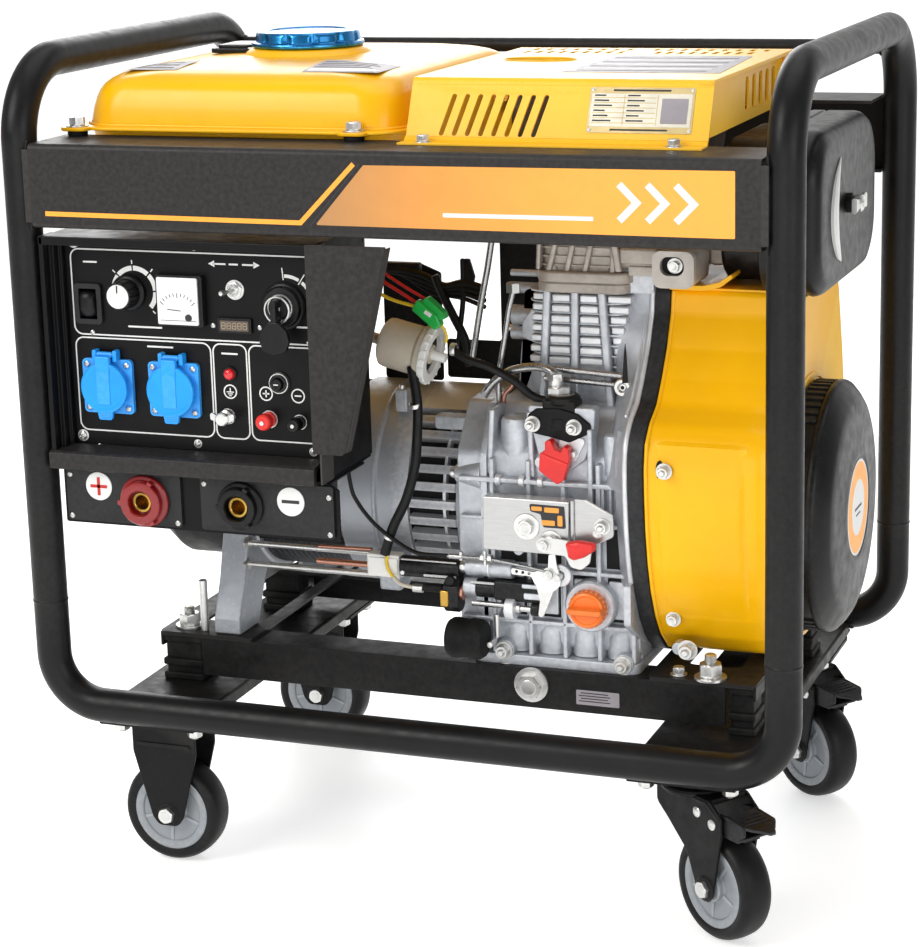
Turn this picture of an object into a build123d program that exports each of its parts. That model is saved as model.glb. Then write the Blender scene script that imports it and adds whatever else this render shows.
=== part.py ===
"""Open-frame diesel welder-generator on casters.

Frame of reference: +X along the length (alternator end is -X, starter end is +X),
+Y to the back, +Z up, origin at the middle of the footprint on the floor. Millimetres.
"""
import os
from math import cos, sin, radians, sqrt, pi
from build123d import *

os.makedirs("parts", exist_ok=True)

# ------------------------------------------------------------------ driving dimensions
L = 730.0            # overall length over the tubes
W = 500.0            # overall width over the tubes
TUBE_R = 16.0        # frame tube outer radius
TUBE_T = 2.0         # frame tube wall
XT = L / 2 - TUBE_R  # tube centre in X
YT = W / 2 - TUBE_R  # tube centre in Y
Z_RAIL = 168.0       # bottom tube centre
Z_TOP = 762.0        # handle tube centre
R_TOP = 70.0         # handle bend
R_LOW = 100.0        # bottom corner bend
Z_SPLIT = Z_RAIL + R_LOW

FASC_Z0, FASC_Z1 = 614.0, 694.0
SHEET = 3.0

CAST_X = 258.0       # caster plate centre
CAST_Y = 178.0
PLATE_TOP = 148.0    # caster plate top
WHEEL_R = 50.0
WHEEL_W = 32.0
TRAIL = 38.0         # swivel trail
HEAD_DEG = -36.0     # resting heading of the swivel forks
BRAKE_DEG = 12.0

CRANK_Z = 345.0
CRANK_Y = 0.0

BED_Z0, BED_Z1 = 170.0, 208.0
BED_Y = 134.0

PANEL_Y = -222.0     # face of the control panel
PANEL_T = 2.0
GAP = 0.4            # clearance of moving pieces
RUN = 0.05           # radial running clearance of shafts


# ------------------------------------------------------------------ helpers
def bx(x0, x1, y0, y1, z0, z1):
    return Pos((x0 + x1) / 2, (y0 + y1) / 2, (z0 + z1) / 2) * Box(abs(x1 - x0), abs(y1 - y0), abs(z1 - z0))


def cx(r, x0, x1, y, z):
    return Pos((x0 + x1) / 2, y, z) * (Rot(0, 90, 0) * Cylinder(r, abs(x1 - x0)))


def cy(r, y0, y1, x, z):
    return Pos(x, (y0 + y1) / 2, z) * (Rot(90, 0, 0) * Cylinder(r, abs(y1 - y0)))


def cz(r, z0, z1, x, y):
    return Pos(x, y, (z0 + z1) / 2) * Cylinder(r, abs(z1 - z0))


def hex_z(af, z0, z1, x, y):
    return Pos(x, y, z0) * extrude(RegularPolygon(af / 2, 6, major_radius=False), z1 - z0)


def hex_y(af, y0, y1, x, z):
    """Hexagon prism along Y from y0 (rear) to y1 (front, smaller)."""
    lo, hi = min(y0, y1), max(y0, y1)
    return Pos(x, hi, z) * (Rot(90, 0, 0) * extrude(RegularPolygon(af / 2, 6, major_radius=False), hi - lo))


def hex_x(af, x0, x1, y, z):
    return Pos(x0, y, z) * (Rot(0, 90, 0) * extrude(RegularPolygon(af / 2, 6, major_radius=False), x1 - x0))


def prism_y(pts, y0, y1):
    """Polygon given as (x, z) pairs, extruded from y0 to y1 (y1 > y0)."""
    face = make_face(Polyline(*[(x, y0, z) for x, z in pts], close=True))
    return extrude(face, amount=y1 - y0, dir=(0, 1, 0))


def prism_x(pts, x0, x1):
    """Polygon given as (y, z) pairs, extruded from x0 to x1."""
    face = make_face(Polyline(*[(x0, y, z) for y, z in pts], close=True))
    return extrude(face, amount=x1 - x0, dir=(1, 0, 0))


def loop_x(pts, x0, x1):
    """Closed smooth outline given as (y, z) pairs, extruded from x0 to x1."""
    face = make_face(Spline(*[(x0, y, z) for y, z in pts], periodic=True))
    return extrude(face, amount=x1 - x0, dir=(1, 0, 0))


def pipe(pts, r, bend, inner=0.0):
    path = FilletPolyline(*pts, radius=bend) if len(pts) > 2 else Line(*pts)
    a, b = Vector(*pts[0]), Vector(*pts[1])
    pl = Plane(origin=a, z_dir=(b - a).normalized())
    prof = Circle(r) - Circle(inner) if inner > 0 else Circle(r)
    return sweep(pl * prof, path=path)


def rrect_z(x0, x1, y0, y1, z, r):
    return Pos((x0 + x1) / 2, (y0 + y1) / 2, z) * RectangleRounded(x1 - x0, y1 - y0, r)


def one(shape):
    """All pieces must end as one fused solid."""
    s = shape.solids()
    if len(s) != 1:
        raise SystemExit("not one solid: %d" % len(s))
    return s[0]


OUT = {}


def put(name, shape):
    OUT[name] = shape


# ------------------------------------------------------------------ frame
def hoop(sx):
    x = sx * XT
    pts = [(x, -YT, Z_SPLIT), (x, -YT, Z_TOP), (x, YT, Z_TOP), (x, YT, Z_SPLIT)]
    return pipe(pts, TUBE_R, R_TOP, TUBE_R - TUBE_T)


def rail(sy):
    y = sy * YT
    pts = [(-XT, y, Z_SPLIT), (-XT, y, Z_RAIL), (XT, y, Z_RAIL), (XT, y, Z_SPLIT)]
    return pipe(pts, TUBE_R, R_LOW - 0.5, TUBE_R - TUBE_T)


def solid_rail(sy):
    y = sy * YT
    pts = [(-XT, y, Z_SPLIT), (-XT, y, Z_RAIL), (XT, y, Z_RAIL), (XT, y, Z_SPLIT)]
    return pipe(pts, TUBE_R, R_LOW - 0.5)


put("frame_left_hoop", hoop(-1))
put("frame_right_hoop", hoop(1))
put("frame_front_rail", rail(-1))
put("frame_rear_rail", rail(1))

# cross-members: box sections coped round the bottom tubes
CM_Z0, CM_Z1 = PLATE_TOP, 162.0
cms = []
for sx in (-1, 1):
    c = bx(sx * CAST_X - 50, sx * CAST_X + 50, -YT - 4, YT + 4, CM_Z0, CM_Z1)
    c -= bx(sx * CAST_X - 47, sx * CAST_X + 47, -YT - 6, YT + 6, CM_Z0 + 3, CM_Z1 - 3)
    for sy in (-1, 1):
        c -= solid_rail(sy)
    c = max(c.solids(), key=lambda s: s.volume)
    cms.append(c)
# thin bar across the back between the hoops, under the handles
cms.append(one(cx(7, -332.9, 332.9, 213, 742)))
put("crossmembers", Compound(children=cms))

# ------------------------------------------------------------------ engine bed
bed = None
for sy in (-1, 1):
    y_out = sy * BED_Y
    wall = bx(-245, 272, min(y_out, y_out - sy * 4), max(y_out, y_out - sy * 4), BED_Z0, BED_Z1)
    fl = bx(-245, 272, min(y_out, y_out - sy * 40), max(y_out, y_out - sy * 40), BED_Z1 - 4, BED_Z1)
    r = wall + fl
    bed = r if bed is None else bed + r
bed += bx(-290, -192, -BED_Y, BED_Y, BED_Z1, BED_Z1 + 3) + bx(200, 300, -BED_Y, BED_Y, BED_Z1, BED_Z1 + 3)
bed -= bx(-262, -205, -90, 90, BED_Z1 - 1, BED_Z1 + 4) + bx(225, 275, -90, 90, BED_Z1 - 1, BED_Z1 + 4)
put("engine_bed", one(bed))

mts = []
for sx in (-1, 1):
    for sy in (-1, 1):
        yc = sy * 114.0
        m = bx(-289, -247, yc - 18, yc + 18, CM_Z1, BED_Z1) if sx < 0 else bx(274, 299, yc - 18, yc + 18, CM_Z1, BED_Z1)
        lo, hi = (-289, -247) if sx < 0 else (274, 299)
        m -= bx(lo - 1, lo + 4, yc - 20, yc + 20, 168, 176) + bx(lo - 1, lo + 4, yc - 20, yc + 20, 182, 200)
        m -= bx(hi - 4, hi + 1, yc - 20, yc + 20, 168, 176) + bx(hi - 4, hi + 1, yc - 20, yc + 20, 182, 200)
        m -= bx(lo - 1, hi + 1, yc - 19, yc - 14, 168, 176) + bx(lo - 1, hi + 1, yc - 19, yc - 14, 182, 200)
        mts.append(one(m))
put("rubber_mounts", Compound(children=mts))

# ------------------------------------------------------------------ fascia strips
fas = []
for sy in (-1, 1):
    yf = sy * W / 2
    def span(a, b):
        p, q = sorted((yf - sy * a, yf - sy * b))
        return p, q
    p, q = span(0, SHEET)
    f = bx(-338.5, 338.5, p, q, FASC_Z0, FASC_Z1)
    p, q = span(0, 73)
    f += bx(-330, 330, p, q, FASC_Z1 - SHEET, FASC_Z1)
    p, q = span(0, 22)
    f += bx(-330, 330, p, q, FASC_Z0, FASC_Z0 + SHEET)
    fas.append(one(f))
put("fascia_strips", Compound(children=fas))

# ------------------------------------------------------------------ casters
PL_T = 3.0


def caster_plate(x, y):
    p = bx(x - 50, x + 50, y - 42, y + 42, PLATE_TOP - PL_T, PLATE_TOP)
    for dx in (-38, 38):
        for dy in (-30, 30):
            p -= cz(4.5, PLATE_TOP - PL_T - 1, PLATE_TOP + 1, x + dx, y + dy)
    return p


def leg_fixed(x, y0, y1):
    zt = PLATE_TOP - PL_T
    pts = [(x - 33, zt), (x + 33, zt), (x + 33, 112), (x + 15, 47), (x + 9, 38), (x - 9, 38), (x - 15, 47), (x - 33, 112)]
    return prism_y(pts, y0, y1)


forks = []
for sy in (-1, 1):
    x, y = -CAST_X, sy * CAST_Y
    f = caster_plate(x, y)
    f += leg_fixed(x, y - 22, y - 19) + leg_fixed(x, y + 19, y + 22)
    f += cy(5, y - 28, y + 28, x, WHEEL_R)
    f += hex_y(14, y - 27, y - 22, x, WHEEL_R) + hex_y(14, y + 22, y + 27, x, WHEEL_R)
    forks.append(one(f))
put("fixed_caster_forks", Compound(children=forks))

HD = (cos(radians(HEAD_DEG)), sin(radians(HEAD_DEG)))


def local(shape, x, y):
    """Place a shape built about the swivel axis with trail along local +X."""
    return Pos(x, y, 0) * (Rot(0, 0, HEAD_DEG) * shape)


PIV = 6.0
plates = []
for sy in (-1, 1):
    x, y = CAST_X, sy * CAST_Y
    p = caster_plate(x, y)
    p += cz(30, 138.0, PLATE_TOP - PL_T, x, y)
    p += cz(PIV, 120.0, PLATE_TOP - PL_T, x, y) + hex_z(19, 114.0, 128.0 - GAP, x, y)
    plates.append(one(p))
put("swivel_top_plates", Compound(children=plates))


def swivel_fork():
    f = cz(32, 128.0, 138.0 - GAP, 0, 0)
    f += bx(-30, 44, -22, 22, 128.0, 133.0)
    pts = [(-30, 133), (44, 133), (60, 120), (60, 106), (52, 66), (47, 44), (42, 38), (34, 38), (27, 44), (12, 78), (-14, 100), (-30, 112)]
    f += prism_y(pts, -22, -19) + prism_y(pts, 19, 22)
    f -= cz(PIV + RUN, 120, 145, 0, 0)
    f += cy(5, -28, 28, TRAIL, WHEEL_R)
    f += hex_y(14, -27, -22, TRAIL, WHEEL_R) + hex_y(14, 22, 27, TRAIL, WHEEL_R)
    # brake hinge pin
    f += cy(3, -23.5, 23.5, 48, 113)
    # rivet in the cheek
    f += cy(2.5, -23.5, -22, 28, 119) + cy(2.5, 22, 23.5, 28, 119)
    return one(f)


def brake_pedal():
    cheeks = [(40, 104.5), (58, 104), (76, 104), (86, 112), (86, 122.8), (58, 124.5), (44, 123), (40, 118)]
    p = prism_y(cheeks, -18.3, -15.3) + prism_y(cheeks, 15.3, 18.3)
    p += prism_y([(62, 121.4), (86, 119.8), (86, 122.8), (62, 124.3)], -18.3, 18.3)
    p += prism_y([(84, 120.0), (100, 117.5), (100, 120.3), (84, 123)], -11, 11)
    p += prism_y([(52, 104), (78, 104), (78, 107), (52, 107)], -18.3, 18.3)
    p += cy(6, -18.3, 18.3, 48, 113)
    p -= cy(3 + RUN, -30, 30, 48, 113)
    return one(p)


def wheel(y_c=0.0, x_c=0.0):
    """Wheel with bonded tyre, axis along Y through (x_c, y_c, WHEEL_R)."""
    h = WHEEL_W / 2
    prof = [(5 + RUN, -h - 1), (13, -h - 1), (13, -h + 6), (33, -h + 6), (35, -h + 1), (38, -h + 1), (40, -h), (46, -h), (WHEEL_R - 1.5, -h + 3),
            (WHEEL_R, -h + 8), (WHEEL_R, h - 8), (WHEEL_R - 1.5, h - 3), (46, h), (40, h), (38, h - 1), (35, h - 1), (33, h - 6), (13, h - 6), (13, h + 1), (5 + RUN, h + 1)]
    face = make_face(Polyline(*[(r, a, 0) for r, a in prof], close=True))
    w = revolve(face, Axis.Y, 360)
    return Pos(x_c, y_c, WHEEL_R) * w


put("wheel_front_left", wheel(-CAST_Y, -CAST_X))
put("wheel_rear_left", wheel(CAST_Y, -CAST_X))
for nm, sy in (("front", -1), ("rear", 1)):
    put("swivel_fork_" + nm, local(swivel_fork(), CAST_X, sy * CAST_Y))
    put("brake_pedal_" + nm, local(brake_pedal(), CAST_X, sy * CAST_Y))
    put("wheel_%s_right" % nm, local(wheel(0, TRAIL), CAST_X, sy * CAST_Y))

# ------------------------------------------------------------------ fuel tank
TX0, TX1, TY = -322.0, -8.0, 176.0


def tank_shape(d, z0, z1):
    """Pressed tank body, inset by d all round."""
    a = loft([rrect_z(TX0 + d, TX1 - d, -TY + d, TY - d, 703, 34 - d), rrect_z(TX0 + 5 + d, TX1 - 5 - d, -TY + 5 + d, TY - 5 - d, 730, 36 - d)])
    b = loft([rrect_z(TX0 + 5 + d, TX1 - 5 - d, -TY + 5 + d, TY - 5 - d, 730, 36 - d), rrect_z(TX0 + 16 + d, TX1 - 16 - d, -TY + 16 + d, TY - 16 - d, 743 - d, 40 - d)])
    c = loft([rrect_z(TX0 + 16 + d, TX1 - 16 - d, -TY + 16 + d, TY - 16 - d, 743 - d, 40 - d), rrect_z(-255 + d, -75 - d, -90 + d, 90 - d, 755 - d, 60)])
    e = loft([rrect_z(TX0 + 20 + d, TX1 - 20 - d, -TY + 20 + d, TY - 20 - d, z0, 34 - d), rrect_z(TX0 + d, TX1 - d, -TY + d, TY - d, 703, 34 - d)])
    return a + b + c + e


FILL_X, FILL_Y = -165.0, -6.0
tank = tank_shape(0, 632, 0)
tank += extrude(rrect_z(TX0 - 6, TX1 + 8, -TY - 22, TY + 22, 700, 30), 3)
tank += loft([Pos(FILL_X, FILL_Y, 750) * Circle(60), Pos(FILL_X, FILL_Y, 760) * Circle(50)])
tank -= tank_shape(2.0, 634, 0)
tank -= cz(34, 740, 765, FILL_X, FILL_Y)
put("fuel_tank", one(tank))

cap = Pos(FILL_X, FILL_Y, 760 + GAP) * extrude(Circle(53), 5)
cap += Pos(FILL_X, FILL_Y, 765 + GAP) * extrude(Circle(49), 9.6, taper=8)
for i in range(12):
    a = 2 * pi * i / 12
    cap -= cz(6.5, 766, 777, FILL_X + 53 * cos(a), FILL_Y + 53 * sin(a))
cap += cz(33.4, 748, 761, FILL_X, FILL_Y)
put("fuel_cap", one(cap))

# ------------------------------------------------------------------ muffler guard and muffler
GX0, GX1 = 4.0, 272.0
gt = 2.0
g_out = [(-208, 694), (-208, 696), (-190, 696), (-166, 748), (120, 748), (120, 696), (160, 696), (160, 694), (118, 694), (118, 746), (-164.7, 746), (-188.7, 694)]
guard = prism_x(g_out, GX0, GX1)
side = [(-188.7, 694), (-164.7, 746), (118, 746), (118, 694)]
guard += prism_x(side, GX1 - 14, GX1 - 12) + prism_x(side, GX0 + 12, GX0 + 14)
for i in range(8):
    x = GX0 + 38 + i * 12.2
    guard -= prism_y([(x - 2.6 - 4, 704), (x + 2.6 - 4, 704), (x + 2.6 + 4, 738), (x - 2.6 + 4, 738)], -200, -150)
for i in range(14):
    x = GX0 + 24 + i * 17.0
    guard -= bx(x, x + 8, 40, 78, 744, 750)
for i in range(4):
    y = -110 + i * 34
    guard -= bx(GX1 - 16, GX1 - 10, y, y + 14, 712, 738)
guard -= Pos(128, -62, 744) * extrude(Ellipse(30, 16), 6)
put("muffler_guard", one(guard))

MUF_Y, MUF_Z = 52.0, 686.0
muf = cx(48, 30, 214, MUF_Y, MUF_Z) - cx(45.5, 33, 211, MUF_Y, MUF_Z)
stub = cy(15, MUF_Y + 44, 150, 60, MUF_Z - 8) - cy(13, MUF_Y + 40, 152, 60, MUF_Z - 8)
muf = muf - cy(13, MUF_Y + 20, 152, 60, MUF_Z - 8) + (stub - cx(46.5, 30, 214, MUF_Y, MUF_Z))
inlet = cz(16, 604, MUF_Z - 40, 130, 62) - cx(46.5, 30, 214, MUF_Y, MUF_Z)
muf += inlet
muf -= cz(13, 603, MUF_Z - 30, 130, 62)
put("muffler", one(muf))

# ------------------------------------------------------------------ air cleaner
ac = extrude(Plane(origin=(290, 26, 621), z_dir=(1, 0, 0), x_dir=(0, 1, 0)) * RectangleRounded(244, 146, 48), 55)
ac = fillet(ac.edges().filter_by(lambda e: e.center().X > 344), 14)
ac += extrude(Plane(origin=(246, 40, 618), z_dir=(1, 0, 0), x_dir=(0, 1, 0)) * RectangleRounded(186, 128, 40), 44)
ac -= extrude(Plane(origin=(250, 40, 620), z_dir=(1, 0, 0), x_dir=(0, 1, 0)) * RectangleRounded(178, 118, 36), 80)
ac -= bx(240, 318, -120, 170, 530, 556.5)
ac += cx(9, 330, 350, 20, 621) + cx(4, 330, 361, 20, 621)
ac += bx(330, 344, 0, 40, 600, 642)
ac += bx(352, 358, -2, 42, 615, 627)
put("air_cleaner", one(ac))

# ------------------------------------------------------------------ engine
SH_R = 20.0
case = bx(15, 190, -120, 110, 222, 415)
case += prism_x([(-120, 415), (-84, 455), (84, 455), (110, 415)], 44, 190)
case += bx(28, 190, -128, 118, BED_Z1, 222)
hollow = bx(25, 180, -108, 98, 216, 408) + bx(70, 172, -62, 62, 400, 460)
case -= hollow
case -= cx(SH_R + RUN, 0, 200, CRANK_Y, CRANK_Z)
# vertical and horizontal ribs on the front face
for x in (20, 52, 84, 116, 148, 182):
    case += bx(x, x + 4, -127, -118, 222, 400)
for z in (250, 300, 356, 392):
    case += bx(15, 190, -125, -118, z, z + 4)
case -= cy(17, -140, -100, 146, 271)
OILX, OILZ = 146.0, 271.0
case += cy(24, -132, -108, OILX, OILZ) - cy(12.5, -140, -100, OILX, OILZ)
case -= cy(12.5, -140, -100, OILX, OILZ)
put("crankcase", one(case))

CYX0, CYX1 = 70.0, 168.0
cyl = bx(CYX0 + 10, CYX1 - 10, -64, 64, 455, 541)
for i in range(7):
    z = 461 + i * 11.4
    cyl += bx(CYX0, CYX1, -74, 74, z, z + 4)
cyl += bx(CYX0 + 6, CYX0 + 22, -78, -60, 455, 541) + bx(CYX0 + 40, CYX0 + 56, -78, -60, 455, 541) + bx(CYX1 - 24, CYX1 - 8, -78, -60, 455, 541)
cyl -= cz(46, 450, 545, (CYX0 + CYX1) / 2, 0)
put("cylinder_block", one(cyl))

head = bx(66, 174, -80, 84, 541, 556)
for z in (560, 568, 576, 584):
    head += bx(70, 170, -76, 80, z, z + 4)
head += bx(80, 160, -66, 70, 556, 604)
head += bx(78, 162, -62, 36, 604, 628)
head += bx(160, 232, -40, 40, 575, 604)
head += bx(205, 238, -88, -40, 574, 590) + bx(205, 232, -60, 0, 575, 590)
head += bx(232, 246, -38, 60, 570, 608)
put("cylinder_head", one(head))

VOL = [(-62, 553), (-66, 530), (-80, 501), (-97, 477), (-114, 457), (-137, 445), (-151, 430), (-155, 408), (-154, 380), (-151, 350), (-145, 320), (-136, 292), (-123, 266), (-106, 244), (-84, 226), (-54, 214.5), (-40, 213.5), (40, 213.5), (78, 220), (112, 233),
       (141, 250), (160, 275), (170, 330), (166, 400), (150, 470), (132, 530), (120, 553)]


def volute(d, x0, x1):
    cy0, cz0 = 0.0, 385.0
    pts = []
    for y, z in VOL:
        n = sqrt((y - cy0) ** 2 + (z - cz0) ** 2)
        pts.append((y - d * (y - cy0) / n, z - d * (z - cz0) / n))
    return prism_x(pts, x0, x1)


gas = volute(-3.5, 190, 204) - cx(SH_R + 4, 180, 210, CRANK_Y, CRANK_Z)
gas -= bx(180, 210, -50, 90, 470, 540)
gas -= bx(180, 210, -200, 200, 190, BED_Z1 + 3.5)
put("backplate_gasket", one(gas))

blo = volute(0, 204, 316) - volute(2.5, 204, 313)
blo -= cx(104, 300, 320, CRANK_Y, CRANK_Z)
blo -= bx(203, 314, -50, 110, 530, 560)
put("blower_housing", one(blo))

rec = cx(116, 316, 338, CRANK_Y, CRANK_Z)
rec += Pos(338, CRANK_Y, CRANK_Z) * (Rot(0, 90, 0) * extrude(Circle(112), 20, taper=38))
rec += cx(56, 354, 362, CRANK_Y, CRANK_Z)
rec -= cx(100, 310, 334, CRANK_Y, CRANK_Z)
rec -= cx(84, 330, 350, CRANK_Y, CRANK_Z)
for i in range(20):
    a = 2 * pi * (i + 0.5) / 20
    rec -= Pos(327, CRANK_Y + 108 * cos(a), CRANK_Z + 108 * sin(a)) * (Rot(i * 18 + 9, 0, 0) * Box(12, 26, 14))
put("recoil_housing", one(rec))

# rotating train
cr = cx(SH_R, 10, 228, CRANK_Y, CRANK_Z)
cr += cx(14, -300, 12, CRANK_Y, CRANK_Z)
cr -= cx(SH_R + 1, 98, 142, CRANK_Y, CRANK_Z)
for x0 in (80, 142):
    cr += bx(x0, x0 + 18, -24, 24, CRANK_Z - 56, CRANK_Z + 58)
cr += cx(18, 98, 142, CRANK_Y, CRANK_Z - 36)
cr += cx(11, 228, 300, CRANK_Y, CRANK_Z)
put("crankshaft", one(cr))

fly = cx(122, 228, 250, CRANK_Y, CRANK_Z) - cx(100, 236, 251, CRANK_Y, CRANK_Z)
fly += cx(30, 228, 270, CRANK_Y, CRANK_Z)
for i in range(16):
    fly += Pos(262, CRANK_Y, CRANK_Z) * (Rot(i * 22.5, 0, 0) * (Pos(0, 0, 110) * Box(28, 4, 22)))
fly -= cx(11, 200, 320, CRANK_Y, CRANK_Z)
put("flywheel", one(fly))

# ------------------------------------------------------------------ alternator
BELL_X0, BELL_X1 = -115.0, 15.0
bell = cx(95, BELL_X0, -8, CRANK_Y, CRANK_Z) + Pos(-8, CRANK_Y, CRANK_Z) * (Rot(0, 90, 0) * extrude(Circle(95), 23, taper=16))
bell -= cx(87, BELL_X0 - 1, -12, CRANK_Y, CRANK_Z)
bell -= cx(SH_R + 5, -20, 20, CRANK_Y, CRANK_Z)
for s in (-1, 1):
    for i in range(9):
        z = CRANK_Z - 56 + i * 13
        bell -= bx(-58, -14, s * 60, s * 100, z, z + 6)
for a in (28, 62, 118, 152, 208, 242, 298, 332):
    bell += Pos((BELL_X0 - 62) / 2, CRANK_Y, CRANK_Z) * (Rot(a, 0, 0) * (Pos(0, 0, 96) * Box(BELL_X0 * -1 - 62, 8, 6)))
bell += bx(-76, -58, -108, -84, 268, 304)
put("alternator_bell", one(bell))

stat = cx(92, -205, BELL_X0, CRANK_Y, CRANK_Z) - cx(60, -206, BELL_X0 + 1, CRANK_Y, CRANK_Z)
put("alternator_stator", one(stat))

rot = cx(57, -202, -118, CRANK_Y, CRANK_Z) - cx(14, -210, -110, CRANK_Y, CRANK_Z)
put("alternator_rotor", one(rot))

ef = cx(96, -236, -205, CRANK_Y, CRANK_Z) - cx(84, -230, -204, CRANK_Y, CRANK_Z)
ef -= cx(14 + RUN, -240, -200, CRANK_Y, CRANK_Z)
for sy in (-1, 1):
    pts = [(sy * 128, BED_Z1 + 3), (sy * 128, 290), (sy * 112, 318), (sy * 84, 332), (sy * 60, 300), (sy * 84, BED_Z1 + 3)]
    ef += prism_x(pts, -236, -205) - cx(84, -230, -204, CRANK_Y, CRANK_Z)
put("alternator_end_frame", one(ef))

ec = cx(88, -300, -236, CRANK_Y, CRANK_Z) + Pos(-300, CRANK_Y, CRANK_Z) * (Rot(0, -90, 0) * extrude(Circle(88), 26, taper=35))
ec -= cx(83, -298, -235, CRANK_Y, CRANK_Z)
ec -= cx(60, -318, -290, CRANK_Y, CRANK_Z)
put("alternator_end_cover", one(ec))

rods = []
for y, z in ((-100, 296), (-103, 276)):
    rods.append(one(cx(3, -205, -76, y, z)))
put("tie_rods", Compound(children=rods))

# ------------------------------------------------------------------ fuel system and engine front
PX, PY = 118.0, -102.0
pump = bx(PX - 28, PX + 28, PY - 17, PY + 17, 437, 447) 
pump -= prism_x([(-120, 415), (-84, 455), (84, 455), (110, 415)], 44, 190)
pump = max(pump.solids(), key=lambda s: s.volume)
pump = pump + cz(16, 447, 462, PX, PY) + hex_z(20, 462, 472, PX, PY)
pump -= prism_x([(-120, 415), (-84, 455), (84, 455), (110, 415)], 44, 190)
pump += bx(PX - 15, PX + 13, -135, -131, 384, 424) + bx(PX - 12, PX + 10, -135, PY - 12, 424, 440)
pump -= prism_x([(-120, 415), (-84, 455), (84, 455), (110, 415)], 44, 190)
put("injection_pump", one(pump))

put("injection_pipe", one(pipe([(PX, PY, 472), (PX, PY, 486), (66, PY, 486), (52, PY, 500), (52, -92, 548), (60, -84, 548)], 3, 4.0)))

plate = prism_y([(53, 320), (129, 322), (129, 369), (53, 368)], -152, -149.5)
plate += prism_y([(133, 322), (150, 322), (172, 340), (172, 360), (144, 374), (133, 374)], -148.5, -146)
plate += bx(126, 134, -152, -146, 340, 366)
for x, z in ((88, 344), (160, 352)):
    plate += cy(6, -150, -127, x, z) + hex_y(13, -158, -150, x, z)
plate += cy(3, -162, -149.5, 112, 334)
plate += hex_y(9, -162, -159, 112, 334)
put("control_plate", one(plate))

lever = prism_y([(104, 330), (112, 325), (150, 318), (156, 322), (154, 334), (146, 338), (120, 341), (104, 340)], -158.6, -152.4)
lever -= cy(3 + RUN, -170, -140, 112, 334)
lever += bx(132, 158, -166, -154, 319, 336)
put("speed_lever", one(lever))

sol = cx(11, -24, 14, -128, 292) + bx(-58, -24, -138, -118, 282, 300)
sol += bx(10, 40, -131, -128, 280, 304) 
sol += cx(7, 16, 70, -134.5, 266) + bx(16, 26, -134.5, -128, 262, 296)
sol += cx(15, 16, 34, -146, 232) + bx(18, 24, -146, -134, 240, 266)
put("stop_solenoid", one(sol))

filt = cx(24, -58, -12, -104, 496) + cx(27, -12, -8, -104, 496) + cx(5, -72, -58, -104, 496) + cx(5, -8, 8, -104, 496)
put("fuel_filter", one(filt))

lines = [
    pipe([(-72, -104, 496), (-92, -104, 496), (-92, -104, 632)], 4.5, 9),
    pipe([(8, -104, 496), (40, -104, 496), (72, -104, 455), (101.6, -104, 455)], 3.5, 6),
    pipe([(-61.5, -140, 470), (-34, -140, 470), (-22, -140, 420), (-22, -136, 340), (-44, -128, 322), (-44, -128, 300)], 3.0, 8),
    pipe([(-70, -145, 395), (-70, -145, 330), (-54, -130, 314), (-54, -130, 300)], 1.6, 5),
    pipe([(-61.5, -170, 560), (-20, -170, 560), (16, -165, 545), (26, -160, 520)], 5.0, 8),
]
put("engine_lines", Compound(children=[one(l) for l in lines]))

oc = cy(17, -146, -132 - GAP, OILX, OILZ) + bx(OILX - 16, OILX + 16, -152, -144, OILZ - 3.5, OILZ + 3.5)
oc += cy(12.5 - RUN, -134, -112, OILX, OILZ)
put("oil_filler_cap", one(oc))

# ------------------------------------------------------------------ control box
BX0, BX1, BZ0, BZ1 = -330.0, -62.0, 398.0, 612.0
BOX_Y1 = -130.0
cb = bx(BX0, BX1, -246, BOX_Y1, BZ0, BZ1)
cb -= bx(BX0 + 2, BX1 - 2, PANEL_Y, BOX_Y1 - 2, BZ0 + 14, BZ1 - 2)
cb -= bx(BX0 + 14, BX1 - 2, -250, PANEL_Y, BZ0 + 14, BZ1 - 8)
cb += bx(BX0, BX1, -250, -246, BZ0, BZ0 + 14)
cb += prism_y([(BX1, BZ1), (4, BZ1), (-34, 428), (BX1, 428)], -248.5, -246)
cb += prism_y([(BX1 - 4, BZ1), (BX1, BZ1), (BX1, 428), (BX1 - 4, 428)], -248.5, -246)
cb -= bx(BX0 + 10, BX1 - 12, -240, BOX_Y1 - 5, BZ0 + 2, BZ0 + 12)
put("control_box", one(cb))

F = PANEL_Y           # panel face plane
SOCK = ((-279.0, 473.0), (-212.5, 473.0))
KNOB = (-254.0, 559.5)
TOG = (-149.0, 566.0)
KEY = (-102.0, 553.5)
BRK = (-109.5, 484.0)
ACS = (-295.0, 548.0)
pan = bx(BX0 + 2, BX1 - 2, F, F + PANEL_T, BZ0 + 14, BZ1 - 2)
for x, z in SOCK:
    pan -= cy(20, F - 5, F + 5, x, z)
pan -= cy(3 + RUN, F - 5, F + 5, KNOB[0], KNOB[1])
pan += cy(6.5, F - 4, F, TOG[0], TOG[1]) - cy(3.6, F - 6, F, TOG[0], TOG[1])
pan -= cy(3.6, F - 6, F + 4, TOG[0], TOG[1])
pan += cy(15, F - 8, F, KEY[0], KEY[1]) - cy(3.4 + RUN, F - 10, F, KEY[0], KEY[1])
pan -= cy(3.4 + RUN, F - 10, F + 4, KEY[0], KEY[1])
pan += cy(8, F - 5, F, BRK[0], BRK[1]) - cy(5.5 + 0.35, F - 6, F, BRK[0], BRK[1])
pan -= cy(5.5 + 0.35, F - 6, F + 4, BRK[0], BRK[1])
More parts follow.
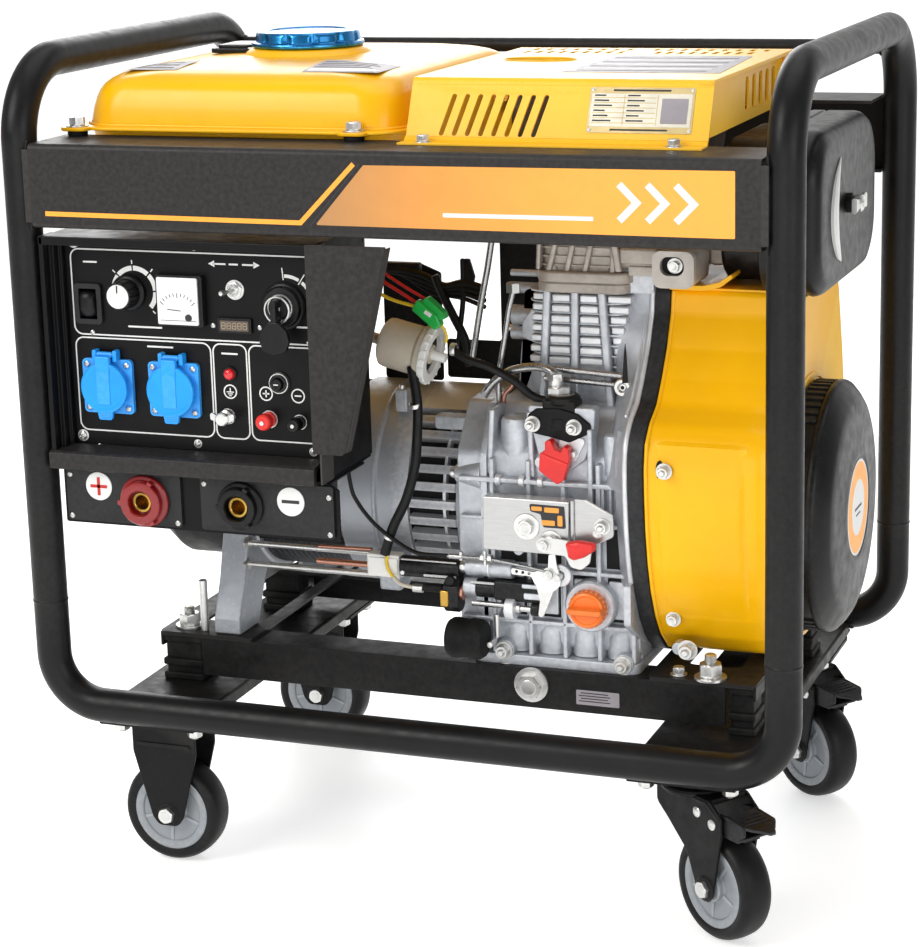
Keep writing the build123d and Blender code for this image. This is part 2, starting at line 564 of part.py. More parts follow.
pan += bx(ACS[0] - 13, ACS[0] + 13, F - 4, F, ACS[1] - 18, ACS[1] + 18) - bx(ACS[0] - 9, ACS[0] + 9, F - 5, F, ACS[1] - 14, ACS[1] + 14)
pan -= bx(ACS[0] - 9, ACS[0] + 9, F - 5, F + 4, ACS[1] - 14, ACS[1] + 14)
# trunnion block of the rocker, behind the panel
pan += bx(ACS[0] - 13, ACS[0] - 9.4, F + PANEL_T, F + 8, ACS[1] - 4, ACS[1] + 4) + bx(ACS[0] + 9.4, ACS[0] + 13, F + PANEL_T, F + 8, ACS[1] - 4, ACS[1] + 4)
put("control_panel", one(pan))

outs = []
for x, z in SOCK:
    s = bx(x - 25, x + 25, F - 4, F, z - 25, z + 25)
    s += cy(20, F - 8, F + 28, x, z)
    s -= cy(17.5, F - 9, F + 8, x, z)
    s += bx(x - 12, x + 12, F - 9, F - 4, z + 25.0, z + 34.0) + bx(x - 12, x + 12, F - 4, F, z + 24, z + 34)
    s -= bx(x - 8.0, x + 8.0, F - 10, F - 4, z + 23, z + 35)
    s += cx(1.5, x - 12, x + 12, F - 6.5, z + 30)
    outs.append(one(s))
put("outlet_sockets", Compound(children=outs))
for nm, (x, z) in (("left", SOCK[0]), ("right", SOCK[1])):
    l = cy(23.5, F - 14, F - 8.6, x, z)
    l += bx(x - 5, x + 5, F - 12, F - 8.6, z - 29, z - 20)
    l += bx(x - 7.6, x + 7.6, F - 12, F - 8.6, z + 15, z + 30)
    l += bx(x - 7.6, x + 7.6, F - 9.5, F - 6.5, z + 27.4, z + 30)
    l += cx(2.35, x - 7.6, x + 7.6, F - 6.5, z + 30)
    l -= cx(1.5 + RUN, x - 20, x + 20, F - 6.5, z + 30)
    put("outlet_lid_" + nm, one(l))

mt = [bx(-222, -180, F - 9, F, 534, 576), bx(-166, -134, F - 3.5, F, 530.5, 541.5), cy(5, F - 6, F, -157.5, 490)]
put("panel_meters", Compound(children=mt))

kn = cy(13, F - 22, F - 4, KNOB[0], KNOB[1]) + cy(16.5, F - 5, F - 0.5, KNOB[0], KNOB[1])
for i in range(12):
    a = 2 * pi * i / 12
    kn -= cy(1.6, F - 23, F - 6, KNOB[0] + 13.6 * cos(a), KNOB[1] + 13.6 * sin(a))
kn += bx(KNOB[0] - 1.6, KNOB[0] + 1.6, F - 23.5, F - 21, KNOB[1] + 1, KNOB[1] + 12)
kn += cy(3, F - 1, F + 14, KNOB[0], KNOB[1])
put("current_knob", one(kn))

# toggle lever: leans to the left at rest, pivot on the panel face
tg = Pos(TOG[0], F - 1, TOG[1]) * (Rot(0, 0, -13) * (Rot(90, 0, 0) * (Pos(0, 0, 10) * Cone(1.4, 2.4, 20))))
tg += cz(2.6, TOG[1] - 2, TOG[1] + 2, TOG[0], F - 1)
put("mode_toggle", one(tg))

ky = cy(3.4, F - 18, F + 10, KEY[0], KEY[1])
ky += bx(KEY[0] - 2, KEY[0] + 2, F - 27, F - 16, KEY[1] - 11, KEY[1] + 11)
ky += bx(KEY[0] - 12, KEY[0] + 12, F - 25, F - 21.5, KEY[1] - 34, KEY[1] - 14) 
ky += bx(KEY[0] - 1.5, KEY[0] + 1.5, F - 25, F - 21.5, KEY[1] - 15, KEY[1])
put("ignition_key", one(ky))

put("breaker_button", one(cy(5.5, F - 9, F + 6, BRK[0], BRK[1]) + cy(7.2, F + 4.6, F + 6.5, BRK[0], BRK[1])))

sw = bx(ACS[0] - 8.4, ACS[0] + 8.4, F - 5, F + 7, ACS[1] - 11.5, ACS[1] + 11.5)
sw += cy(8.2, F - 7.5, F - 4, ACS[0], ACS[1])
sw = sw & (Pos(ACS[0], F + 5, ACS[1]) * (Rot(0, 90, 0) * Cylinder(12.5, 30)))
sw += cx(1.5, ACS[0] - 12, ACS[0] + 12, F + 5, ACS[1])
sw_hole = cx(1.5 + RUN, ACS[0] - 14, ACS[0] + 14, F + 5, ACS[1])
put("ac_switch", one(sw))
OUT["control_panel"] = one(OUT["control_panel"] - sw_hole)

posts = []
for x, z, r in ((-123.0, 453.5, 7.5), (-92.5, 453.0, 7.5), (-162.0, 453.0, 6.5)):
    p = cy(r, F - 12, F, x, z) + cy(r * 0.6, F - 16, F - 12, x, z)
    posts.append(one(p))
put("binding_posts", Compound(children=posts))

# ------------------------------------------------------------------ weld terminals
SOCKET_R = 6.6       # cable socket bore
WZ0 = 343.0
wt = bx(-326, -52, -234, -231, WZ0, BZ0) + bx(-326, -62, -234, -150, BZ0 - 3, BZ0)
WS = ((-242.0, 371.0, 24.0), (-146.0, 373.0, 22.0))
for x, z, r in WS:
    wt -= cy(15, -240, -228, x, z)
put("weld_terminal_plate", one(wt))
wss = []
for x, z, r in WS:
    s = cy(r, -250, -234, x, z) + cy(15, -236, -200, x, z)
    s -= cy(SOCKET_R, -252, -215, x, z)
    wss.append(one(s))
put("weld_sockets", Compound(children=wss))

# ------------------------------------------------------------------ fasteners
fs = []


def bolt_z(x, y, z, af=13, h=7, shank=0):
    fs.append(one(hex_z(af, z, z + h, x, y) + cz(af * 0.62, z, z + 1.5, x, y)))


for x, y in ((-316, -186), (-45, -186), (-316, 186), (-45, 186)):
    bolt_z(x, y, 703)
for x, y in ((24, -199), (246, -199), (24, 142), (246, 142)):
    bolt_z(x, y, 696)
for x, y in ((-268, -112), (-268, 112), (256, -124), (256, 124)):
    fs.append(one(hex_z(18, 211, 223, x, y) + cz(12, 211, 213.5, x, y) + cz(5, 211, 228, x, y)))
fs.append(one(hex_z(18, 211, 224, -247, -122) + cz(5, 211, 262, -247, -122)))
for x in (62, 176):
    fs.append(one(hex_y(13, -136, -128, x, 215)))
fs.append(one(hex_y(22, -148, -138, 84, 190) + cy(15, -138, -134, 84, 190)))
for x, z in ((-309, 598), (-190, 598), (-79, 598), (-309, 434), (-193, 434), (-79, 434)):
    fs.append(one(cy(4.2, F - 3, F, x, z)))
put("fasteners", Compound(children=fs))

# rubber pads under the tank flange and guard feet are part of the isolator set
pads = []
for x, y in ((-316, -186), (-45, -186), (-316, 186), (-45, 186)):
    pads.append(one(cz(8.5, FASC_Z1, 700, x, y)))
OUT["rubber_mounts"] = Compound(children=list(OUT["rubber_mounts"].solids()) + pads)

# ------------------------------------------------------------------ export
for name, shape in OUT.items():
    export_step(shape, "parts/%s.step" % name)
print(len(OUT), "nodes")
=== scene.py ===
"""Looks of an open-frame diesel welder-generator on casters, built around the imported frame.

Helper functions take millimetres; every mesh is scaled to metres when it is finished.
+X along the machine (alternator end is -X), +Y to the back, +Z up.
"""
import bpy
import bmesh
from math import sin, cos, tan, pi, radians, sqrt, atan2, acos, floor
from mathutils import Vector, Matrix


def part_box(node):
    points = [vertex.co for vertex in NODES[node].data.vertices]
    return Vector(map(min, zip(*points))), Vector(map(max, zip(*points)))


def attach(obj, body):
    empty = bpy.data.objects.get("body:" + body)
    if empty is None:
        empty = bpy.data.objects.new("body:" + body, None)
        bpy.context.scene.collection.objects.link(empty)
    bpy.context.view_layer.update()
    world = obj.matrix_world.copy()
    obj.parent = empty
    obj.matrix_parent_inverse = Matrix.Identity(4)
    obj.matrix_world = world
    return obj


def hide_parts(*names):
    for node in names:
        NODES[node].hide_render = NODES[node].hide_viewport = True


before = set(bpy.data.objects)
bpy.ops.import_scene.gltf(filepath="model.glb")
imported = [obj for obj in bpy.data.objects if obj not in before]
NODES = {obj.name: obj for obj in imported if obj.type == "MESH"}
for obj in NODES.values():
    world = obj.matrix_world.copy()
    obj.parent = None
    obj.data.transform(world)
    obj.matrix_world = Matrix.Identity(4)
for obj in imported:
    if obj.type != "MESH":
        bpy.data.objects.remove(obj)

S = bpy.context.scene
K = 0.001
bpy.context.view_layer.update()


# =====================================================================================
# materials: every one has colour variation, roughness variation and bump from its nodes
# =====================================================================================
def lin(r, g, b):
    """sRGB 0-255 to linear."""
    def f(c):
        c /= 255.0
        return c / 12.92 if c <= 0.04045 else ((c + 0.055) / 1.055) ** 2.4
    return (f(r), f(g), f(b))


MATS = {}


def mat(name, col, rough=0.5, metal=0.0, var=0.08, vscale=25.0, rvar=0.08, rscale=60.0, bump=0.1, bscale=900.0, bdist=0.0004,
        edge=None, edge_highlight_amt=0.0, grime=None, grime_amt=0.0, grime_scale=18.0, coat=0.0, coat_rough=0.15, spec=0.5, big=0.0, bigscale=120.0,
        brushed=None, xgrad=None, emit=None):
    m = bpy.data.materials.new(name)
    m.use_nodes = True
    nt = m.node_tree
    n, l = nt.nodes, nt.links
    n.clear()
    out = n.new("ShaderNodeOutputMaterial")
    p = n.new("ShaderNodeBsdfPrincipled")
    l.new(p.outputs[0], out.inputs[0])
    tc = n.new("ShaderNodeTexCoord")

    def noise(scale, detail=4.0, rough_=0.55, vec=None):
        t = n.new("ShaderNodeTexNoise")
        t.inputs["Scale"].default_value = scale
        t.inputs["Detail"].default_value = detail
        t.inputs["Roughness"].default_value = rough_
        l.new(vec or tc.outputs["Object"], t.inputs["Vector"])
        return t

    def ramp(src, stops):
        r = n.new("ShaderNodeValToRGB")
        e = r.color_ramp.elements
        e[0].position, e[0].color = stops[0][0], (*stops[0][1], 1)
        e[1].position, e[1].color = stops[-1][0], (*stops[-1][1], 1)
        for pos, c in stops[1:-1]:
            q = e.new(pos)
            q.color = (*c, 1)
        l.new(src, r.inputs[0])
        return r

    def mix(fac, a, b):
        x = n.new("ShaderNodeMix")
        x.data_type = "RGBA"
        l.new(fac, x.inputs["Factor"])
        for sock, v in ((x.inputs[6], a), (x.inputs[7], b)):
            if isinstance(v, tuple):
                sock.default_value = (*v, 1)
            else:
                l.new(v, sock)
        return x.outputs[2]

    vec = None
    if brushed:
        mp = n.new("ShaderNodeMapping")
        mp.inputs["Scale"].default_value = brushed
        l.new(tc.outputs["Object"], mp.inputs["Vector"])
        vec = mp.outputs[0]
    n1 = noise(vscale, 5.0, vec=vec)
    lo = tuple(max(0.0, c * (1 - var)) for c in col)
    hi = tuple(min(1.0, c * (1 + var)) for c in col)
    if xgrad:
        sep = n.new("ShaderNodeSeparateXYZ")
        l.new(tc.outputs["Object"], sep.inputs[0])
        mr = n.new("ShaderNodeMapRange")
        mr.inputs["From Min"].default_value = xgrad[0]
        mr.inputs["From Max"].default_value = xgrad[1]
        l.new(sep.outputs["X"], mr.inputs["Value"])
        g = ramp(mr.outputs[0], xgrad[2])
        var_r = ramp(n1.outputs["Fac"], [(0.3, (0.93, 0.93, 0.93)), (0.7, (1, 1, 1))])
        mx = n.new("ShaderNodeMix")
        mx.data_type = "RGBA"
        mx.blend_type = "MULTIPLY"
        mx.inputs["Factor"].default_value = 1.0
        l.new(g.outputs[0], mx.inputs[6])
        l.new(var_r.outputs[0], mx.inputs[7])
        colour = mx.outputs[2]
    else:
        colour = ramp(n1.outputs["Fac"], [(0.32, lo), (0.68, hi)]).outputs[0]
    if grime is not None:
        n2 = noise(grime_scale, 6.0, 0.62)
        gr = ramp(n2.outputs["Fac"], [(0.48, (0, 0, 0)), (0.75, (grime_amt,) * 3)])
        colour = mix(gr.outputs[0], colour, grime)
    # painted edge highlight: convex edges, found from Pointiness plus a little noise, are mixed towards the lighter
    # edge colour
    if edge is not None:
        ge = n.new("ShaderNodeNewGeometry")
        n3 = noise(220.0, 3.0)
        ad = n.new("ShaderNodeMath")
        ad.operation = "MULTIPLY_ADD"
        l.new(n3.outputs["Fac"], ad.inputs[0])
        ad.inputs[1].default_value = 0.10
        l.new(ge.outputs["Pointiness"], ad.inputs[2])
        edge_highlight_mask = ramp(ad.outputs[0], [(0.585, (0, 0, 0)), (0.66, (edge_highlight_amt,) * 3)])
        colour = mix(edge_highlight_mask.outputs[0], colour, edge)
    l.new(colour, p.inputs["Base Color"])
    n4 = noise(rscale, 4.0, vec=vec)
    rr = n.new("ShaderNodeMapRange")
    rr.inputs["From Min"].default_value = 0.3
    rr.inputs["From Max"].default_value = 0.7
    rr.inputs["To Min"].default_value = max(0.03, rough - rvar)
    rr.inputs["To Max"].default_value = min(1.0, rough + rvar)
    l.new(n4.outputs["Fac"], rr.inputs["Value"])
    l.new(rr.outputs[0], p.inputs["Roughness"])
    nb = noise(bscale, 3.0, vec=vec)
    bp_ = n.new("ShaderNodeBump")
    bp_.inputs["Strength"].default_value = bump
    bp_.inputs["Distance"].default_value = bdist
    l.new(nb.outputs["Fac"], bp_.inputs["Height"])
    if big > 0:
        nb2 = noise(bigscale, 2.0)
        b2 = n.new("ShaderNodeBump")
        b2.inputs["Strength"].default_value = big
        b2.inputs["Distance"].default_value = 0.002
        l.new(nb2.outputs["Fac"], b2.inputs["Height"])
        l.new(b2.outputs[0], bp_.inputs["Normal"])
    l.new(bp_.outputs[0], p.inputs["Normal"])
    p.inputs["Metallic"].default_value = metal
    p.inputs["Specular IOR Level"].default_value = spec
    if coat > 0:
        p.inputs["Coat Weight"].default_value = coat
        p.inputs["Coat Roughness"].default_value = coat_rough
    if emit:
        p.inputs["Emission Color"].default_value = (*emit, 1)
        p.inputs["Emission Strength"].default_value = 0.25
    MATS[name] = m
    return m


# the edge colour of each finish below is its painted edge highlight
mat("tube_black", lin(15, 15, 16), 0.38, 0.0, 0.25, 30, 0.07, 90, 0.10, 1500, 0.0003, edge=lin(70, 68, 66), edge_highlight_amt=0.22, grime=lin(50, 47, 44), grime_amt=0.10, spec=0.22)
mat("steel_black", lin(11, 11, 12), 0.46, 0.0, 0.25, 40, 0.1, 80, 0.14, 1300, 0.0003, edge=lin(70, 68, 66), edge_highlight_amt=0.25, grime=lin(50, 47, 44), grime_amt=0.12, spec=0.18)
mat("sheet_dark", lin(33, 31, 31), 0.46, 0.0, 0.06, 12, 0.05, 70, 0.06, 1700, 0.0002, edge=lin(96, 92, 90), edge_highlight_amt=0.3, grime=lin(44, 41, 40), grime_amt=0.10, grime_scale=7, spec=0.24)
mat("panel_black", lin(9, 9, 11), 0.42, 0.0, 0.18, 20, 0.07, 60, 0.10, 2200, 0.0002, grime=lin(36, 35, 34), grime_amt=0.10, spec=0.17)
# near-black for holes, slots and recesses: painted shade standing in for the darkness inside them
mat("void_black", lin(14, 13, 13), 0.8, 0.0, 0.2, 30, 0.05, 60, 0.1, 900)
mat("yellow", lin(252, 186, 4), 0.32, 0.0, 0.05, 9, 0.05, 40, 0.06, 900, 0.0003, edge=lin(255, 220, 90), edge_highlight_amt=0.25, grime=lin(224, 154, 4), grime_amt=0.22, grime_scale=6, coat=0.12, coat_rough=0.12, spec=0.3)
mat("yellow_fan", lin(247, 183, 4), 0.36, 0.0, 0.05, 9, 0.05, 40, 0.08, 1100, 0.0003, edge=lin(255, 222, 100), edge_highlight_amt=0.25, grime=lin(216, 146, 4), grime_amt=0.22, grime_scale=6, coat=0.08, coat_rough=0.18, spec=0.28)
mat("alloy", lin(188, 192, 198), 0.46, 0.62, 0.10, 35, 0.10, 120, 0.40, 1400, 0.0004, edge=lin(240, 241, 243), edge_highlight_amt=0.6, grime=lin(112, 114, 118), grime_amt=0.35, grime_scale=22, big=0.10, bigscale=260)
mat("alloy_head", lin(178, 170, 161), 0.54, 0.55, 0.13, 35, 0.10, 120, 0.5, 1300, 0.0005, edge=lin(205, 200, 194), edge_highlight_amt=0.5, grime=lin(84, 78, 72), grime_amt=0.5, grime_scale=20, big=0.14, bigscale=240)
mat("alloy_bell", lin(158, 162, 168), 0.48, 0.42, 0.10, 30, 0.08, 120, 0.35, 1500, 0.0004, edge=lin(232, 232, 234), edge_highlight_amt=0.6, grime=lin(96, 97, 100), grime_amt=0.35, grime_scale=15, big=0.08)
# paler copy of the alloy: painted highlight on the cylinder fin faces and the rims along the gasket; also used for
# small bosses, rings and seats
mat("alloy_light", lin(220, 222, 225), 0.45, 0.6, 0.08, 40, 0.08, 120, 0.35, 1400, 0.0004, edge=lin(240, 240, 240), edge_highlight_amt=0.5, grime=lin(120, 120, 122), grime_amt=0.3)
mat("laminations", lin(48, 50, 54), 0.62, 0.30, 0.18, 40, 0.1, 200, 0.35, 900, 0.0004, edge=lin(130, 130, 132), edge_highlight_amt=0.4, grime=lin(30, 30, 32), grime_amt=0.5, brushed=(40, 1, 1))
mat("zinc", lin(206, 206, 204), 0.30, 0.90, 0.04, 60, 0.03, 200, 0.01, 1200, 0.0001, edge=lin(250, 250, 248), edge_highlight_amt=0.4, grime=lin(180, 172, 152), grime_amt=0.15, grime_scale=60)
mat("stainless", lin(184, 184, 184), 0.32, 0.92, 0.05, 60, 0.06, 120, 0.05, 300, 0.0002, brushed=(1, 1, 8), grime=lin(160, 159, 156), grime_amt=0.15, grime_scale=30)
mat("steel_pipe", lin(172, 172, 172), 0.28, 0.95, 0.10, 60, 0.08, 200, 0.12, 1200, 0.0002, grime=lin(110, 104, 96), grime_amt=0.3, grime_scale=50)
mat("brass", lin(186, 148, 70), 0.28, 0.95, 0.12, 60, 0.08, 200, 0.12, 1200, 0.0002, grime=lin(110, 84, 40), grime_amt=0.35, grime_scale=60)
mat("copper_rod", lin(196, 142, 122), 0.32, 0.85, 0.10, 60, 0.08, 200, 0.12, 1200, 0.0002, grime=lin(120, 84, 70), grime_amt=0.3, grime_scale=60)
mat("rotor_steel", lin(120, 118, 116), 0.4, 0.9, 0.12, 40, 0.1, 200, 0.2, 800, 0.0003, grime=lin(70, 62, 56), grime_amt=0.3)
mat("cast_iron", lin(92, 90, 88), 0.55, 0.6, 0.15, 40, 0.1, 200, 0.5, 900, 0.0005, grime=lin(60, 54, 50), grime_amt=0.4)
mat("exhaust", lin(104, 92, 82), 0.6, 0.7, 0.22, 18, 0.12, 90, 0.3, 900, 0.0004, grime=lin(72, 48, 36), grime_amt=0.6, grime_scale=14)
mat("backplate", lin(15, 15, 17), 0.5, 0.1, 0.15, 20, 0.08, 80, 0.14, 1200, 0.0003, edge=lin(90, 90, 92), edge_highlight_amt=0.35, grime=lin(58, 56, 56), grime_amt=0.2, spec=0.25)
mat("starter_black", lin(10, 10, 11), 0.38, 0.0, 0.2, 25, 0.08, 90, 0.16, 1300, 0.0003, edge=lin(80, 80, 84), edge_highlight_amt=0.35, grime=lin(56, 54, 54), grime_amt=0.16, spec=0.24)
mat("plastic_black", lin(9, 9, 10), 0.36, 0.0, 0.2, 30, 0.07, 90, 0.14, 1500, 0.0002, edge=lin(64, 64, 66), edge_highlight_amt=0.3, grime=lin(48, 47, 46), grime_amt=0.15, spec=0.26)
mat("rubber", lin(10, 10, 10), 0.66, 0.0, 0.2, 30, 0.08, 70, 0.3, 1100, 0.0003, edge=lin(58, 57, 56), edge_highlight_amt=0.3, grime=lin(70, 67, 63), grime_amt=0.25, grime_scale=30, spec=0.22)
mat("tyre", lin(12, 12, 13), 0.45, 0.0, 0.18, 30, 0.08, 60, 0.22, 900, 0.0003, edge=lin(70, 69, 68), edge_highlight_amt=0.25, grime=lin(60, 58, 55), grime_amt=0.14, grime_scale=26, spec=0.22)
mat("hub_grey", lin(138, 143, 148), 0.42, 0.1, 0.06, 30, 0.07, 60, 0.12, 900, 0.0003, edge=lin(215, 216, 218), edge_highlight_amt=0.3, grime=lin(120, 116, 110), grime_amt=0.3, grime_scale=30, spec=0.35)
mat("blue_plastic", lin(8, 148, 238), 0.36, 0.0, 0.06, 25, 0.05, 60, 0.08, 1600, 0.0002, edge=lin(110, 190, 250), edge_highlight_amt=0.35, grime=lin(10, 96, 190), grime_amt=0.25, grime_scale=30, spec=0.4)
mat("cap_blue", lin(16, 118, 180), 0.24, 0.85, 0.16, 40, 0.06, 120, 0.08, 1500, 0.0002, edge=lin(120, 210, 240), edge_highlight_amt=0.6, coat=0.4, coat_rough=0.08)
mat("red_plastic", lin(214, 30, 26), 0.34, 0.0, 0.08, 40, 0.06, 80, 0.1, 1500, 0.0002, edge=lin(245, 110, 96), edge_highlight_amt=0.3, grime=lin(150, 14, 14), grime_amt=0.25)
mat("orange_plastic", lin(240, 116, 30), 0.36, 0.0, 0.08, 40, 0.06, 80, 0.1, 1500, 0.0002, edge=lin(250, 170, 100), edge_highlight_amt=0.3, grime=lin(190, 76, 16), grime_amt=0.25)
mat("cream_plastic", lin(196, 186, 168), 0.42, 0.0, 0.07, 40, 0.06, 80, 0.1, 1200, 0.0002, edge=lin(235, 230, 220), edge_highlight_amt=0.3, grime=lin(150, 138, 118), grime_amt=0.3)
mat("white_plastic", lin(228, 228, 224), 0.38, 0.0, 0.04, 40, 0.06, 80, 0.08, 1500, 0.0002, grime=lin(190, 188, 180), grime_amt=0.25)
mat("meter_face", lin(226, 228, 228), 0.3, 0.0, 0.03, 60, 0.04, 80, 0.05, 1500, 0.0001, grime=lin(200, 202, 202), grime_amt=0.2, coat=0.5, coat_rough=0.05)
mat("ink_white", lin(222, 222, 220), 0.5, 0.0, 0.05, 120, 0.05, 200, 0.08, 2500, 0.0001, grime=lin(180, 180, 178), grime_amt=0.3, grime_scale=120)
mat("ink_dark", lin(36, 34, 36), 0.5, 0.0, 0.1, 120, 0.05, 200, 0.08, 2500, 0.0001)
mat("ink_orange", lin(248, 164, 52), 0.42, 0.0, 0.05, 40, 0.05, 120, 0.08, 2000, 0.0001, grime=lin(228, 140, 40), grime_amt=0.3)
mat("decal_orange", lin(240, 160, 60), 0.42, 0.0, 0.04, 40, 0.05, 120, 0.06, 2000, 0.0001,
    xgrad=(-0.055, 0.311, [(0.0, lin(176, 128, 78)), (0.3, lin(222, 148, 62)), (0.62, lin(246, 165, 62)), (1.0, lin(252, 170, 60))]))
mat("plate_gold", lin(178, 160, 116), 0.36, 0.7, 0.08, 60, 0.06, 160, 0.1, 1500, 0.0001, grime=lin(140, 124, 84), grime_amt=0.3)
mat("plate_silver", lin(196, 192, 178), 0.38, 0.6, 0.06, 60, 0.06, 160, 0.1, 1500, 0.0001, grime=lin(160, 152, 130), grime_amt=0.3)
mat("sticker_grey", lin(150, 144, 150), 0.45, 0.0, 0.06, 60, 0.06, 160, 0.1, 1500, 0.0001, grime=lin(120, 110, 112), grime_amt=0.3)
mat("red_dark", lin(128, 10, 14), 0.30, 0.0, 0.06, 40, 0.05, 80, 0.06, 1500, 0.0001, edge=lin(190, 70, 66), edge_highlight_amt=0.3, coat=0.25)
mat("wire_red", lin(190, 28, 28), 0.45, 0.0, 0.1, 120, 0.06, 200, 0.1, 1500, 0.0002)
mat("wire_yellow", lin(226, 190, 40), 0.45, 0.0, 0.1, 120, 0.06, 200, 0.1, 1500, 0.0002)
mat("wire_green", lin(30, 170, 70), 0.36, 0.0, 0.1, 120, 0.06, 200, 0.1, 1500, 0.0002, coat=0.4)
mat("hose", lin(8, 8, 8), 0.48, 0.0, 0.2, 60, 0.08, 90, 0.25, 1200, 0.0002, grime=lin(54, 52, 50), grime_amt=0.2, spec=0.3)
mat("lamp_red", lin(190, 16, 24), 0.2, 0.0, 0.1, 120, 0.05, 200, 0.05, 1500, 0.0001, coat=0.6, coat_rough=0.05, emit=(0.5, 0.01, 0.01))
mat("lcd_brown", lin(74, 62, 50), 0.28, 0.0, 0.1, 120, 0.05, 200, 0.05, 1500, 0.0001, coat=0.5, coat_rough=0.05)
mat("lcd_seg", lin(150, 132, 108), 0.4, 0.0, 0.1, 120, 0.05, 200, 0.05, 1500, 0.0001)
mat("floor", lin(244, 244, 243), 0.55, 0.0, 0.012, 2, 0.04, 4, 0.03, 300, 0.0002)


# =====================================================================================
# mesh helpers (millimetres)
# =====================================================================================
def basis(d):
    w = Vector(d).normalized()
    ref = Vector((0, 0, 1)) if abs(w.z) < 0.9 else Vector((1, 0, 0))
    u = ref.cross(w).normalized()
    return u, w.cross(u), w


DIRS = {"x": (1, 0, 0), "-x": (-1, 0, 0), "y": (0, 1, 0), "-y": (0, -1, 0), "z": (0, 0, 1), "-z": (0, 0, -1)}


def dirv(d):
    return Vector(DIRS[d]) if isinstance(d, str) else Vector(d).normalized()


def arc_pts(a, b, c, r, n):
    """Points of the fillet of radius r at corner b between a and c."""
    a, b, c = Vector(a), Vector(b), Vector(c)
    u, w = (a - b), (c - b)
    lu, lw = u.length, w.length
    u.normalize()
    w.normalize()
    d = max(-1, min(1, u.dot(w)))
    th = acos(d)
    if th > pi - 0.02 or r <= 0 or th < 0.02:
        return [b]
    t = r / tan(th / 2)
    t = min(t, 0.49 * lu, 0.49 * lw)
    r = t * tan(th / 2)
    ctr = b + (u + w).normalized() * (r / sin(th / 2))
    p1, p2 = b + u * t - ctr, b + w * t - ctr
    sweep = pi - th
    out = []
    for i in range(n + 1):
        s = i / n
        out.append(ctr + (p1 * sin((1 - s) * sweep) + p2 * sin(s * sweep)) / sin(sweep))
    return out


def path3(pts, r, n=8, closed=False):
    pts = [Vector(p) for p in pts]
    out = []
    m = len(pts)
    for i, p in enumerate(pts):
        if not closed and i in (0, m - 1):
            out.append(p)
        else:
            out += arc_pts(pts[i - 1], p, pts[(i + 1) % m], r[i] if isinstance(r, (list, tuple)) else r, n)
    return out


def rp(pts, r, n=3):
    """Closed 2-D outline with rounded corners."""
    q = path3([(a, b, 0) for a, b in pts], r, n, closed=True)
    return [(v.x, v.y) for v in q]


def rl(pts, r, n=3):
    """Open 2-D line with rounded corners."""
    q = path3([(a, b, 0) for a, b in pts], r, n, closed=False)
    return [(v.x, v.y) for v in q]


def cat(pts, n=8):
    """Smooth line through points."""
    p = [Vector(q) for q in pts]
    p = [p[0] * 2 - p[1]] + p + [p[-1] * 2 - p[-2]]
    out = []
    for i in range(1, len(p) - 2):
        for j in range(n):
            t = j / n
            a, b, c, d = p[i - 1], p[i], p[i + 1], p[i + 2]
            out.append(0.5 * ((2 * b) + (c - a) * t + (2 * a - 5 * b + 4 * c - d) * t * t + (3 * b - a - 3 * c + d) * t ** 3))
    out.append(p[-2])
    return out


def rrect(cx, cy, w, h, r, n=5):
    """Rounded rectangle as 2-D points, 4*(n+1) of them."""
    r = min(r, w / 2 - 0.01, h / 2 - 0.01)
    out = []
    for k, (sx, sy) in enumerate(((1, 1), (-1, 1), (-1, -1), (1, -1))):
        for i in range(n + 1):
            a = (k + i / n) * pi / 2
            out.append((cx + sx * (w / 2 - r) + r * cos(a), cy + sy * (h / 2 - r) + r * sin(a)))
    return out


def circ(cx, cy, r, n=32, a0=0.0):
    return [(cx + r * cos(a0 + 2 * pi * i / n), cy + r * sin(a0 + 2 * pi * i / n)) for i in range(n)]


MAPS = {"x": lambda a, b, h: Vector((h, a, b)), "y": lambda a, b, h: Vector((a, h, b)), "z": lambda a, b, h: Vector((a, b, h))}


def sharp_edges(t, deg=25):
    out = []
    for e in t.edges:
        if len(e.link_faces) == 2 and e.calc_face_angle(0) > radians(deg):
            out.append(e)
    return out


def t_box(x0, x1, y0, y1, z0, z1, r=1.0, seg=2):
    t = bmesh.new()
    bmesh.ops.create_cube(t, size=1)
    for v in t.verts:
        v.co = Vector((x0 if v.co.x < 0 else x1, y0 if v.co.y < 0 else y1, z0 if v.co.z < 0 else z1))
    bmesh.ops.recalc_face_normals(t, faces=t.faces)
    r = min(r, 0.45 * min(abs(x1 - x0), abs(y1 - y0), abs(z1 - z0)))
    if r > 0:
        bmesh.ops.bevel(t, geom=t.edges[:], offset=r, segments=seg, profile=0.5, affect="EDGES", clamp_overlap=True)
    return t


def t_prism(axis, pts, a0, a1, r=0.6, seg=2, taper=None):
    """Outline extruded along an axis; axis x: (y,z), y: (x,z), z: (x,y)."""
    f = MAPS[axis] if isinstance(axis, str) else axis
    t = bmesh.new()
    lo = [t.verts.new(f(a, b, a0)) for a, b in pts]
    if taper:
        cx = sum(p[0] for p in pts) / len(pts)
        cy = sum(p[1] for p in pts) / len(pts)
        pts = [(cx + (a - cx) * taper, cy + (b - cy) * taper) for a, b in pts]
    hi = [t.verts.new(f(a, b, a1)) for a, b in pts]
    t.faces.new(lo)
    t.faces.new(list(reversed(hi)))
    m = len(pts)
    for i in range(m):
        t.faces.new((lo[i], hi[i], hi[(i + 1) % m], lo[(i + 1) % m]))
    bmesh.ops.recalc_face_normals(t, faces=t.faces)
    if r > 0:
        r = min(r, 0.42 * abs(a1 - a0))
        e = sharp_edges(t)
        if e:
            bmesh.ops.bevel(t, geom=e, offset=r, segments=seg, profile=0.5, affect="EDGES", clamp_overlap=True)
    return t


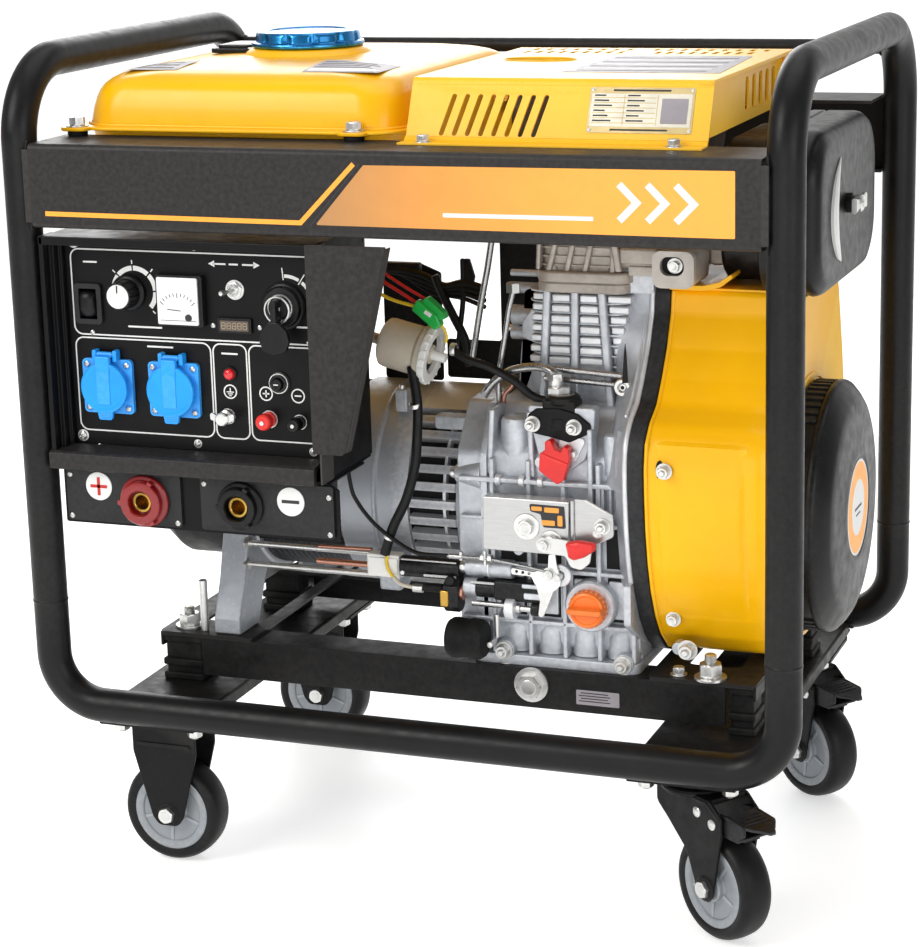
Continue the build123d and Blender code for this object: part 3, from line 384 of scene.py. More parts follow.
def t_sheet(axis, outline, holes, a0, a1):
    """A flat plate with holes through it."""
    f = MAPS[axis] if isinstance(axis, str) else axis
    t = bmesh.new()
    edges = []
    for loop in [outline] + list(holes):
        vs = [t.verts.new(f(a, b, a0)) for a, b in loop]
        edges += [t.edges.new((vs[i], vs[(i + 1) % len(vs)])) for i in range(len(vs))]
    bmesh.ops.triangle_fill(t, use_beauty=True, use_dissolve=False, edges=edges)
    g = bmesh.ops.extrude_face_region(t, geom=t.faces[:])
    d = f(0, 0, a1) - f(0, 0, a0)
    bmesh.ops.translate(t, vec=d, verts=[v for v in g["geom"] if isinstance(v, bmesh.types.BMVert)])
    bmesh.ops.recalc_face_normals(t, faces=t.faces)
    return t


def t_rev(d, c, prof, n=40, closed=False, a0=0.0, arc=2 * pi):
    """Profile of (radius, height) turned about direction d through c."""
    u, v, w = basis(dirv(d))
    c = Vector(c)
    t = bmesh.new()
    full = abs(arc - 2 * pi) < 1e-6
    m = n if full else n + 1
    rings = []
    for r, h in prof:
        if r < 1e-6:
            rings.append([t.verts.new(c + w * h)])
        else:
            rings.append([t.verts.new(c + w * h + (u * cos(a0 + arc * i / n) + v * sin(a0 + arc * i / n)) * r) for i in range(m)])
    seq = list(zip(rings[:-1], rings[1:]))
    if closed:
        seq.append((rings[-1], rings[0]))
    for A, B in seq:
        for i in range(n):
            j = (i + 1) % m if full else i + 1
            if len(A) == 1 and len(B) == 1:
                continue
            if len(A) == 1:
                t.faces.new((A[0], B[j], B[i]))
            elif len(B) == 1:
                t.faces.new((A[i], A[j], B[0]))
            else:
                t.faces.new((A[i], A[j], B[j], B[i]))
    if not full:
        for k in (0, -1):
            loop = [ring[0] if len(ring) == 1 else ring[k] for ring in rings]
            if len(loop) > 2:
                t.faces.new(loop)
    bmesh.ops.recalc_face_normals(t, faces=t.faces)
    return t


def t_cyl(d, c, r, h, ch=0.5, n=32):
    """Solid cylinder from c along d with chamfered ends."""
    ch = min(ch, 0.45 * abs(h), 0.45 * r)
    return t_rev(d, c, [(0, 0), (r - ch, 0), (r - ch * 0.3, ch * 0.3), (r, ch), (r, h - ch), (r - ch * 0.3, h - ch * 0.3), (r - ch, h), (0, h)], n)


def t_ring(d, c, r0, r1, h, ch=0.5, n=36):
    ch = min(ch, 0.3 * abs(h), 0.3 * (r1 - r0))
    return t_rev(d, c, [(r0 + ch, 0), (r1 - ch, 0), (r1, ch), (r1, h - ch), (r1 - ch, h), (r0 + ch, h), (r0, h - ch), (r0, ch)], n, closed=True)


def t_tube(path, r, n=12, closed=False, caps=True, round_end=0.0):
    """Round section swept along a line; r may be a list, one radius per point."""
    P = [Vector(p) for p in path]
    m = len(P)
    rs = list(r) if isinstance(r, (list, tuple)) else [r] * m
    if round_end > 0 and not closed:
        d0 = (P[0] - P[1]).normalized()
        d1 = (P[-1] - P[-2]).normalized()
        P = [P[0] + d0 * round_end] + P + [P[-1] + d1 * round_end]
        rs = [rs[0] * 0.55] + rs + [rs[-1] * 0.55]
        m += 2
    T = []
    for i in range(m):
        if closed:
            d = (P[(i + 1) % m] - P[i - 1])
        else:
            d = P[min(i + 1, m - 1)] - P[max(i - 1, 0)]
        T.append(d.normalized())
    u, v, w = basis(T[0])
    t = bmesh.new()
    rings = []
    for i in range(m):
        if i:
            ax = T[i - 1].cross(T[i])
            if ax.length > 1e-9:
                ang = T[i - 1].angle(T[i])
                R = Matrix.Rotation(ang, 3, ax.normalized())
                u = R @ u
                v = R @ v
        rings.append([t.verts.new(P[i] + (u * cos(2 * pi * k / n) + v * sin(2 * pi * k / n)) * rs[i]) for k in range(n)])
    for i in range(m if closed else m - 1):
        A, B = rings[i], rings[(i + 1) % m]
        for k in range(n):
            j = (k + 1) % n
            t.faces.new((A[k], A[j], B[j], B[k]))
    if caps and not closed:
        t.faces.new(list(reversed(rings[0])))
        t.faces.new(rings[-1])
    bmesh.ops.recalc_face_normals(t, faces=t.faces)
    return t


def t_loft(loops, cap0=True, cap1=True, closed=False):
    """Skin over closed loops that have the same number of points."""
    t = bmesh.new()
    R = [[t.verts.new(Vector(p)) for p in lp] for lp in loops]
    m = len(R[0])
    pairs = list(zip(R[:-1], R[1:])) + ([(R[-1], R[0])] if closed else [])
    for A, B in pairs:
        for i in range(m):
            j = (i + 1) % m
            t.faces.new((A[i], A[j], B[j], B[i]))
    if not closed:
        if cap0:
            t.faces.new(list(reversed(R[0])))
        if cap1:
            t.faces.new(R[-1])
    bmesh.ops.recalc_face_normals(t, faces=t.faces)
    return t


def t_hex(d, c, af, h, rot=0.0, top=0.86):
    u, v, w = basis(dirv(d))
    c = Vector(c)
    R = af / 2 / cos(pi / 6)

    def ring(rad, hh, soft):
        out = []
        for i in range(24):
            a = rot + 2 * pi * i / 24
            k = (a - rot) % (pi / 3)
            hexr = (af / 2) / cos(k - pi / 6)
            rr = min(hexr, rad) if soft else hexr
            out.append(c + w * hh + (u * cos(a) + v * sin(a)) * rr)
        return out
    ch = 0.12 * R
    return t_loft([ring(R, 0, False), ring(R, h - ch * 1.2, False), ring(R * 0.955, h - ch * 0.5, True), ring(R * top, h, True)])


def t_cross_head(d, c, r, h, rot=0.3):
    """Domed screw head with a cross recess."""
    u, v, w = basis(dirv(d))
    c = Vector(c)
    t = bmesh.new()
    nr, na = 9, 40
    rings = [[t.verts.new(c + w * (h - 0.9))]]
    for i in range(1, nr + 1):
        s = i / nr
        hh = h * sqrt(max(0.0, 1 - (s * 0.92) ** 2)) if i < nr else 0.0
        ring = []
        for k in range(na):
            a = 2 * pi * k / na
            x, y = s * r * cos(a), s * r * sin(a)
            if (abs(x) < 0.15 * r and abs(y) < 0.62 * r) or (abs(y) < 0.15 * r and abs(x) < 0.62 * r):
                z = hh - 0.28 * h
            else:
                z = hh
            xr, yr = x * cos(rot) - y * sin(rot), x * sin(rot) + y * cos(rot)
            ring.append(t.verts.new(c + w * z + u * xr + v * yr))
        rings.append(ring)
    for k in range(na):
        t.faces.new((rings[0][0], rings[1][k], rings[1][(k + 1) % na]))
    for A, B in zip(rings[1:-1], rings[2:]):
        for k in range(na):
            j = (k + 1) % na
            t.faces.new((A[k], B[k], B[j], A[j]))
    t.faces.new(list(reversed(rings[-1])))
    bmesh.ops.recalc_face_normals(t, faces=t.faces)
    return t


class Piece:
    def __init__(s, name, body="chassis", replaces=(), slot=None, angle=34, wn=True):
        s.name, s.body, s.rep, s.slot_name, s.angle, s.wn = name, body, replaces, slot, angle, wn
        s.bm = bmesh.new()
        s.mats, s.i = [], 0

    def m(s, name):
        if name not in s.mats:
            s.mats.append(name)
        s.i = s.mats.index(name)
        return s

    def add(s, t, M=None):
        if M is not None:
            bmesh.ops.transform(t, matrix=M, verts=t.verts)
            if M.determinant() < 0:
                bmesh.ops.recalc_face_normals(t, faces=t.faces)
        for f in t.faces:
            f.material_index = s.i
            f.smooth = True
        me = bpy.data.meshes.new("tmp")
        t.to_mesh(me)
        t.free()
        s.bm.from_mesh(me)
        bpy.data.meshes.remove(me)
        return s

    # short forms
    def box(s, *a, **k):
        return s.add(t_box(*a, **k))

    def prism(s, *a, **k):
        return s.add(t_prism(*a, **k))

    def cyl(s, *a, **k):
        return s.add(t_cyl(*a, **k))

    def ring(s, *a, **k):
        return s.add(t_ring(*a, **k))

    def rev(s, *a, **k):
        return s.add(t_rev(*a, **k))

    def tube(s, *a, **k):
        return s.add(t_tube(*a, **k))

    def sheet(s, *a, **k):
        return s.add(t_sheet(*a, **k))

    def loft(s, *a, **k):
        return s.add(t_loft(*a, **k))

    def screw(s, d, c, r=4.0, h=2.4, rot=0.4, mat_="zinc"):
        s.m(mat_)
        return s.add(t_cross_head(d, c, r, h, rot))

    def bolt(s, d, c, af=13, h=6.5, washer=1.4, rot=0.2, stud=0.0, mat_="zinc", spring=True, thread=None):
        """Hexagon bolt head (or nut with a stud) on washers."""
        s.m(mat_)
        w = dirv(d)
        c = Vector(c)
        q = 0.0
        if washer:
            s.add(t_cyl(w, c, af * 0.78, washer, 0.3, 28))
            q = washer
            if spring:
                s.add(t_ring(w, c + w * q, af * 0.28, af * 0.55, 1.3, 0.3, 26))
                q += 1.2
        s.add(t_hex(w, c + w * q, af, h, rot))
        if stud > 0:
            rr = thread or af * 0.29
            prof = [(0, 0)]
            k = 0.0
            prof.append((rr, 0))
            while k < stud - 1.0:
                prof += [(rr, k + 0.15), (rr * 0.88, k + 0.5), (rr, k + 0.85)]
                k += 1.0
            prof += [(rr * 0.75, stud), (0, stud)]
            s.add(t_rev(w, c + w * (q + h - 0.3), prof, 20))
        else:
            s.add(t_rev(w, c + w * (q + h - 0.05), [(0, 0.0), (af * 0.36, 0.0), (af * 0.33, 0.35), (af * 0.2, 0.1), (0, 0.05)], 20))
        return s

    def done(s):
        bm = s.bm
        bmesh.ops.scale(bm, vec=(K, K, K), verts=bm.verts)
        me = bpy.data.meshes.new(s.name)
        bm.to_mesh(me)
        bm.free()
        for name in s.mats:
            me.materials.append(MATS[name])
        me.set_sharp_from_angle(angle=radians(s.angle))
        o = bpy.data.objects.new(s.name, me)
        S.collection.objects.link(o)
        if s.wn:
            w = o.modifiers.new("wn", "WEIGHTED_NORMAL")
            w.keep_sharp = True
            w.weight = 60
        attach(o, s.body)
        if s.rep:
            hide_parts(*s.rep)
        return o


# =====================================================================================
# camera, lights, floor
# =====================================================================================
cam_data = bpy.data.cameras.new("view_camera")
cam = bpy.data.objects.new("view_camera", cam_data)
S.collection.objects.link(cam)
S.camera = cam
yaw, pitch, roll = radians(20.864), radians(14.387), radians(-1.552)
fwd = Vector((-sin(yaw) * cos(pitch), cos(yaw) * cos(pitch), -sin(pitch)))
rgt = Vector((cos(yaw), sin(yaw), 0))
up = rgt.cross(fwd)
r2 = rgt * cos(roll) + up * sin(roll)
u2 = up * cos(roll) - rgt * sin(roll)
cam.matrix_world = Matrix(((r2.x, u2.x, -fwd.x, 0.82235), (r2.y, u2.y, -fwd.y, -2.22250), (r2.z, u2.z, -fwd.z, 0.96152), (0, 0, 0, 1)))
cam_data.lens = 96.78
cam_data.sensor_width = 36
cam_data.clip_start, cam_data.clip_end = 0.05, 60


def area(name, loc, target, size, power, col=(1, 1, 1), size_y=None):
    d = bpy.data.lights.new(name, "AREA")
    d.shape = "RECTANGLE"
    d.size = size
    d.size_y = size_y or size
    d.energy = power
    d.color = col
    o = bpy.data.objects.new(name, d)
    S.collection.objects.link(o)
    o.location = loc
    o.rotation_euler = (Vector(target) - Vector(loc)).to_track_quat("-Z", "Y").to_euler()
    return o


area("key", (-1.6, -2.4, 2.3), (0, 0, 0.35), 1.6, 58, (1.0, 0.985, 0.96), 1.6)
area("fill", (2.6, -2.0, 1.2), (0, 0, 0.35), 1.8, 24, (0.96, 0.98, 1.0), 1.6)
area("top", (0.2, 0.3, 2.8), (0, 0, 0.3), 2.2, 20, (1, 1, 1), 2.2)
area("rim", (-1.2, 2.4, 1.6), (0, 0, 0.5), 1.6, 24, (1, 1, 1), 1.4)
area("front_low", (0.2, -3.0, 0.7), (0, 0, 0.35), 2.4, 14, (1, 1, 1), 1.0)
world = bpy.data.worlds.new("studio")
S.world = world
world.use_nodes = True
wn_ = world.node_tree.nodes
wn_["Background"].inputs[0].default_value = (1.0, 1.0, 1.0, 1)
wn_["Background"].inputs[1].default_value = 0.40
S.view_settings.view_transform = "Standard"
S.view_settings.look = "None"

fl = bmesh.new()
gx = 24
rows = []
for j in range(gx + 1):
    y = -6 + 12 * j / gx
    row = []
    for i in range(gx + 1):
        x = -6 + 12 * i / gx
        z = 0.0
        if y > 3.0:
            z = (y - 3.0) ** 2 * 0.5
        row.append(fl.verts.new((x, y, z)))
    rows.append(row)
for j in range(gx):
    for i in range(gx):
        f = fl.faces.new((rows[j][i], rows[j][i + 1], rows[j + 1][i + 1], rows[j + 1][i]))
        f.smooth = True
flm = bpy.data.meshes.new("floor")
fl.to_mesh(flm)
fl.free()
flm.materials.append(MATS["floor"])
for nd in MATS["floor"].node_tree.nodes:
    if nd.bl_idname == "ShaderNodeBsdfPrincipled":
        nd.inputs["Emission Color"].default_value = (1, 1, 1, 1)
        nd.inputs["Emission Strength"].default_value = 0.5
floor_o = bpy.data.objects.new("floor", flm)
S.collection.objects.link(floor_o)

# carried-over CAD nodes get a procedural finish by their slot
BY_SLOT = {"black_tube": "tube_black", "black_steel": "steel_black", "dark_sheet": "sheet_dark", "yellow_paint": "yellow", "fan_yellow": "yellow_fan", "cast_alloy": "alloy",
           "cast_barrel": "cast_iron", "starter_black": "starter_black", "backplate": "backplate", "zinc": "zinc", "stainless": "stainless", "rotor_steel": "rotor_steel",
           "laminations": "laminations", "copper_rod": "copper_rod", "rubber": "rubber", "wheel": "tyre", "black_plastic": "plastic_black", "panel_black": "panel_black",
           "blue_plastic": "blue_plastic", "orange_plastic": "orange_plastic", "red_plastic": "red_plastic", "cream_plastic": "cream_plastic", "meter_plastic": "meter_face",
           "cap_blue": "cap_blue", "exhaust": "exhaust", "steel": "steel_pipe"}
for nm, o in NODES.items():
    for i, ms in enumerate(o.material_slots):
        key = (ms.material.name if ms.material else "").split(".")[0]
        o.data.materials[i] = MATS[BY_SLOT.get(key, "steel_black")]
    if not o.material_slots:
        o.data.materials.append(MATS["steel_black"])


# =====================================================================================
# frame of tubes
# =====================================================================================
XT, YT, ZR, ZT, RT = 349.0, 234.0, 168.0, 762.0, 16.0
for sx, nm in ((-1, "left"), (1, "right")):
    p = Piece("tube_%s_hoop" % nm, replaces=("frame_%s_hoop" % nm,), slot="black_tube").m("tube_black")
    x = sx * XT
    line = path3([(x, -YT, 268), (x, -YT, ZT), (x, YT, ZT), (x, YT, 268)], 70, 18)
    p.tube(line, RT, 40)
    # weld collars where the hoop meets the bottom loop and the fascia plates
    for y in (-YT, YT):
        p.rev("z", (x, y, 266.2), [(15.6, 0), (16.35, 0.9), (16.5, 1.8), (16.35, 2.7), (15.6, 3.6)], 40, closed=True)
    for sy in (-1, 1):
        for z in (626, 688):
            p.tube(cat([(x - sx * 13.0, sy * 244.2, z - 8), (x - sx * 12.6, sy * 244.8, z), (x - sx * 13.0, sy * 244.2, z + 8)], 5), 1.6, 8, round_end=1.2)
    p.done()
for sy, nm in ((-1, "front"), (1, "rear")):
    p = Piece("tube_%s_rail" % nm, replaces=("frame_%s_rail" % nm,), slot="black_tube").m("tube_black")
    y = sy * YT
    p.tube(path3([(-XT, y, 268), (-XT, y, ZR), (XT, y, ZR), (XT, y, 268)], 99.5, 20), RT, 40)
    p.done()

p = Piece("cross_members", replaces=("crossmembers",), slot="black_steel").m("steel_black")
for sx in (-1, 1):
    x0, x1 = sx * 258 - 50, sx * 258 + 50
    # folded hat section, notched round the rails
    prof = rp([(x0, 148), (x1, 148), (x1, 162), (x0, 162)], 3.0, 4)
    p.prism("y", prof, -218.6, 218.6, 0.3, 1)
    for sy in (-1, 1):
        a, b = sorted((sy * 218.6, sy * 232))
        p.prism("y", rp([(x0 + 1, 148), (x1 - 1, 148), (x1 - 1, 151.6), (x0 + 1, 151.6)], 1.2, 3), a, b, 0.4, 2)
        for xx in (x0 + 8, sx * 258, x1 - 8):
            p.tube(cat([(xx - 12, sy * 219.4, 157.4), (xx, sy * 219.0, 158.0), (xx + 12, sy * 219.4, 157.4)], 5), 1.7, 8, round_end=1.2)
p.tube([(-333.2, 213, 742), (333.2, 213, 742)], 7, 24)
for sx in (-1, 1):
    p.rev("x", (sx * 333.6 - 1.5, 213, 742), [(6.6, 0), (8.4, 1.2), (8.6, 1.8), (6.6, 3)], 20, closed=True)
p.done()

# =====================================================================================
# fascia strips
# =====================================================================================
FZ0, FZ1 = 619.5, 694.6
p = Piece("fascia_channels", replaces=("fascia_strips",), slot="dark_sheet").m("sheet_dark")
for sy in (-1, 1):
    def yy(d, sy=sy):
        return sy * (250 - d)
    outer = rl([(yy(22), FZ0), (yy(0), FZ0), (yy(0), FZ1), (yy(73), FZ1)], 5.0, 5)
    inner = rl([(yy(73), FZ1 - 3), (yy(3), FZ1 - 3), (yy(3), FZ0 + 3), (yy(22), FZ0 + 3)], 2.4, 4)
    p.prism("x", outer + inner, -332.4, 332.4, 0.5, 2)
    for sx in (-1, 1):
        a, b = sorted((sx * 332.0, sx * 338.5))
        p.prism("x", [(yy(0), FZ0 + 5), (yy(0), FZ1 - 5), (yy(3), FZ1 - 5), (yy(3), FZ0 + 5)], a, b, 0.5, 2)
p.done()

# coloured bands on the front strip
p = Piece("fascia_bands", slot="orange_plastic")
YD = -250.16


def ribbon(line, w):
    """Mitred flat ribbon along a 2-D line."""
    L = [Vector((a, b, 0)) for a, b in line]
    left, right = [], []
    for i, q in enumerate(L):
        d0 = (L[i] - L[i - 1]).normalized() if i else (L[1] - L[0]).normalized()
        d1 = (L[i + 1] - L[i]).normalized() if i < len(L) - 1 else d0
        n0, n1 = Vector((-d0.y, d0.x, 0)), Vector((-d1.y, d1.x, 0))
        nn = (n0 + n1).normalized()
        k = w / 2 / max(0.3, nn.dot(n0))
        left.append((q.x + nn.x * k, q.y + nn.y * k))
        right.append((q.x - nn.x * k, q.y - nn.y * k))
    return left + right[::-1]


p.m("ink_orange").prism("y", ribbon([(-318, 633.0), (-70.5, 632.0), (-19.5, 683.4)], 4.2), YD, -249.7, 0.04, 1)
p.m("decal_orange").prism("y", rp([(-56.5, 630.6), (-10.5, 682.6), (311, 684.8), (311, 630.0)], 1.0, 3), YD, -249.7, 0.04, 1)
# fine dark border and three plain chevrons in place of any lettering
p.m("ink_dark").prism("y", ribbon([(-61.5, 629.6), (-14.5, 683.4)], 1.0), YD, -249.72, 0.03, 1)
for i in range(3):
    x = 214 + i * 24
    p.m("ink_white").prism("y", ribbon([(x, 642), (x + 15, 657), (x, 672)], 6.0), YD - 0.06, -249.8, 0.04, 1)
p.m("ink_white").prism("y", rp([(60, 640.5), (192, 641.2), (192, 644.8), (60, 644.1)], 1.0, 3), YD - 0.06, -249.8, 0.04, 1)
p.done()

# =====================================================================================
# fuel tank
# =====================================================================================
TX0, TX1, TY = -322.0, -8.0, 176.0
CX0, CW, CH = (TX0 + TX1) / 2, TX1 - TX0, TY * 2


def tank_loop(inset, z, r, front=0.0, n=8, wave=0.0):
    pts = rrect(CX0, 0, CW - 2 * inset, CH - 2 * inset, r, n)
    return [(a, b, z) for a, b in pts]


p = Piece("tank_body", replaces=("fuel_tank",), slot="yellow_paint", angle=50).m("yellow")
under = [tank_loop(22, 632, 34), tank_loop(14, 634, 38), tank_loop(9, 639, 40), tank_loop(4, 668, 38), tank_loop(1.5, 699, 36)]
p.loft(under, True, True)
up_ = [tank_loop(0.5, 701, 36), tank_loop(0.8, 706, 36), tank_loop(2.4, 716, 36), tank_loop(4.8, 726, 36.5), tank_loop(7.2, 732.5, 37), tank_loop(10.5, 737.8, 38), tank_loop(15, 742.0, 40),
       tank_loop(20.5, 745.2, 42), tank_loop(28, 747.8, 46), tank_loop(40, 750.0, 52), tank_loop(60, 752.0, 60), tank_loop(85, 753.6, 66), tank_loop(115, 754.7, 40), tank_loop(140, 755.1, 16)]
p.loft(up_, True, True)
# seam flange with a rolled lip and lugs at the bolts
lug = []
fl2 = rrect(CX0 + 1, 0, CW + 12, CH + 30, 40, 8)
p.prism("z", fl2, 699.6, 702.6, 1.1, 3)
for x, y in ((-316, -186), (-45, -186), (-316, 186), (-45, 186)):
    sx = -1 if x < -165 else 1
    sy = 1 if y > 0 else -1
    p.prism("z", rp([(x - 18, y - sy * 14), (x - 12, y + sy * 11.5), (x + 12, y + sy * 11.5), (x + 18, y - sy * 14)], 7, 5), 699.4, 702.8, 1.1, 3)
# raised ring round the seam
p.tube([(a, b, 703.2) for a, b, _ in tank_loop(-1.0, 0, 37, n=8)], 1.5, 8, closed=True)
FX, FY = -165.0, -6.0
p.rev("z", (FX, FY, 751), [(0, 0), (62, 0), (61.5, 1.5), (58, 5), (54.5, 7.6), (52.5, 8.6), (50, 9.0), (34.6, 9.0), (34.2, 8.4), (34.2, 0.5), (0, 0.5)][:9] + [(34.2, 0.2)], 72, closed=True)
p.done()

# plain labels on the tank, printed with bars only
p = Piece("tank_labels", slot="meter_plastic")


def tank_z(x, y):
    """Height of the tank's top skin."""
    d = min(x - TX0, TX1 - x, y + TY, TY - y)
    ins = [(u[0], u[1]) for u in ((15, 742.0), (20.5, 745.2), (28, 747.8), (40, 750.0), (60, 752.0), (85, 753.6), (115, 754.7), (160, 755.1))]
    if d <= ins[0][0]:
        return ins[0][1]
    for (a, za), (b, zb) in zip(ins[:-1], ins[1:]):
        if d <= b:
            return za + (zb - za) * (d - a) / (b - a)
    return ins[-1][1]


def drape(x0, x1, y0, y1, off, nx=10, ny=10, thick=0.25, skew=0.0):
    t = bmesh.new()
    top, bot = [], []
    for j in range(ny + 1):
        for i in range(nx + 1):
            y = y0 + (y1 - y0) * j / ny
            x = x0 + (x1 - x0) * i / nx + skew * (y - y0)
            z = tank_z(x, y) + off
            top.append(t.verts.new((x, y, z)))
            bot.append(t.verts.new((x, y, z - thick)))
    w = nx + 1
    for j in range(ny):
        for i in range(nx):
            a = j * w + i
            t.faces.new((top[a], top[a + 1], top[a + w + 1], top[a + w]))
            t.faces.new((bot[a], bot[a + w], bot[a + w + 1], bot[a + 1]))
    ring = [i for i in range(w)] + [j * w + nx for j in range(1, ny + 1)] + [ny * w + i for i in range(nx - 1, -1, -1)] + [j * w for j in range(ny - 1, 0, -1)]
    for k in range(len(ring)):
        a, b = ring[k], ring[(k + 1) % len(ring)]
        t.faces.new((top[a], bot[a], bot[b], top[b]))
    bmesh.ops.recalc_face_normals(t, faces=t.faces)
    return t


p.m("sticker_grey").add(drape(-112, -40, -142, -84, 0.35, 14, 14))
p.m("ink_white").add(drape(-109, -43, -139, -128, 0.5, 14, 4))
for k in range(4):
    p.m("ink_dark").add(drape(-108, -52 - 6 * (k % 2), -124 + k * 9, -121 + k * 9, 0.55, 12, 2))
p.m("sticker_grey").add(drape(-292, -236, -140, -92, 0.35, 12, 12))
for k in range(3):
    p.m("ink_dark").add(drape(-286, -244, -134 + k * 12, -129 + k * 12, 0.5, 10, 2))
p.done()

# level gauge beside the filler
p = Piece("tank_gauge", slot="black_plastic").m("plastic_black")
gx_, gy_ = -238, 6
p.prism("z", rrect(gx_, gy_, 46, 58, 8, 5), 753.6, 758.0, 1.0, 3)
p.prism("z", rrect(gx_, gy_, 36, 46, 7, 5), 757.0, 761.0, 1.2, 3)
p.m("lcd_brown").prism("z", rrect(gx_, gy_, 22, 30, 5, 5), 760.6, 761.4, 0.3, 2)
for dx, dy in ((-18, -24), (18, -24), (-18, 24), (18, 24)):
    p.screw("z", (gx_ + dx, gy_ + dy, 757.6), 2.6, 1.5)
p.done()

# cap with scallops
p = Piece("filler_cap", "fuel_cap", ("fuel_cap",), "cap_blue", angle=40).m("cap_blue")


def scal(R, depth=1.0, n=12, per=16):
    out = []
    for i in range(n * per):
        a = 2 * pi * i / (n * per)
        ph = (a + pi / n) % (2 * pi / n) - pi / n
        q = 6.5 ** 2 - (53.5 * sin(ph)) ** 2
        r = R
        if q > 0:
            r = min(R, R - depth * (R - (53.5 * cos(ph) - sqrt(q))))
        out.append((r, a))
    return out


def cap_loop(R, z, depth):
    return [(FX + r * cos(a), FY + r * sin(a), z) for r, a in scal(R, depth)]


def ring_loop(R, z, n=192):
    return [(FX + R * cos(2 * pi * i / n), FY + R * sin(2 * pi * i / n), z) for i in range(n)]


p.loft([ring_loop(33.4, 749), ring_loop(33.4, 760.4), ring_loop(51.6, 760.4), ring_loop(52.6, 760.9), ring_loop(53, 761.8), ring_loop(53, 763.6), ring_loop(52.4, 764.6), ring_loop(50.6, 765.2), cap_loop(49.8, 765.8, 0.6),
        cap_loop(49.4, 767, 1), cap_loop(48.7, 771, 1), cap_loop(48.2, 772.8, 1), cap_loop(47.2, 774.0, 0.9), cap_loop(45.8, 774.8, 0.75), ring_loop(41, 775.0), ring_loop(39.5, 774.6), ring_loop(38.5, 773.6),
        ring_loop(24, 773.8), ring_loop(22.5, 774.3), ring_loop(10, 774.6), ring_loop(1, 774.7)])
p.m("plastic_black").ring("z", (FX, FY, 759.95), 35.5, 49.5, 0.45, 0.1, 64)
p.done()

# =====================================================================================
# silencer guard
# =====================================================================================
GX0, GX1 = 4.0, 272.0
p = Piece("guard_cover", replaces=("muffler_guard",), slot="fan_yellow", angle=30).m("yellow_fan")
A, B = Vector((0, -189.0, 696.4)), Vector((0, -166.5, 746.0))   # slant panel line in (y, z)
sl = (B - A).length
dn = (B - A).normalized()
nrm = Vector((0, -dn.z, dn.y))


def slant(a, b, h):
    q = A + dn * b + nrm * h
    return Vector((a, q.y, q.z))


def capsule(x, s0, s1, w, lean, n=6):
    """Slot outline from s0 to s1, leaning by lean in x."""
    out = []
    d = Vector((lean, s1 - s0, 0)).normalized()
    e = Vector((-d.y, d.x, 0))
    for base, sg in ((Vector((x, s0, 0)), -1), (Vector((x + lean, s1, 0)), 1)):
        for i in range(n + 1):
            a = pi * i / n
            v = base + (e * (-cos(a)) * sg * -1 + d * sin(a) * sg) * (w / 2)
            out.append((v.x, v.y))
    return out


slots = [capsule(GX0 + 32 + i * 11.9, 7, 40, 4.6, 8.0) for i in range(8)]
p.sheet(slant, [(GX0, 4.0), (GX1, 4.0), (GX1, sl - 4.0), (GX0, sl - 4.0)], slots, 0.0, -2.0)
# bend to the top, bend to the foot, foot lip
prof_out = rl([(A + dn * (sl - 4.0)).yz[:], (-166.5 + 0.0, 748.0), (-156, 748.0)], 5.0, 6)


def yz(v):
    return (v.y, v.z)


q0 = A + dn * (sl - 4.0)
topy = -158.0
corner = A + dn * (sl + (748.0 - B.z) / dn.z)
o_out = rl([yz(q0), yz(corner), (topy, 748.0)], 6.0, 6)
o_in = rl([(topy, 746.0), (corner.y + 1.2, 746.0), yz(q0 - nrm * 2.0)], 4.0, 6)
p.prism("x", o_out + o_in, GX0, GX1, 0.35, 1)
q1 = A + dn * 4.0
c2 = A - dn * ((A.z - 694.6) / dn.z)
o_out = rl([yz(q1), (c2.y, c2.z + 2.0), (-200, 696.6), (-207.5, 696.6)], [0, 4, 0, 0], 5)
o_in = rl([(-207.5, 694.6), (-200, 694.6), (c2.y + 1.4, c2.z), yz(q1 - nrm * 2.0)], [0, 0, 3, 0], 5)
p.prism("x", o_out + o_in, GX0 - 1, GX1, 0.35, 1)
# top sheet with its rows of slots and the oval hole


def hslot(x0, x1, y, w, n=5, lean=0.0):
    out = []
    for sg, xx in ((1, x1 - w / 2), (-1, x0 + w / 2)):
        for i in range(n + 1):
            a = -pi / 2 + pi * i / n
            out.append((xx + sg * cos(a) * w / 2 + (lean if sg > 0 else 0), y + sg * sin(a) * w / 2))
    return out


def vslot(x, y0, y1, w, n=5):
    return [(b, a) for a, b in hslot(y0, y1, x, w, n)][::-1]


holes = []
for i in range(9):
    holes.append(vslot(GX0 + 22 + i * 11.5, 62, 84, 5))
for i in range(9):
    holes.append(vslot(GX0 + 150 + i * 11.0, 62, 84, 5))
for i in range(18):
    if abs((GX0 + 22 + i * 13.2) - 131) > 12:
        holes.append(vslot(GX0 + 22 + i * 13.2, 92, 110, 5))
holes.append([(64 + 33 * cos(2 * pi * i / 40), -2 + 17 * sin(2 * pi * i / 40)) for i in range(40)])
p.sheet("z", [(GX0, topy), (GX1, topy), (GX1, 116), (GX0, 116)], holes, 746.0, 748.0)
t = bmesh.new()
rim = [Vector((64 + 33.6 * cos(2 * pi * i / 48), -2 + 17.6 * sin(2 * pi * i / 48), 748.1)) for i in range(48)]
t.free()
p.tube(rim, 1.0, 8, closed=True)
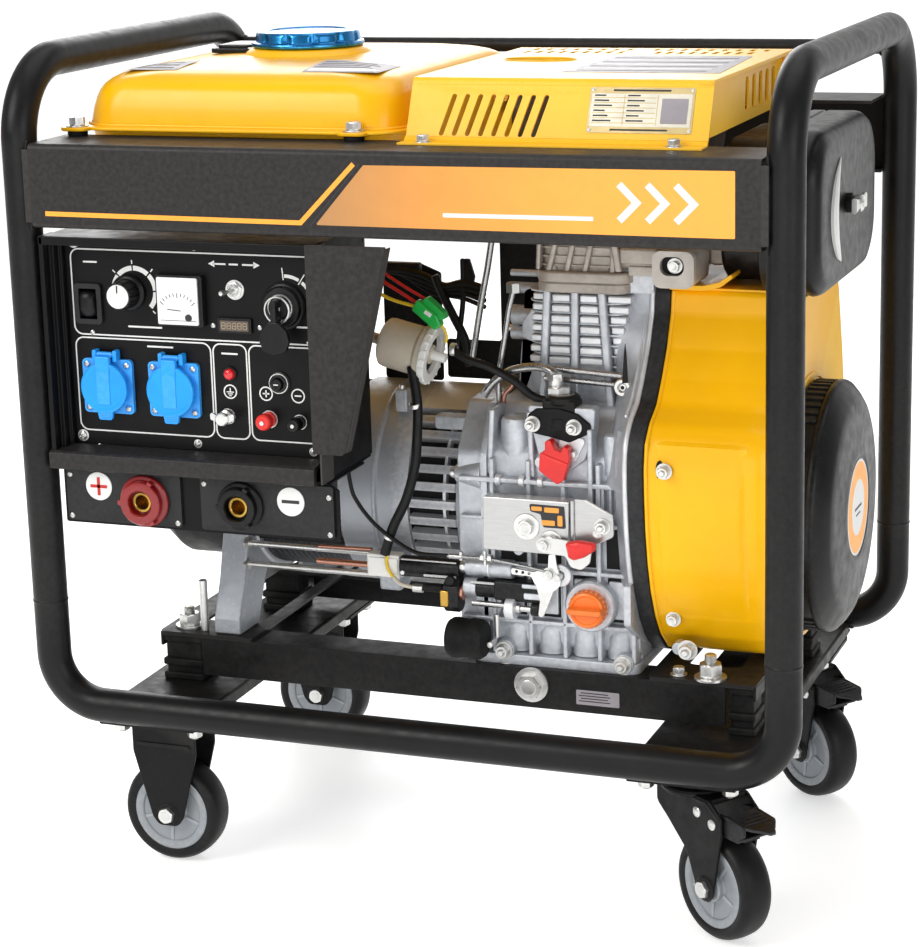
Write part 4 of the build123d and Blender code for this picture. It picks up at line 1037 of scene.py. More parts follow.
# rear bend, back wall and foot
o_out = rl([(116, 748), (120, 748), (120, 696.6), (160, 696.6)], [0, 5, 4, 0], 6)
o_out = rl([(116, 748), (120.0, 748), (120.0, 740)], 3.9, 5) + rl([(120.0, 705), (120.0, 696.6), (160, 696.6)], 5, 5)
o_in = rl([(160, 694.6), (118, 694.6), (118, 702)], 3, 5) + rl([(118, 742), (118, 746), (116, 746)], 1.9, 4)
p.prism("x", o_out + o_in, GX0, GX1, 0.35, 1)
# end walls, the right one with four slots
side = [(-185.2, 697), (-165.6, 742.5), (-160.5, 745.9), (116, 745.9), (117.9, 743), (117.9, 697)]
sh = [[(y, 706), (y + 13, 706), (y + 16, 736), (y + 3, 736)] for y in (-22, 2, 26, 50, 74)]
p.sheet("x", side, [rp(h, 5, 4) for h in sh], GX1 - 13, GX1 - 11.2)
p.sheet("x", side, [rp(h, 5, 4) for h in sh[:4]], GX0 + 11.2, GX0 + 13)
p.prism("z", [(GX1 - 13, -168), (GX1 - 1, -168), (GX1 - 1, 112), (GX1 - 13, 112)], 744.2, 746.0, 0.3, 1)
p.done()

p = Piece("guard_plate", slot="zinc")


def slab(x0, x1, s0, s1, h, th, r=1.0):
    return t_prism(slant, rp([(x0, s0), (x1, s0), (x1, s1), (x0, s1)], r, 3), h, h - th, 0.08, 1)


p.m("plate_gold").add(slab(165.5, 257.0, 9.5, 49.5, 0.5, 0.6, 1.5))
p.m("plate_silver").add(slab(167.5, 255.0, 15.0, 44.0, 0.66, 0.3, 0.8))
for i in range(6):
    s = 18.0 + i * 4.4
    p.m("plate_gold").add(slab(169.0, 224.0, s, s + 0.7, 0.74, 0.2, 0.1))
    p.m("ink_dark").add(slab(170.0, 186.0 - (i % 3) * 3, s + 1.6, s + 2.9, 0.76, 0.2, 0.1))
    p.m("ink_dark").add(slab(199.0, 214.0 - (i % 2) * 4, s + 1.6, s + 2.9, 0.76, 0.2, 0.1))
p.m("plate_gold").add(slab(196.0, 196.7, 16.5, 43.0, 0.74, 0.2, 0.1))
p.m("plate_gold").add(slab(225.0, 225.7, 16.5, 43.0, 0.74, 0.2, 0.1))
p.m("sticker_grey").add(slab(229.0, 252.0, 18.0, 40.0, 0.74, 0.2, 0.8))
for k, (a, b) in enumerate(((46.0, 47.6), (11.6, 13.2))):
    p.m("ink_dark").add(slab(186.0, 236.0, a, b, 0.62, 0.2, 0.1))
for x in (168, 254.5):
    for s in (12.0, 47.0):
        p.m("zinc").add(t_rev(nrm, slant(x, s, 0.4), [(0, 0), (1.5, 0), (1.4, 0.5), (0.7, 0.9), (0, 1.0)], 14))
# plain label on the top sheet
p.m("sticker_grey").prism("z", rp([(120, -112), (262, -112), (252, 42), (126, 42)], 3, 3), 748.0, 748.35, 0.08, 1)
for k in range(7):
    y = -100 + k * 19
    p.m("ink_white" if k % 2 else "ink_dark").prism("z", rp([(130, y), (246, y), (246, y + 5), (130, y + 5)], 1, 2), 748.2, 748.5, 0.05, 1)
p.done()

# =====================================================================================
# control box, window frame and panel
# =====================================================================================
F = -222.0
p = Piece("box_shell", replaces=("control_box",), slot="dark_sheet")
BX0, BX1, BZ0, BZ1 = -330.0, -62.0, 398.0, 612.0
p.m("panel_black")
p.prism("z", rp([(BX0, -246), (BX0 + 2, -246), (BX0 + 2, -132), (BX1 - 2, -132), (BX1 - 2, -222), (BX1, -222), (BX1, -130), (BX0, -130)], 0.9, 3), BZ0 + 3, BZ1 - 1, 0.3, 1)
p.box(BX0 + 1, BX1 - 1, -243, -131, BZ1 - 3, BZ1 - 1, 0.6)
p.box(BX0 + 1, BX1 - 1, -236, -131, BZ0, BZ0 + 2, 0.6)
# left return: three stepped folds beside the window
p.m("panel_black").prism("z", rp([(BX0, -246.5), (BX0 + 5, -246.5), (BX0 + 5, -236), (BX0 + 9.5, -236), (BX0 + 9.5, -228), (BX0 + 13, -228), (BX0 + 13, -222.2), (BX0, -222.2)], 1.1, 3), BZ0 + 12, BZ1 - 1, 0.3, 1)
# top edge of the window
p.prism("x", rp([(-246.5, 604), (-240, 604), (-240, 606.5), (-222.2, 606.5), (-222.2, 612), (-246.5, 612)], 1.0, 3), BX0, BX1, 0.3, 1)
# ledge under the window
p.m("sheet_dark").prism("x", rp([(-250, 399.5), (-250, 413.5), (-247, 415.4), (-222.2, 417.5), (-222.2, 414.5), (-243, 411.5), (-244, 401.5), (-236, 400.5), (-236, 398.2), (-248, 398.2)], 1.2, 3), BX0 - 1, -68, 0.4, 2)
# right tapered plate with folded edges
tr = [(-69, 613), (6, 613), (6, 611.5), (-37.5, 431), (-41, 428), (-69, 428)]
p.m("sheet_dark").prism("y", rp(tr, [2, 1, 3, 6, 3, 2], 4), -248.5, -246.3, 0.5, 2)
p.prism("z", [(-62.4, -248), (-60.6, -248), (-60.6, -222), (-62.4, -222)], 400, 611, 0.3, 1)
t = t_prism("y", rp([(4.4, 611), (6.2, 611), (-36.6, 430.5), (-38.4, 430.5)], 0.3, 1), -247.5, -236, 0.3, 1)
p.add(t)
p.done()

p = Piece("panel_face", replaces=("control_panel",), slot="panel_black")
p.m("panel_black")
PZ0, PZ1 = 417.5, 609.5
SOCK = ((-279.0, 473.0), (-212.5, 473.0))
KNOB, TOG, KEY, BRK, ACS = (-254.0, 559.5), (-149.0, 566.0), (-102.0, 553.5), (-109.5, 484.0), (-295.0, 548.0)
holes = [circ(x, z, 20, 40) for x, z in SOCK] + [circ(*KNOB, 3.2, 20), circ(*TOG, 3.7, 20), circ(*KEY, 3.6, 20), circ(*BRK, 5.9, 24), [(ACS[0] - 9, ACS[1] - 14), (ACS[0] + 9, ACS[1] - 14), (ACS[0] + 9, ACS[1] + 14), (ACS[0] - 9, ACS[1] + 14)]]
p.sheet("y", rrect((-319 - 66) / 2, (PZ0 + PZ1) / 2, 319 - 66, PZ1 - PZ0, 7, 5), holes, F, F + 2)
for (x, z) in ((-306.5, 605.0), (-186.5, 605.5), (-75.0, 604.0), (-311.0, 427.5), (-193.0, 424.5), (-79.5, 424.0)):
    pass
# white outlines: the upper field and three lower fields
IK = F - 0.12


def outline(pts, r, w=1.3):
    o_ = rp(pts, r, 5)
    L = [Vector((a_, b_, 0)) for a_, b_ in o_]
    m_ = len(L)
    q = bmesh.new()
    outp, inp = [], []
    for i in range(m_):
        d0 = (L[i] - L[i - 1]).normalized()
        d1 = (L[(i + 1) % m_] - L[i]).normalized()
        nn = (Vector((-d0.y, d0.x, 0)) + Vector((-d1.y, d1.x, 0))).normalized()
        k = w / 2 / max(0.4, nn.dot(Vector((-d0.y, d0.x, 0))))
        outp.append((L[i].x + nn.x * k, L[i].y + nn.y * k))
        inp.append((L[i].x - nn.x * k, L[i].y - nn.y * k))
    lo0_, li0, lo1, li1 = [], [], [], []
    for (a_, b_), (c_, d_) in zip(outp, inp):
        lo0_.append(q.verts.new((a_, IK, b_)))
        li0.append(q.verts.new((c_, IK, d_)))
        lo1.append(q.verts.new((a_, F + 0.1, b_)))
        li1.append(q.verts.new((c_, F + 0.1, d_)))
    for i in range(m_):
        j = (i + 1) % m_
        q.faces.new((lo0_[i], lo0_[j], li0[j], li0[i]))
        q.faces.new((lo1[i], li1[i], li1[j], lo1[j]))
        q.faces.new((lo0_[i], lo1[i], lo1[j], lo0_[j]))
        q.faces.new((li0[i], li0[j], li1[j], li1[i]))
    bmesh.ops.recalc_face_normals(q, faces=q.faces)
    return q


def arcband(cx, cz, r0, r1, a0, a1, n=40, y0=IK, y1=F + 0.1):
    pts = [(cx + r1 * cos(radians(a0 + (a1 - a0) * i / n)), cz + r1 * sin(radians(a0 + (a1 - a0) * i / n))) for i in range(n + 1)]
    pts += [(cx + r0 * cos(radians(a1 - (a1 - a0) * i / n)), cz + r0 * sin(radians(a1 - (a1 - a0) * i / n))) for i in range(n + 1)]
    return t_prism("y", pts, y0, y1, 0.02, 1)


def ring2(cx, cz, r0, r1, y0=IK, y1=F + 0.1, n=36):
    return t_ring("-y", (cx, y1, cz), r0, r1, y1 - y0, 0.02, n)


def dash(x0, z0, x1, z1, w=1.3):
    return t_prism("y", ribbon([(x0, z0), (x1, z1)], w), IK, F + 0.1, 0.02, 1)


p.m("ink_white")
p.add(outline([(-311.5, 597.5), (-66.8, 597.5), (-66.8, 519.5), (-311.5, 519.5)], 8))
p.add(outline([(-311.5, 516.5), (-176, 516.5), (-176, 430.5), (-311.5, 430.5)], 8))
p.add(outline([(-173.6, 516.5), (-141, 516.5), (-141, 430.5), (-173.6, 430.5)], 7))
p.add(outline([(-138.6, 516.5), (-66.8, 516.5), (-66.8, 430.5), (-138.6, 430.5)], 7))
# scale round the current knob, numbers replaced by ticks
a0_, a1_ = -45, 185
kx, kz = KNOB[0] + 5.5, KNOB[1] + 1.5
for i in range(5):
    s0 = a0_ + (a1_ - a0_) * i / 5 + 2
    s1 = a0_ + (a1_ - a0_) * (i + 1) / 5 - 2
    p.add(arcband(kx, kz, 18.6, 23.0, s0, s1, 14))
for i in range(6):
    a = radians(a0_ + (a1_ - a0_) * i / 5)
    p.add(dash(kx + 24.6 * cos(a), kz + 24.6 * sin(a), kx + 28 * cos(a), kz + 28 * sin(a), 1.1))
# key positions
p.add(arcband(KEY[0] + 2, KEY[1] + 1, 24.0, 27.0, -4, 52, 18))
p.add(arcband(KEY[0] + 2, KEY[1] + 1, 24.0, 27.0, 60, 92, 12))
for a in (-6, 56, 95):
    a = radians(a)
    p.add(dash(KEY[0] + 2 + 22 * cos(a), KEY[1] + 1 + 22 * sin(a), KEY[0] + 2 + 33 * cos(a), KEY[1] + 1 + 33 * sin(a), 1.0))
# toggle arrows
for sg in (-1, 1):
    x0 = TOG[0] + sg * 8
    p.add(dash(x0, TOG[1] + 22.5, x0 + sg * 12, TOG[1] + 22.5, 1.5))
    p.prism("y", [(x0 + sg * 11, TOG[1] + 19.5), (x0 + sg * 17, TOG[1] + 22.5), (x0 + sg * 11, TOG[1] + 25.5)], IK, F + 0.1, 0.02, 1)
# circled plus, minus and earth signs
for x, z, k in ((-123.5, 473.5, "+"), (-92.5, 473.0, "-"), (-158.5, 473.5, "e")):
    p.add(ring2(x, z, 5.4, 6.6))
    if k in "+-":
        p.add(dash(x - 3.2, z, x + 3.2, z, 1.3))
    if k == "+":
        p.add(dash(x, z - 3.2, x, z + 3.2, 1.3))
    if k == "e":
        p.add(dash(x, z + 3.4, x, z, 1.1))
        for j, w_ in enumerate((3.6, 2.4, 1.2)):
            p.add(dash(x - w_, z - 0.3 - j * 1.7, x + w_, z - 0.3 - j * 1.7, 0.9))
# short plain bars where captions would sit
for x, z, w_ in ((-292, 586, 14), (-240, 528.5, 34), (-226, 511, 26), (-157.5, 508, 16), (-149.5, 588.5, 9), (-84, 535, 14), (-78, 521.5, 8), (-124, 560, 0)):
    if w_:
        p.prism("y", rrect(x, z, w_, 1.6, 0.5, 3), IK, F + 0.1, 0.02, 1)
p.done()

# panel screws ride with the fastener set
p = Piece("panel_screws", slot="zinc")
for i, (x, z) in enumerate(((-307.5, 603.8), (-187, 603.5), (-74.5, 602.0), (-309.5, 424.8), (-193, 423.8), (-79.5, 423.0))):
    big = i in (0, 3)
    p.m("zinc").cyl("-y", (x, F, z), 5.6 if big else 4.0, 0.8, 0.2, 24)
    p.screw("-y", (x, F - 0.7, z), 4.2 if big else 3.0, 2.4, 0.5 + i)
for x, z in ((-293.5, 521.5), (-172.0, 533.0), (-126.5, 533.0)):
    p.screw("-y", (x, F, z), 2.4, 1.6, 0.8)
p.done()

# mains outlets
p = Piece("mains_outlets", replaces=("outlet_sockets",), slot="blue_plastic", angle=30)
for x, z in SOCK:
    p.m("blue_plastic")
    p.sheet("y", rrect(x, z, 50, 50, 4, 5), [circ(x, z, 17.6, 40)], F - 4, F)
    p.ring("-y", (x, F - 3.9, z), 17.6, 20.5, 4.3, 0.7, 48)
    p.ring("-y", (x, F + 26, z), 17.6, 20, 26, 0.3, 40)
    # dark sleeve deep in each socket: painted shade inside the opening
    p.m("void_black").cyl("-y", (x, F + 28, z), 17.8, 20, 0.3, 36)
    p.m("blue_plastic").cyl("-y", (x, F + 9, z), 17.4, 1.2, 0.4, 36)
    for dx in (-9.5, 9.5):
        p.m("brass").cyl("-y", (x + dx, F + 8, z), 2.8, 1.2, 0.3, 16)
    p.m("zinc").cyl("-y", (x, F + 8, z + 12), 2.4, 12, 0.6, 14)
    # hinge knuckles
    p.m("blue_plastic")
    for s in (-1, 1):
        a, b = sorted((x + s * 8.1, x + s * 12.4))
        p.box(a, b, F - 9, F, z + 23.5, z + 34, 1.2, 3)
    p.m("zinc").cyl("x", (x - 12.2, F - 6.5, z + 30), 1.45, 24.4, 0.3, 14)
    for dx, dz in ((-20, 20), (20, 20), (20, -20), (-20, -20)):
        p.m("blue_plastic").cyl("-y", (x + dx, F - 3.8, z + dz), 4.0, 0.5, 0.2, 20)
        p.screw("-y", (x + dx, F - 4.2, z + dz), 2.9, 1.9, dx + dz)
p.done()
for nm, (x, z) in (("left", SOCK[0]), ("right", SOCK[1])):
    p = Piece("outlet_cover_%s" % nm, "lid_%s" % nm, ("outlet_lid_%s" % nm,), "blue_plastic", angle=30).m("blue_plastic")
    p.rev("-y", (x, F - 8.7, z), [(0, 0), (20.6, 0), (21.0, 0.2), (23.0, 0.3), (23.5, 0.8), (23.5, 3.0), (23.1, 4.0), (22.2, 4.6), (20.8, 4.8), (19.6, 4.6), (18.6, 4.3), (12, 4.6), (6, 4.7), (0, 4.7)], 56)
    # centre rib, thumb tab and hinge leaf
    p.box(x - 7.4, x + 7.4, F - 14.4, F - 8.8, z + 14, z + 29.5, 1.8, 3)
    p.box(x - 6.6, x + 6.6, F - 14.2, F - 12.6, z - 15, z + 16, 0.7, 2)
    p.prism("y", rp([(x - 8, z - 21), (x + 8, z - 21), (x + 6.5, z - 29.5), (x - 6.5, z - 29.5)], 2.2, 4), F - 12.6, F - 8.8, 0.7, 2)
    p.rev("x", (x - 7.5, F - 6.5, z + 30), [(1.6, 0), (2.1, 0), (2.4, 0.4), (2.4, 14.6), (2.1, 15), (1.6, 15)], 28, closed=True)
    p.box(x - 7.3, x + 7.3, F - 10.5, F - 6.9, z + 27.5, z + 29.2, 0.5, 2)
    for k in range(4):
        p.box(x - 5.5, x + 5.5, F - 13.2, F - 12.3, z - 28 + k * 1.7, z - 27.2 + k * 1.7, 0.25, 1)
    p.done()

# current knob
p = Piece("knob_current", "knob", ("current_knob",), "black_plastic", angle=36).m("plastic_black")
kx, kz = KNOB


def fluted(R, y, depth, n=120):
    return [(kx + (R - depth * max(0, cos(12 * a)) ** 6) * cos(a), y, kz + (R - depth * max(0, cos(12 * a)) ** 6) * sin(a)) for a in [2 * pi * i / n for i in range(n)]]


p.loft([fluted(16.2, F - 0.5, 0), fluted(16.5, F - 1.0, 0), fluted(16.5, F - 3.2, 0), fluted(15.6, F - 4.4, 0), fluted(13.6, F - 5.4, 0), fluted(13.2, F - 7, 1.0), fluted(12.8, F - 20, 1.0), fluted(12.2, F - 21.6, 0.7), fluted(11.2, F - 22.2, 0.0)])
p.m("white_plastic").rev("-y", (kx, F - 22.0, kz), [(0, 0), (10.8, 0), (10.8, 0.5), (10.2, 1.0), (4, 1.35), (0, 1.4)], 40)
p.m("ink_dark").box(kx - 0.8, kx + 0.8, F - 23.45, F - 22.6, kz + 3, kz + 10, 0.2, 1)
p.m("zinc").cyl("y", (kx, F - 1, kz), 2.9, 14, 0.4, 16)
p.done()

# meters and lamp
p = Piece("meters", replaces=("panel_meters",), slot="meter_plastic")
p.m("plastic_black").prism("y", rrect(-201, 555, 46, 46, 2, 4), F - 7.4, F, 0.8, 2)
p.m("meter_face").prism("y", rrect(-202, 555, 40, 42.5, 1.6, 4), F - 9, F - 6.5, 0.5, 2)
p.m("ink_dark")
for i in range(11):
    a = radians(40 + i * 10)
    cxm, czm = -202, 540
    r0 = 19.5 if i % 5 else 18.0
    t = t_prism("y", ribbon([(cxm + r0 * cos(a), czm + r0 * sin(a)), (cxm + 22.4 * cos(a), czm + 22.4 * sin(a))], 0.7), F - 9.15, F - 8.9, 0.02, 1)
    p.add(t)
p.add(t_prism("y", ribbon([(-212, 547.5), (-199, 546.5)], 0.8), F - 9.2, F - 8.9, 0.02, 1))
p.prism("y", circ(-191.5, 540.5, 3.2, 20), F - 10.2, F - 8.8, 0.3, 1)
p.add(t_prism("y", ribbon([(-219, 537.6), (-184, 537.6)], 0.5), F - 9.15, F - 8.9, 0.02, 1))
p.m("plastic_black").prism("y", rrect(-150, 534, 33, 13.5, 1.5, 4), F - 3.2, F, 0.5, 2)
p.m("lcd_brown").prism("y", rrect(-150, 534, 28, 9.4, 0.8, 3), F - 3.5, F - 2.8, 0.15, 1)
p.m("lcd_seg")
for k in range(5):
    for dz in (-2.6, 0, 2.6):
        p.prism("y", rrect(-160.4 + k * 5.2, 534 + dz, 2.8, 0.7, 0.2, 2), F - 3.6, F - 3.3, 0.02, 1)
    for dx in (-1.7, 1.7):
        p.prism("y", rrect(-160.4 + k * 5.2 + dx, 534, 0.7, 5.4, 0.2, 2), F - 3.6, F - 3.3, 0.02, 1)
p.m("plastic_black").ring("-y", (-157.5, F, 490), 4.9, 6.4, 2.2, 0.4, 28)
p.m("lamp_red").rev("-y", (-157.5, F, 490), [(0, 0), (5.0, 0), (5.0, 3.5), (4.4, 5.0), (3.0, 6.0), (0, 6.4)], 28)
p.done()

# toggle switch
p = Piece("toggle_nut", slot="zinc")
p.m("zinc").ring("-y", (TOG[0], F, TOG[1]), 5.2, 9.0, 0.9, 0.2, 30)
p.add(t_hex("-y", (TOG[0], F - 0.8, TOG[1]), 13, 2.4, 0.3, 0.8))
p.ring("-y", (TOG[0], F - 2.0, TOG[1]), 3.7, 5.2, 3.6, 0.4, 26)
p.done()
p = Piece("toggle_bat", "toggle", ("mode_toggle",), "zinc").m("zinc")
b0 = Vector((TOG[0], F - 1, TOG[1]))
dd = Matrix.Rotation(radians(-13), 3, "Z") @ Vector((0, -1, 0))
dd = Matrix.Rotation(radians(0), 3, "Z") @ dd
p.rev(dd, b0, [(0, -1.6), (2.2, -1.0), (2.5, 0), (1.6, 1.5), (1.4, 4), (1.9, 13), (2.5, 17.0), (2.6, 18.6), (2.0, 20.0), (0, 20.4)], 24)
p.done()

# key switch
p = Piece("key_barrel", slot="black_plastic").m("plastic_black")
p.rev("-y", (KEY[0], F, KEY[1]), [(3.6, 0), (21.0, 0), (21.0, 2.5), (20.0, 3.6), (18.5, 4.2), (17.4, 7.6), (16.6, 8.2), (3.6, 8.2)], 44, closed=True)
p.m("zinc").ring("-y", (KEY[0] - 0.0, F - 8.0, KEY[1]), 10.2, 12.0, 1.6, 0.4, 40)
p.done()
p = Piece("key_blade", "key", ("ignition_key",), "black_plastic")
p.m("steel_pipe").cyl("-y", (KEY[0], F + 9, KEY[1]), 3.3, 26, 0.6, 20)
p.m("plastic_black").rev("-y", (KEY[0], F - 8.4, KEY[1]), [(0, 0), (9.6, 0), (9.6, 4.5), (8.8, 5.6), (0, 5.8)], 36)
p.m("plastic_black").box(KEY[0] - 2.6, KEY[0] + 2.6, F - 25.5, F - 12, KEY[1] - 11, KEY[1] + 9, 1.2, 3)
p.m("zinc").ring("-y", (KEY[0], F - 15.2, KEY[1] - 1), 10.6, 12.4, 1.4, 0.4, 40)
bow = rp([(KEY[0] - 5, KEY[1] - 10), (KEY[0] - 12, KEY[1] - 17), (KEY[0] - 14.5, KEY[1] - 27), (KEY[0] - 11, KEY[1] - 36), (KEY[0], KEY[1] - 39.5), (KEY[0] + 11, KEY[1] - 36), (KEY[0] + 14.5, KEY[1] - 27), (KEY[0] + 12, KEY[1] - 17), (KEY[0] + 5, KEY[1] - 10)], 5, 4)
p.m("plastic_black").prism("y", bow, F - 25.6, F - 20.6, 1.4, 3)
p.done()

# circuit breaker and the rocker under its rubber boot
p = Piece("breaker_collar", slot="black_plastic").m("plastic_black")
p.rev("-y", (BRK[0], F, BRK[1]), [(5.9, 0), (10.2, 0), (10.2, 1.4), (8.6, 2.0), (8.0, 5.0), (7.4, 5.4), (5.9, 5.4)], 36, closed=True)
p.m("zinc").add(t_ring("-y", (BRK[0], F - 2, BRK[1]), 8.1, 9.4, 1.6, 0.3, 30))
p.done()
p = Piece("breaker_push", "breaker", ("breaker_button",), "black_plastic").m("plastic_black")
p.rev("-y", (BRK[0], F + 6.4, BRK[1]), [(0, 0), (7.1, 0), (7.1, 1.8), (5.45, 1.9), (5.45, 14.4), (4.8, 15.3), (3.6, 15.6), (2.4, 15.3), (0, 15.2)], 32)
p.m("ink_white").prism("y", rrect(BRK[0], BRK[1], 4.6, 1.0, 0.3, 2), F - 9.35, F - 8.6, 0.02, 1)
p.done()
p = Piece("rocker_bezel", slot="black_plastic").m("plastic_black")
p.sheet("y", rrect(ACS[0], ACS[1], 27, 37, 4, 5), [rrect(ACS[0], ACS[1], 17.8, 27.8, 0.6, 3)], F - 3.4, F)
p.done()
p = Piece("rocker_boot", "ac_rocker", ("ac_switch",), "rubber", angle=60).m("plastic_black")
L = []
for w_, h_, r_, y_ in ((16.6, 22.6, 3, F + 6), (16.8, 23, 4, F - 1), (16.8, 23.2, 6, F - 4), (15.6, 21.6, 7, F - 6.0), (12.6, 18, 6.2, F - 7.6), (8, 12, 4, F - 8.4), (2, 4, 1, F - 8.7)):
    L.append([(a, y_, b) for a, b in rrect(ACS[0], ACS[1], w_, h_, r_, 6)])
p.loft(L)
p.m("plastic_black").cyl("x", (ACS[0] - 12, F + 5, ACS[1]), 1.45, 24, 0.3, 14)
p.done()

# binding posts
p = Piece("posts", replaces=("binding_posts",), slot="red_plastic")


def post(x, z, m_, r):
    p.m("zinc").cyl("-y", (x, F, z), r * 1.15, 1.2, 0.3, 24)
    p.m(m_).rev("-y", (x, F - 1.0, z), [(0, 0), (r, 0), (r * 1.04, 0.5), (r * 1.04, 4.2), (r * 0.8, 4.8), (r * 0.8, 6.0), (r, 6.6), (r * 1.04, 8), (r * 1.02, 14.0), (r * 0.85, 15.6), (r * 0.45, 16.2), (0, 16.0)], 30)
    p.m("zinc").cyl("-y", (x, F - 16.5, z), r * 0.3, 1.6, 0.3, 14)


post(-121.0, 450.5, "red_plastic", 7.0)
post(-91.5, 449.5, "plastic_black", 6.0)
p.m("zinc").cyl("-y", (-161.5, F, 451), 7.2, 1.4, 0.3, 24)
p.rev("-y", (-161.5, F - 1.2, 451), [(0, 0), (5.6, 0), (6.6, 1), (6.6, 5.4), (5.4, 6.2), (4.0, 6.6), (4.0, 9.6), (5.4, 10.2), (6.2, 11), (6.2, 14), (5.2, 15), (0, 15.2)], 30)
for s in (-1, 1):
    p.add(t_prism("y", rp([(-161.5 + s * 4, 448.0), (-161.5 + s * 11.5, 450.0), (-161.5 + s * 12.0, 457.0), (-161.5 + s * 4, 454.0)], 1.8, 4), F - 13.6, F - 10.8, 0.6, 2))
p.done()

# =====================================================================================
# welding cable sockets on their plates
# =====================================================================================
p = Piece("weld_plate", replaces=("weld_terminal_plate",), slot="panel_black").m("panel_black")
WS = ((-242.0, 371.0, 24.0), (-146.0, 373.0, 22.0))
p.sheet("y", rp([(-326, 345), (-52, 345), (-52, 392), (-62, 398), (-326, 398)], 2, 3), [circ(x, z, 15.2, 36) for x, z, r in WS], -234, -231)
p.box(-326, -62, -233.5, -150, 395.4, 397.9, 0.6)
for x, z, w_ in ((-282, 368, 62), (-100, 372, 62)):
    pass
# square black boards behind each disc, and the white discs with their signs
for x0, x1, z0, z1 in ((-322, -206, 348, 396), (-186, -56, 348, 396)):
    p.m("plastic_black").sheet("y", rrect((x0 + x1) / 2, (z0 + z1) / 2, x1 - x0, z1 - z0, 3, 4), [circ(x, z, 15.4, 36) for x, z, r in WS if x0 < x < x1], -237, -234)
for x, z, k in ((-288.5, 381.6, "+"), (-97.0, 380.0, "-")):
    p.m("ink_white").ring("-y", (x, -236.8, z), 0.01, 13.2, 1.2, 0.2, 40)
    p.m("wire_red" if k == "+" else "ink_dark").prism("y", rrect(x, z, 17.0, 3.0, 0.4, 3), -238.3, -237.6, 0.05, 1)
    if k == "+":
        p.prism("y", rrect(x, z, 3.0, 17.0, 0.4, 3), -238.3, -237.6, 0.05, 1)
for x, z in ((-318, 352), (-318, 391), (-210, 352), (-182, 391), (-60, 352), (-60, 386)):
    p.screw("-y", (x, -237, z), 2.6, 1.6)
p.done()
p = Piece("cable_sockets", replaces=("weld_sockets",), slot="red_plastic", angle=30)
for (x, z, r), m_ in zip(WS, ("red_dark", "plastic_black")):
    p.m(m_).rev("-y", (x, -236.9, z), [(9.6, 0), (r - 1, 0), (r, 0.8), (r, 3.2), (r - 0.8, 4.2), (r - 3.4, 4.8), (r - 4.0, 5.6), (r - 4.0, 11.6), (r - 4.8, 12.6), (r - 6.2, 13.0), (12.6, 13.0), (11.8, 12.4), (11.4, 11.6), (11.4, 4), (9.6, 4)], 56, closed=True)
    p.rev("y", (x, -236.6, z), [(7.2, 0), (14.9, 0), (14.9, 32), (14.2, 36.4), (7.2, 36.4)], 40, closed=True)
    for k in range(3):
        a = k * 2 * pi / 3 + 0.5
        t = t_box(-2.4, 2.4, -248.6, -240.8, r - 5.4, r - 1.4, 0.7, 2)
        p.add(t, Matrix.Translation((x, 0, z)) @ Matrix.Rotation(a, 4, "Y"))
    p.m("brass").rev("-y", (x, -216, z), [(6.65, 0), (9.4, 0), (9.4, 27.5), (9.0, 28.3), (7.2, 28.5), (6.65, 28.0)], 36, closed=True)
    p.m("brass").cyl("-y", (x, -214.6, z), 9.2, 1.4, 0.3, 30)
    p.m("brass").box(x - 1.5, x + 1.5, -229, -218, z + 4.6, z + 7.0, 0.4, 1)
p.done()


# =====================================================================================
# engine
# =====================================================================================
def yv(z):
    """Front edge of the fan casing outline at a height."""
    pts = [(214.5, -54), (226, -84), (244, -106), (266, -123), (292, -136), (320, -145), (350, -151), (380, -154), (408, -155), (430, -151), (445, -137), (457, -114), (477, -97), (501, -80), (530, -66), (553, -62), (572, -60)]
    for (z0, y0), (z1, y1) in zip(pts[:-1], pts[1:]):
        if z0 <= z <= z1:
            return y0 + (y1 - y0) * (z - z0) / (z1 - z0)
    return pts[-1][1] if z > 553 else pts[0][1]


def slant_bar(p, x0, z0, x1, z1, w, y0, y1, r=1.4):
    p.prism("y", [(x0 - w / 2, z0), (x1 - w / 2, z1), (x1 + w / 2, z1), (x0 + w / 2, z0)], y0, y1, r, 3)


p = Piece("cylinder_barrel", replaces=("cylinder_block",), slot="cast_barrel", angle=32).m("alloy")
p.prism("z", rrect(119, 0, 84, 132, 14, 5), 440, 549, 1.0, 2)
for i in range(8):
    z = 547 - 9.6 * i
    p.prism("z", rrect(119, 1, 98 - i * 0.6, 146, 16, 6), z - 1.0, z + 1.0, 0.7, 2)
RIBS = ((92, 87), (118, 117), (143, 149))
for a, b in RIBS:
    slant_bar(p, a, 551, b + (b - a) * 0.35, 436, 7.0, -79.5, -64, 2.0)
    slant_bar(p, a, 551, b, 455, 7.0, 64, 78, 2.0)
# fin faces between the ribs in the paler alloy: painted highlight on the lit fins
p.m("alloy_light")
for i in range(7):
    z = 542.2 - 9.6 * i
    t = (547 - z) / 70.0
    e = [a + (b - a) * t for a, b in RIBS]
    for k in range(2):
        x0, x1 = e[k] + 4.6, e[k + 1] - 4.6
        p.box(x0, x1, -76.6, -64, z - 3.3, z + 3.3, 1.5, 3)
    if i < 6:
        p.box(e[2] + 4.8, 170 - i * 2.4, -75 + i * 0.8, -60, z - 3.4, z + 3.2, 1.6, 3)
    p.box(e[0] - 15, e[0] - 4.6, -72, -60, z - 3.0, z + 3.0, 1.4, 3)
p.m("alloy")
# side faces: vertical ribs towards both ends
for y in (-34, 0, 34):
    p.box(70.5, 78, y - 2, y + 2, 462, 545, 1.2, 2)
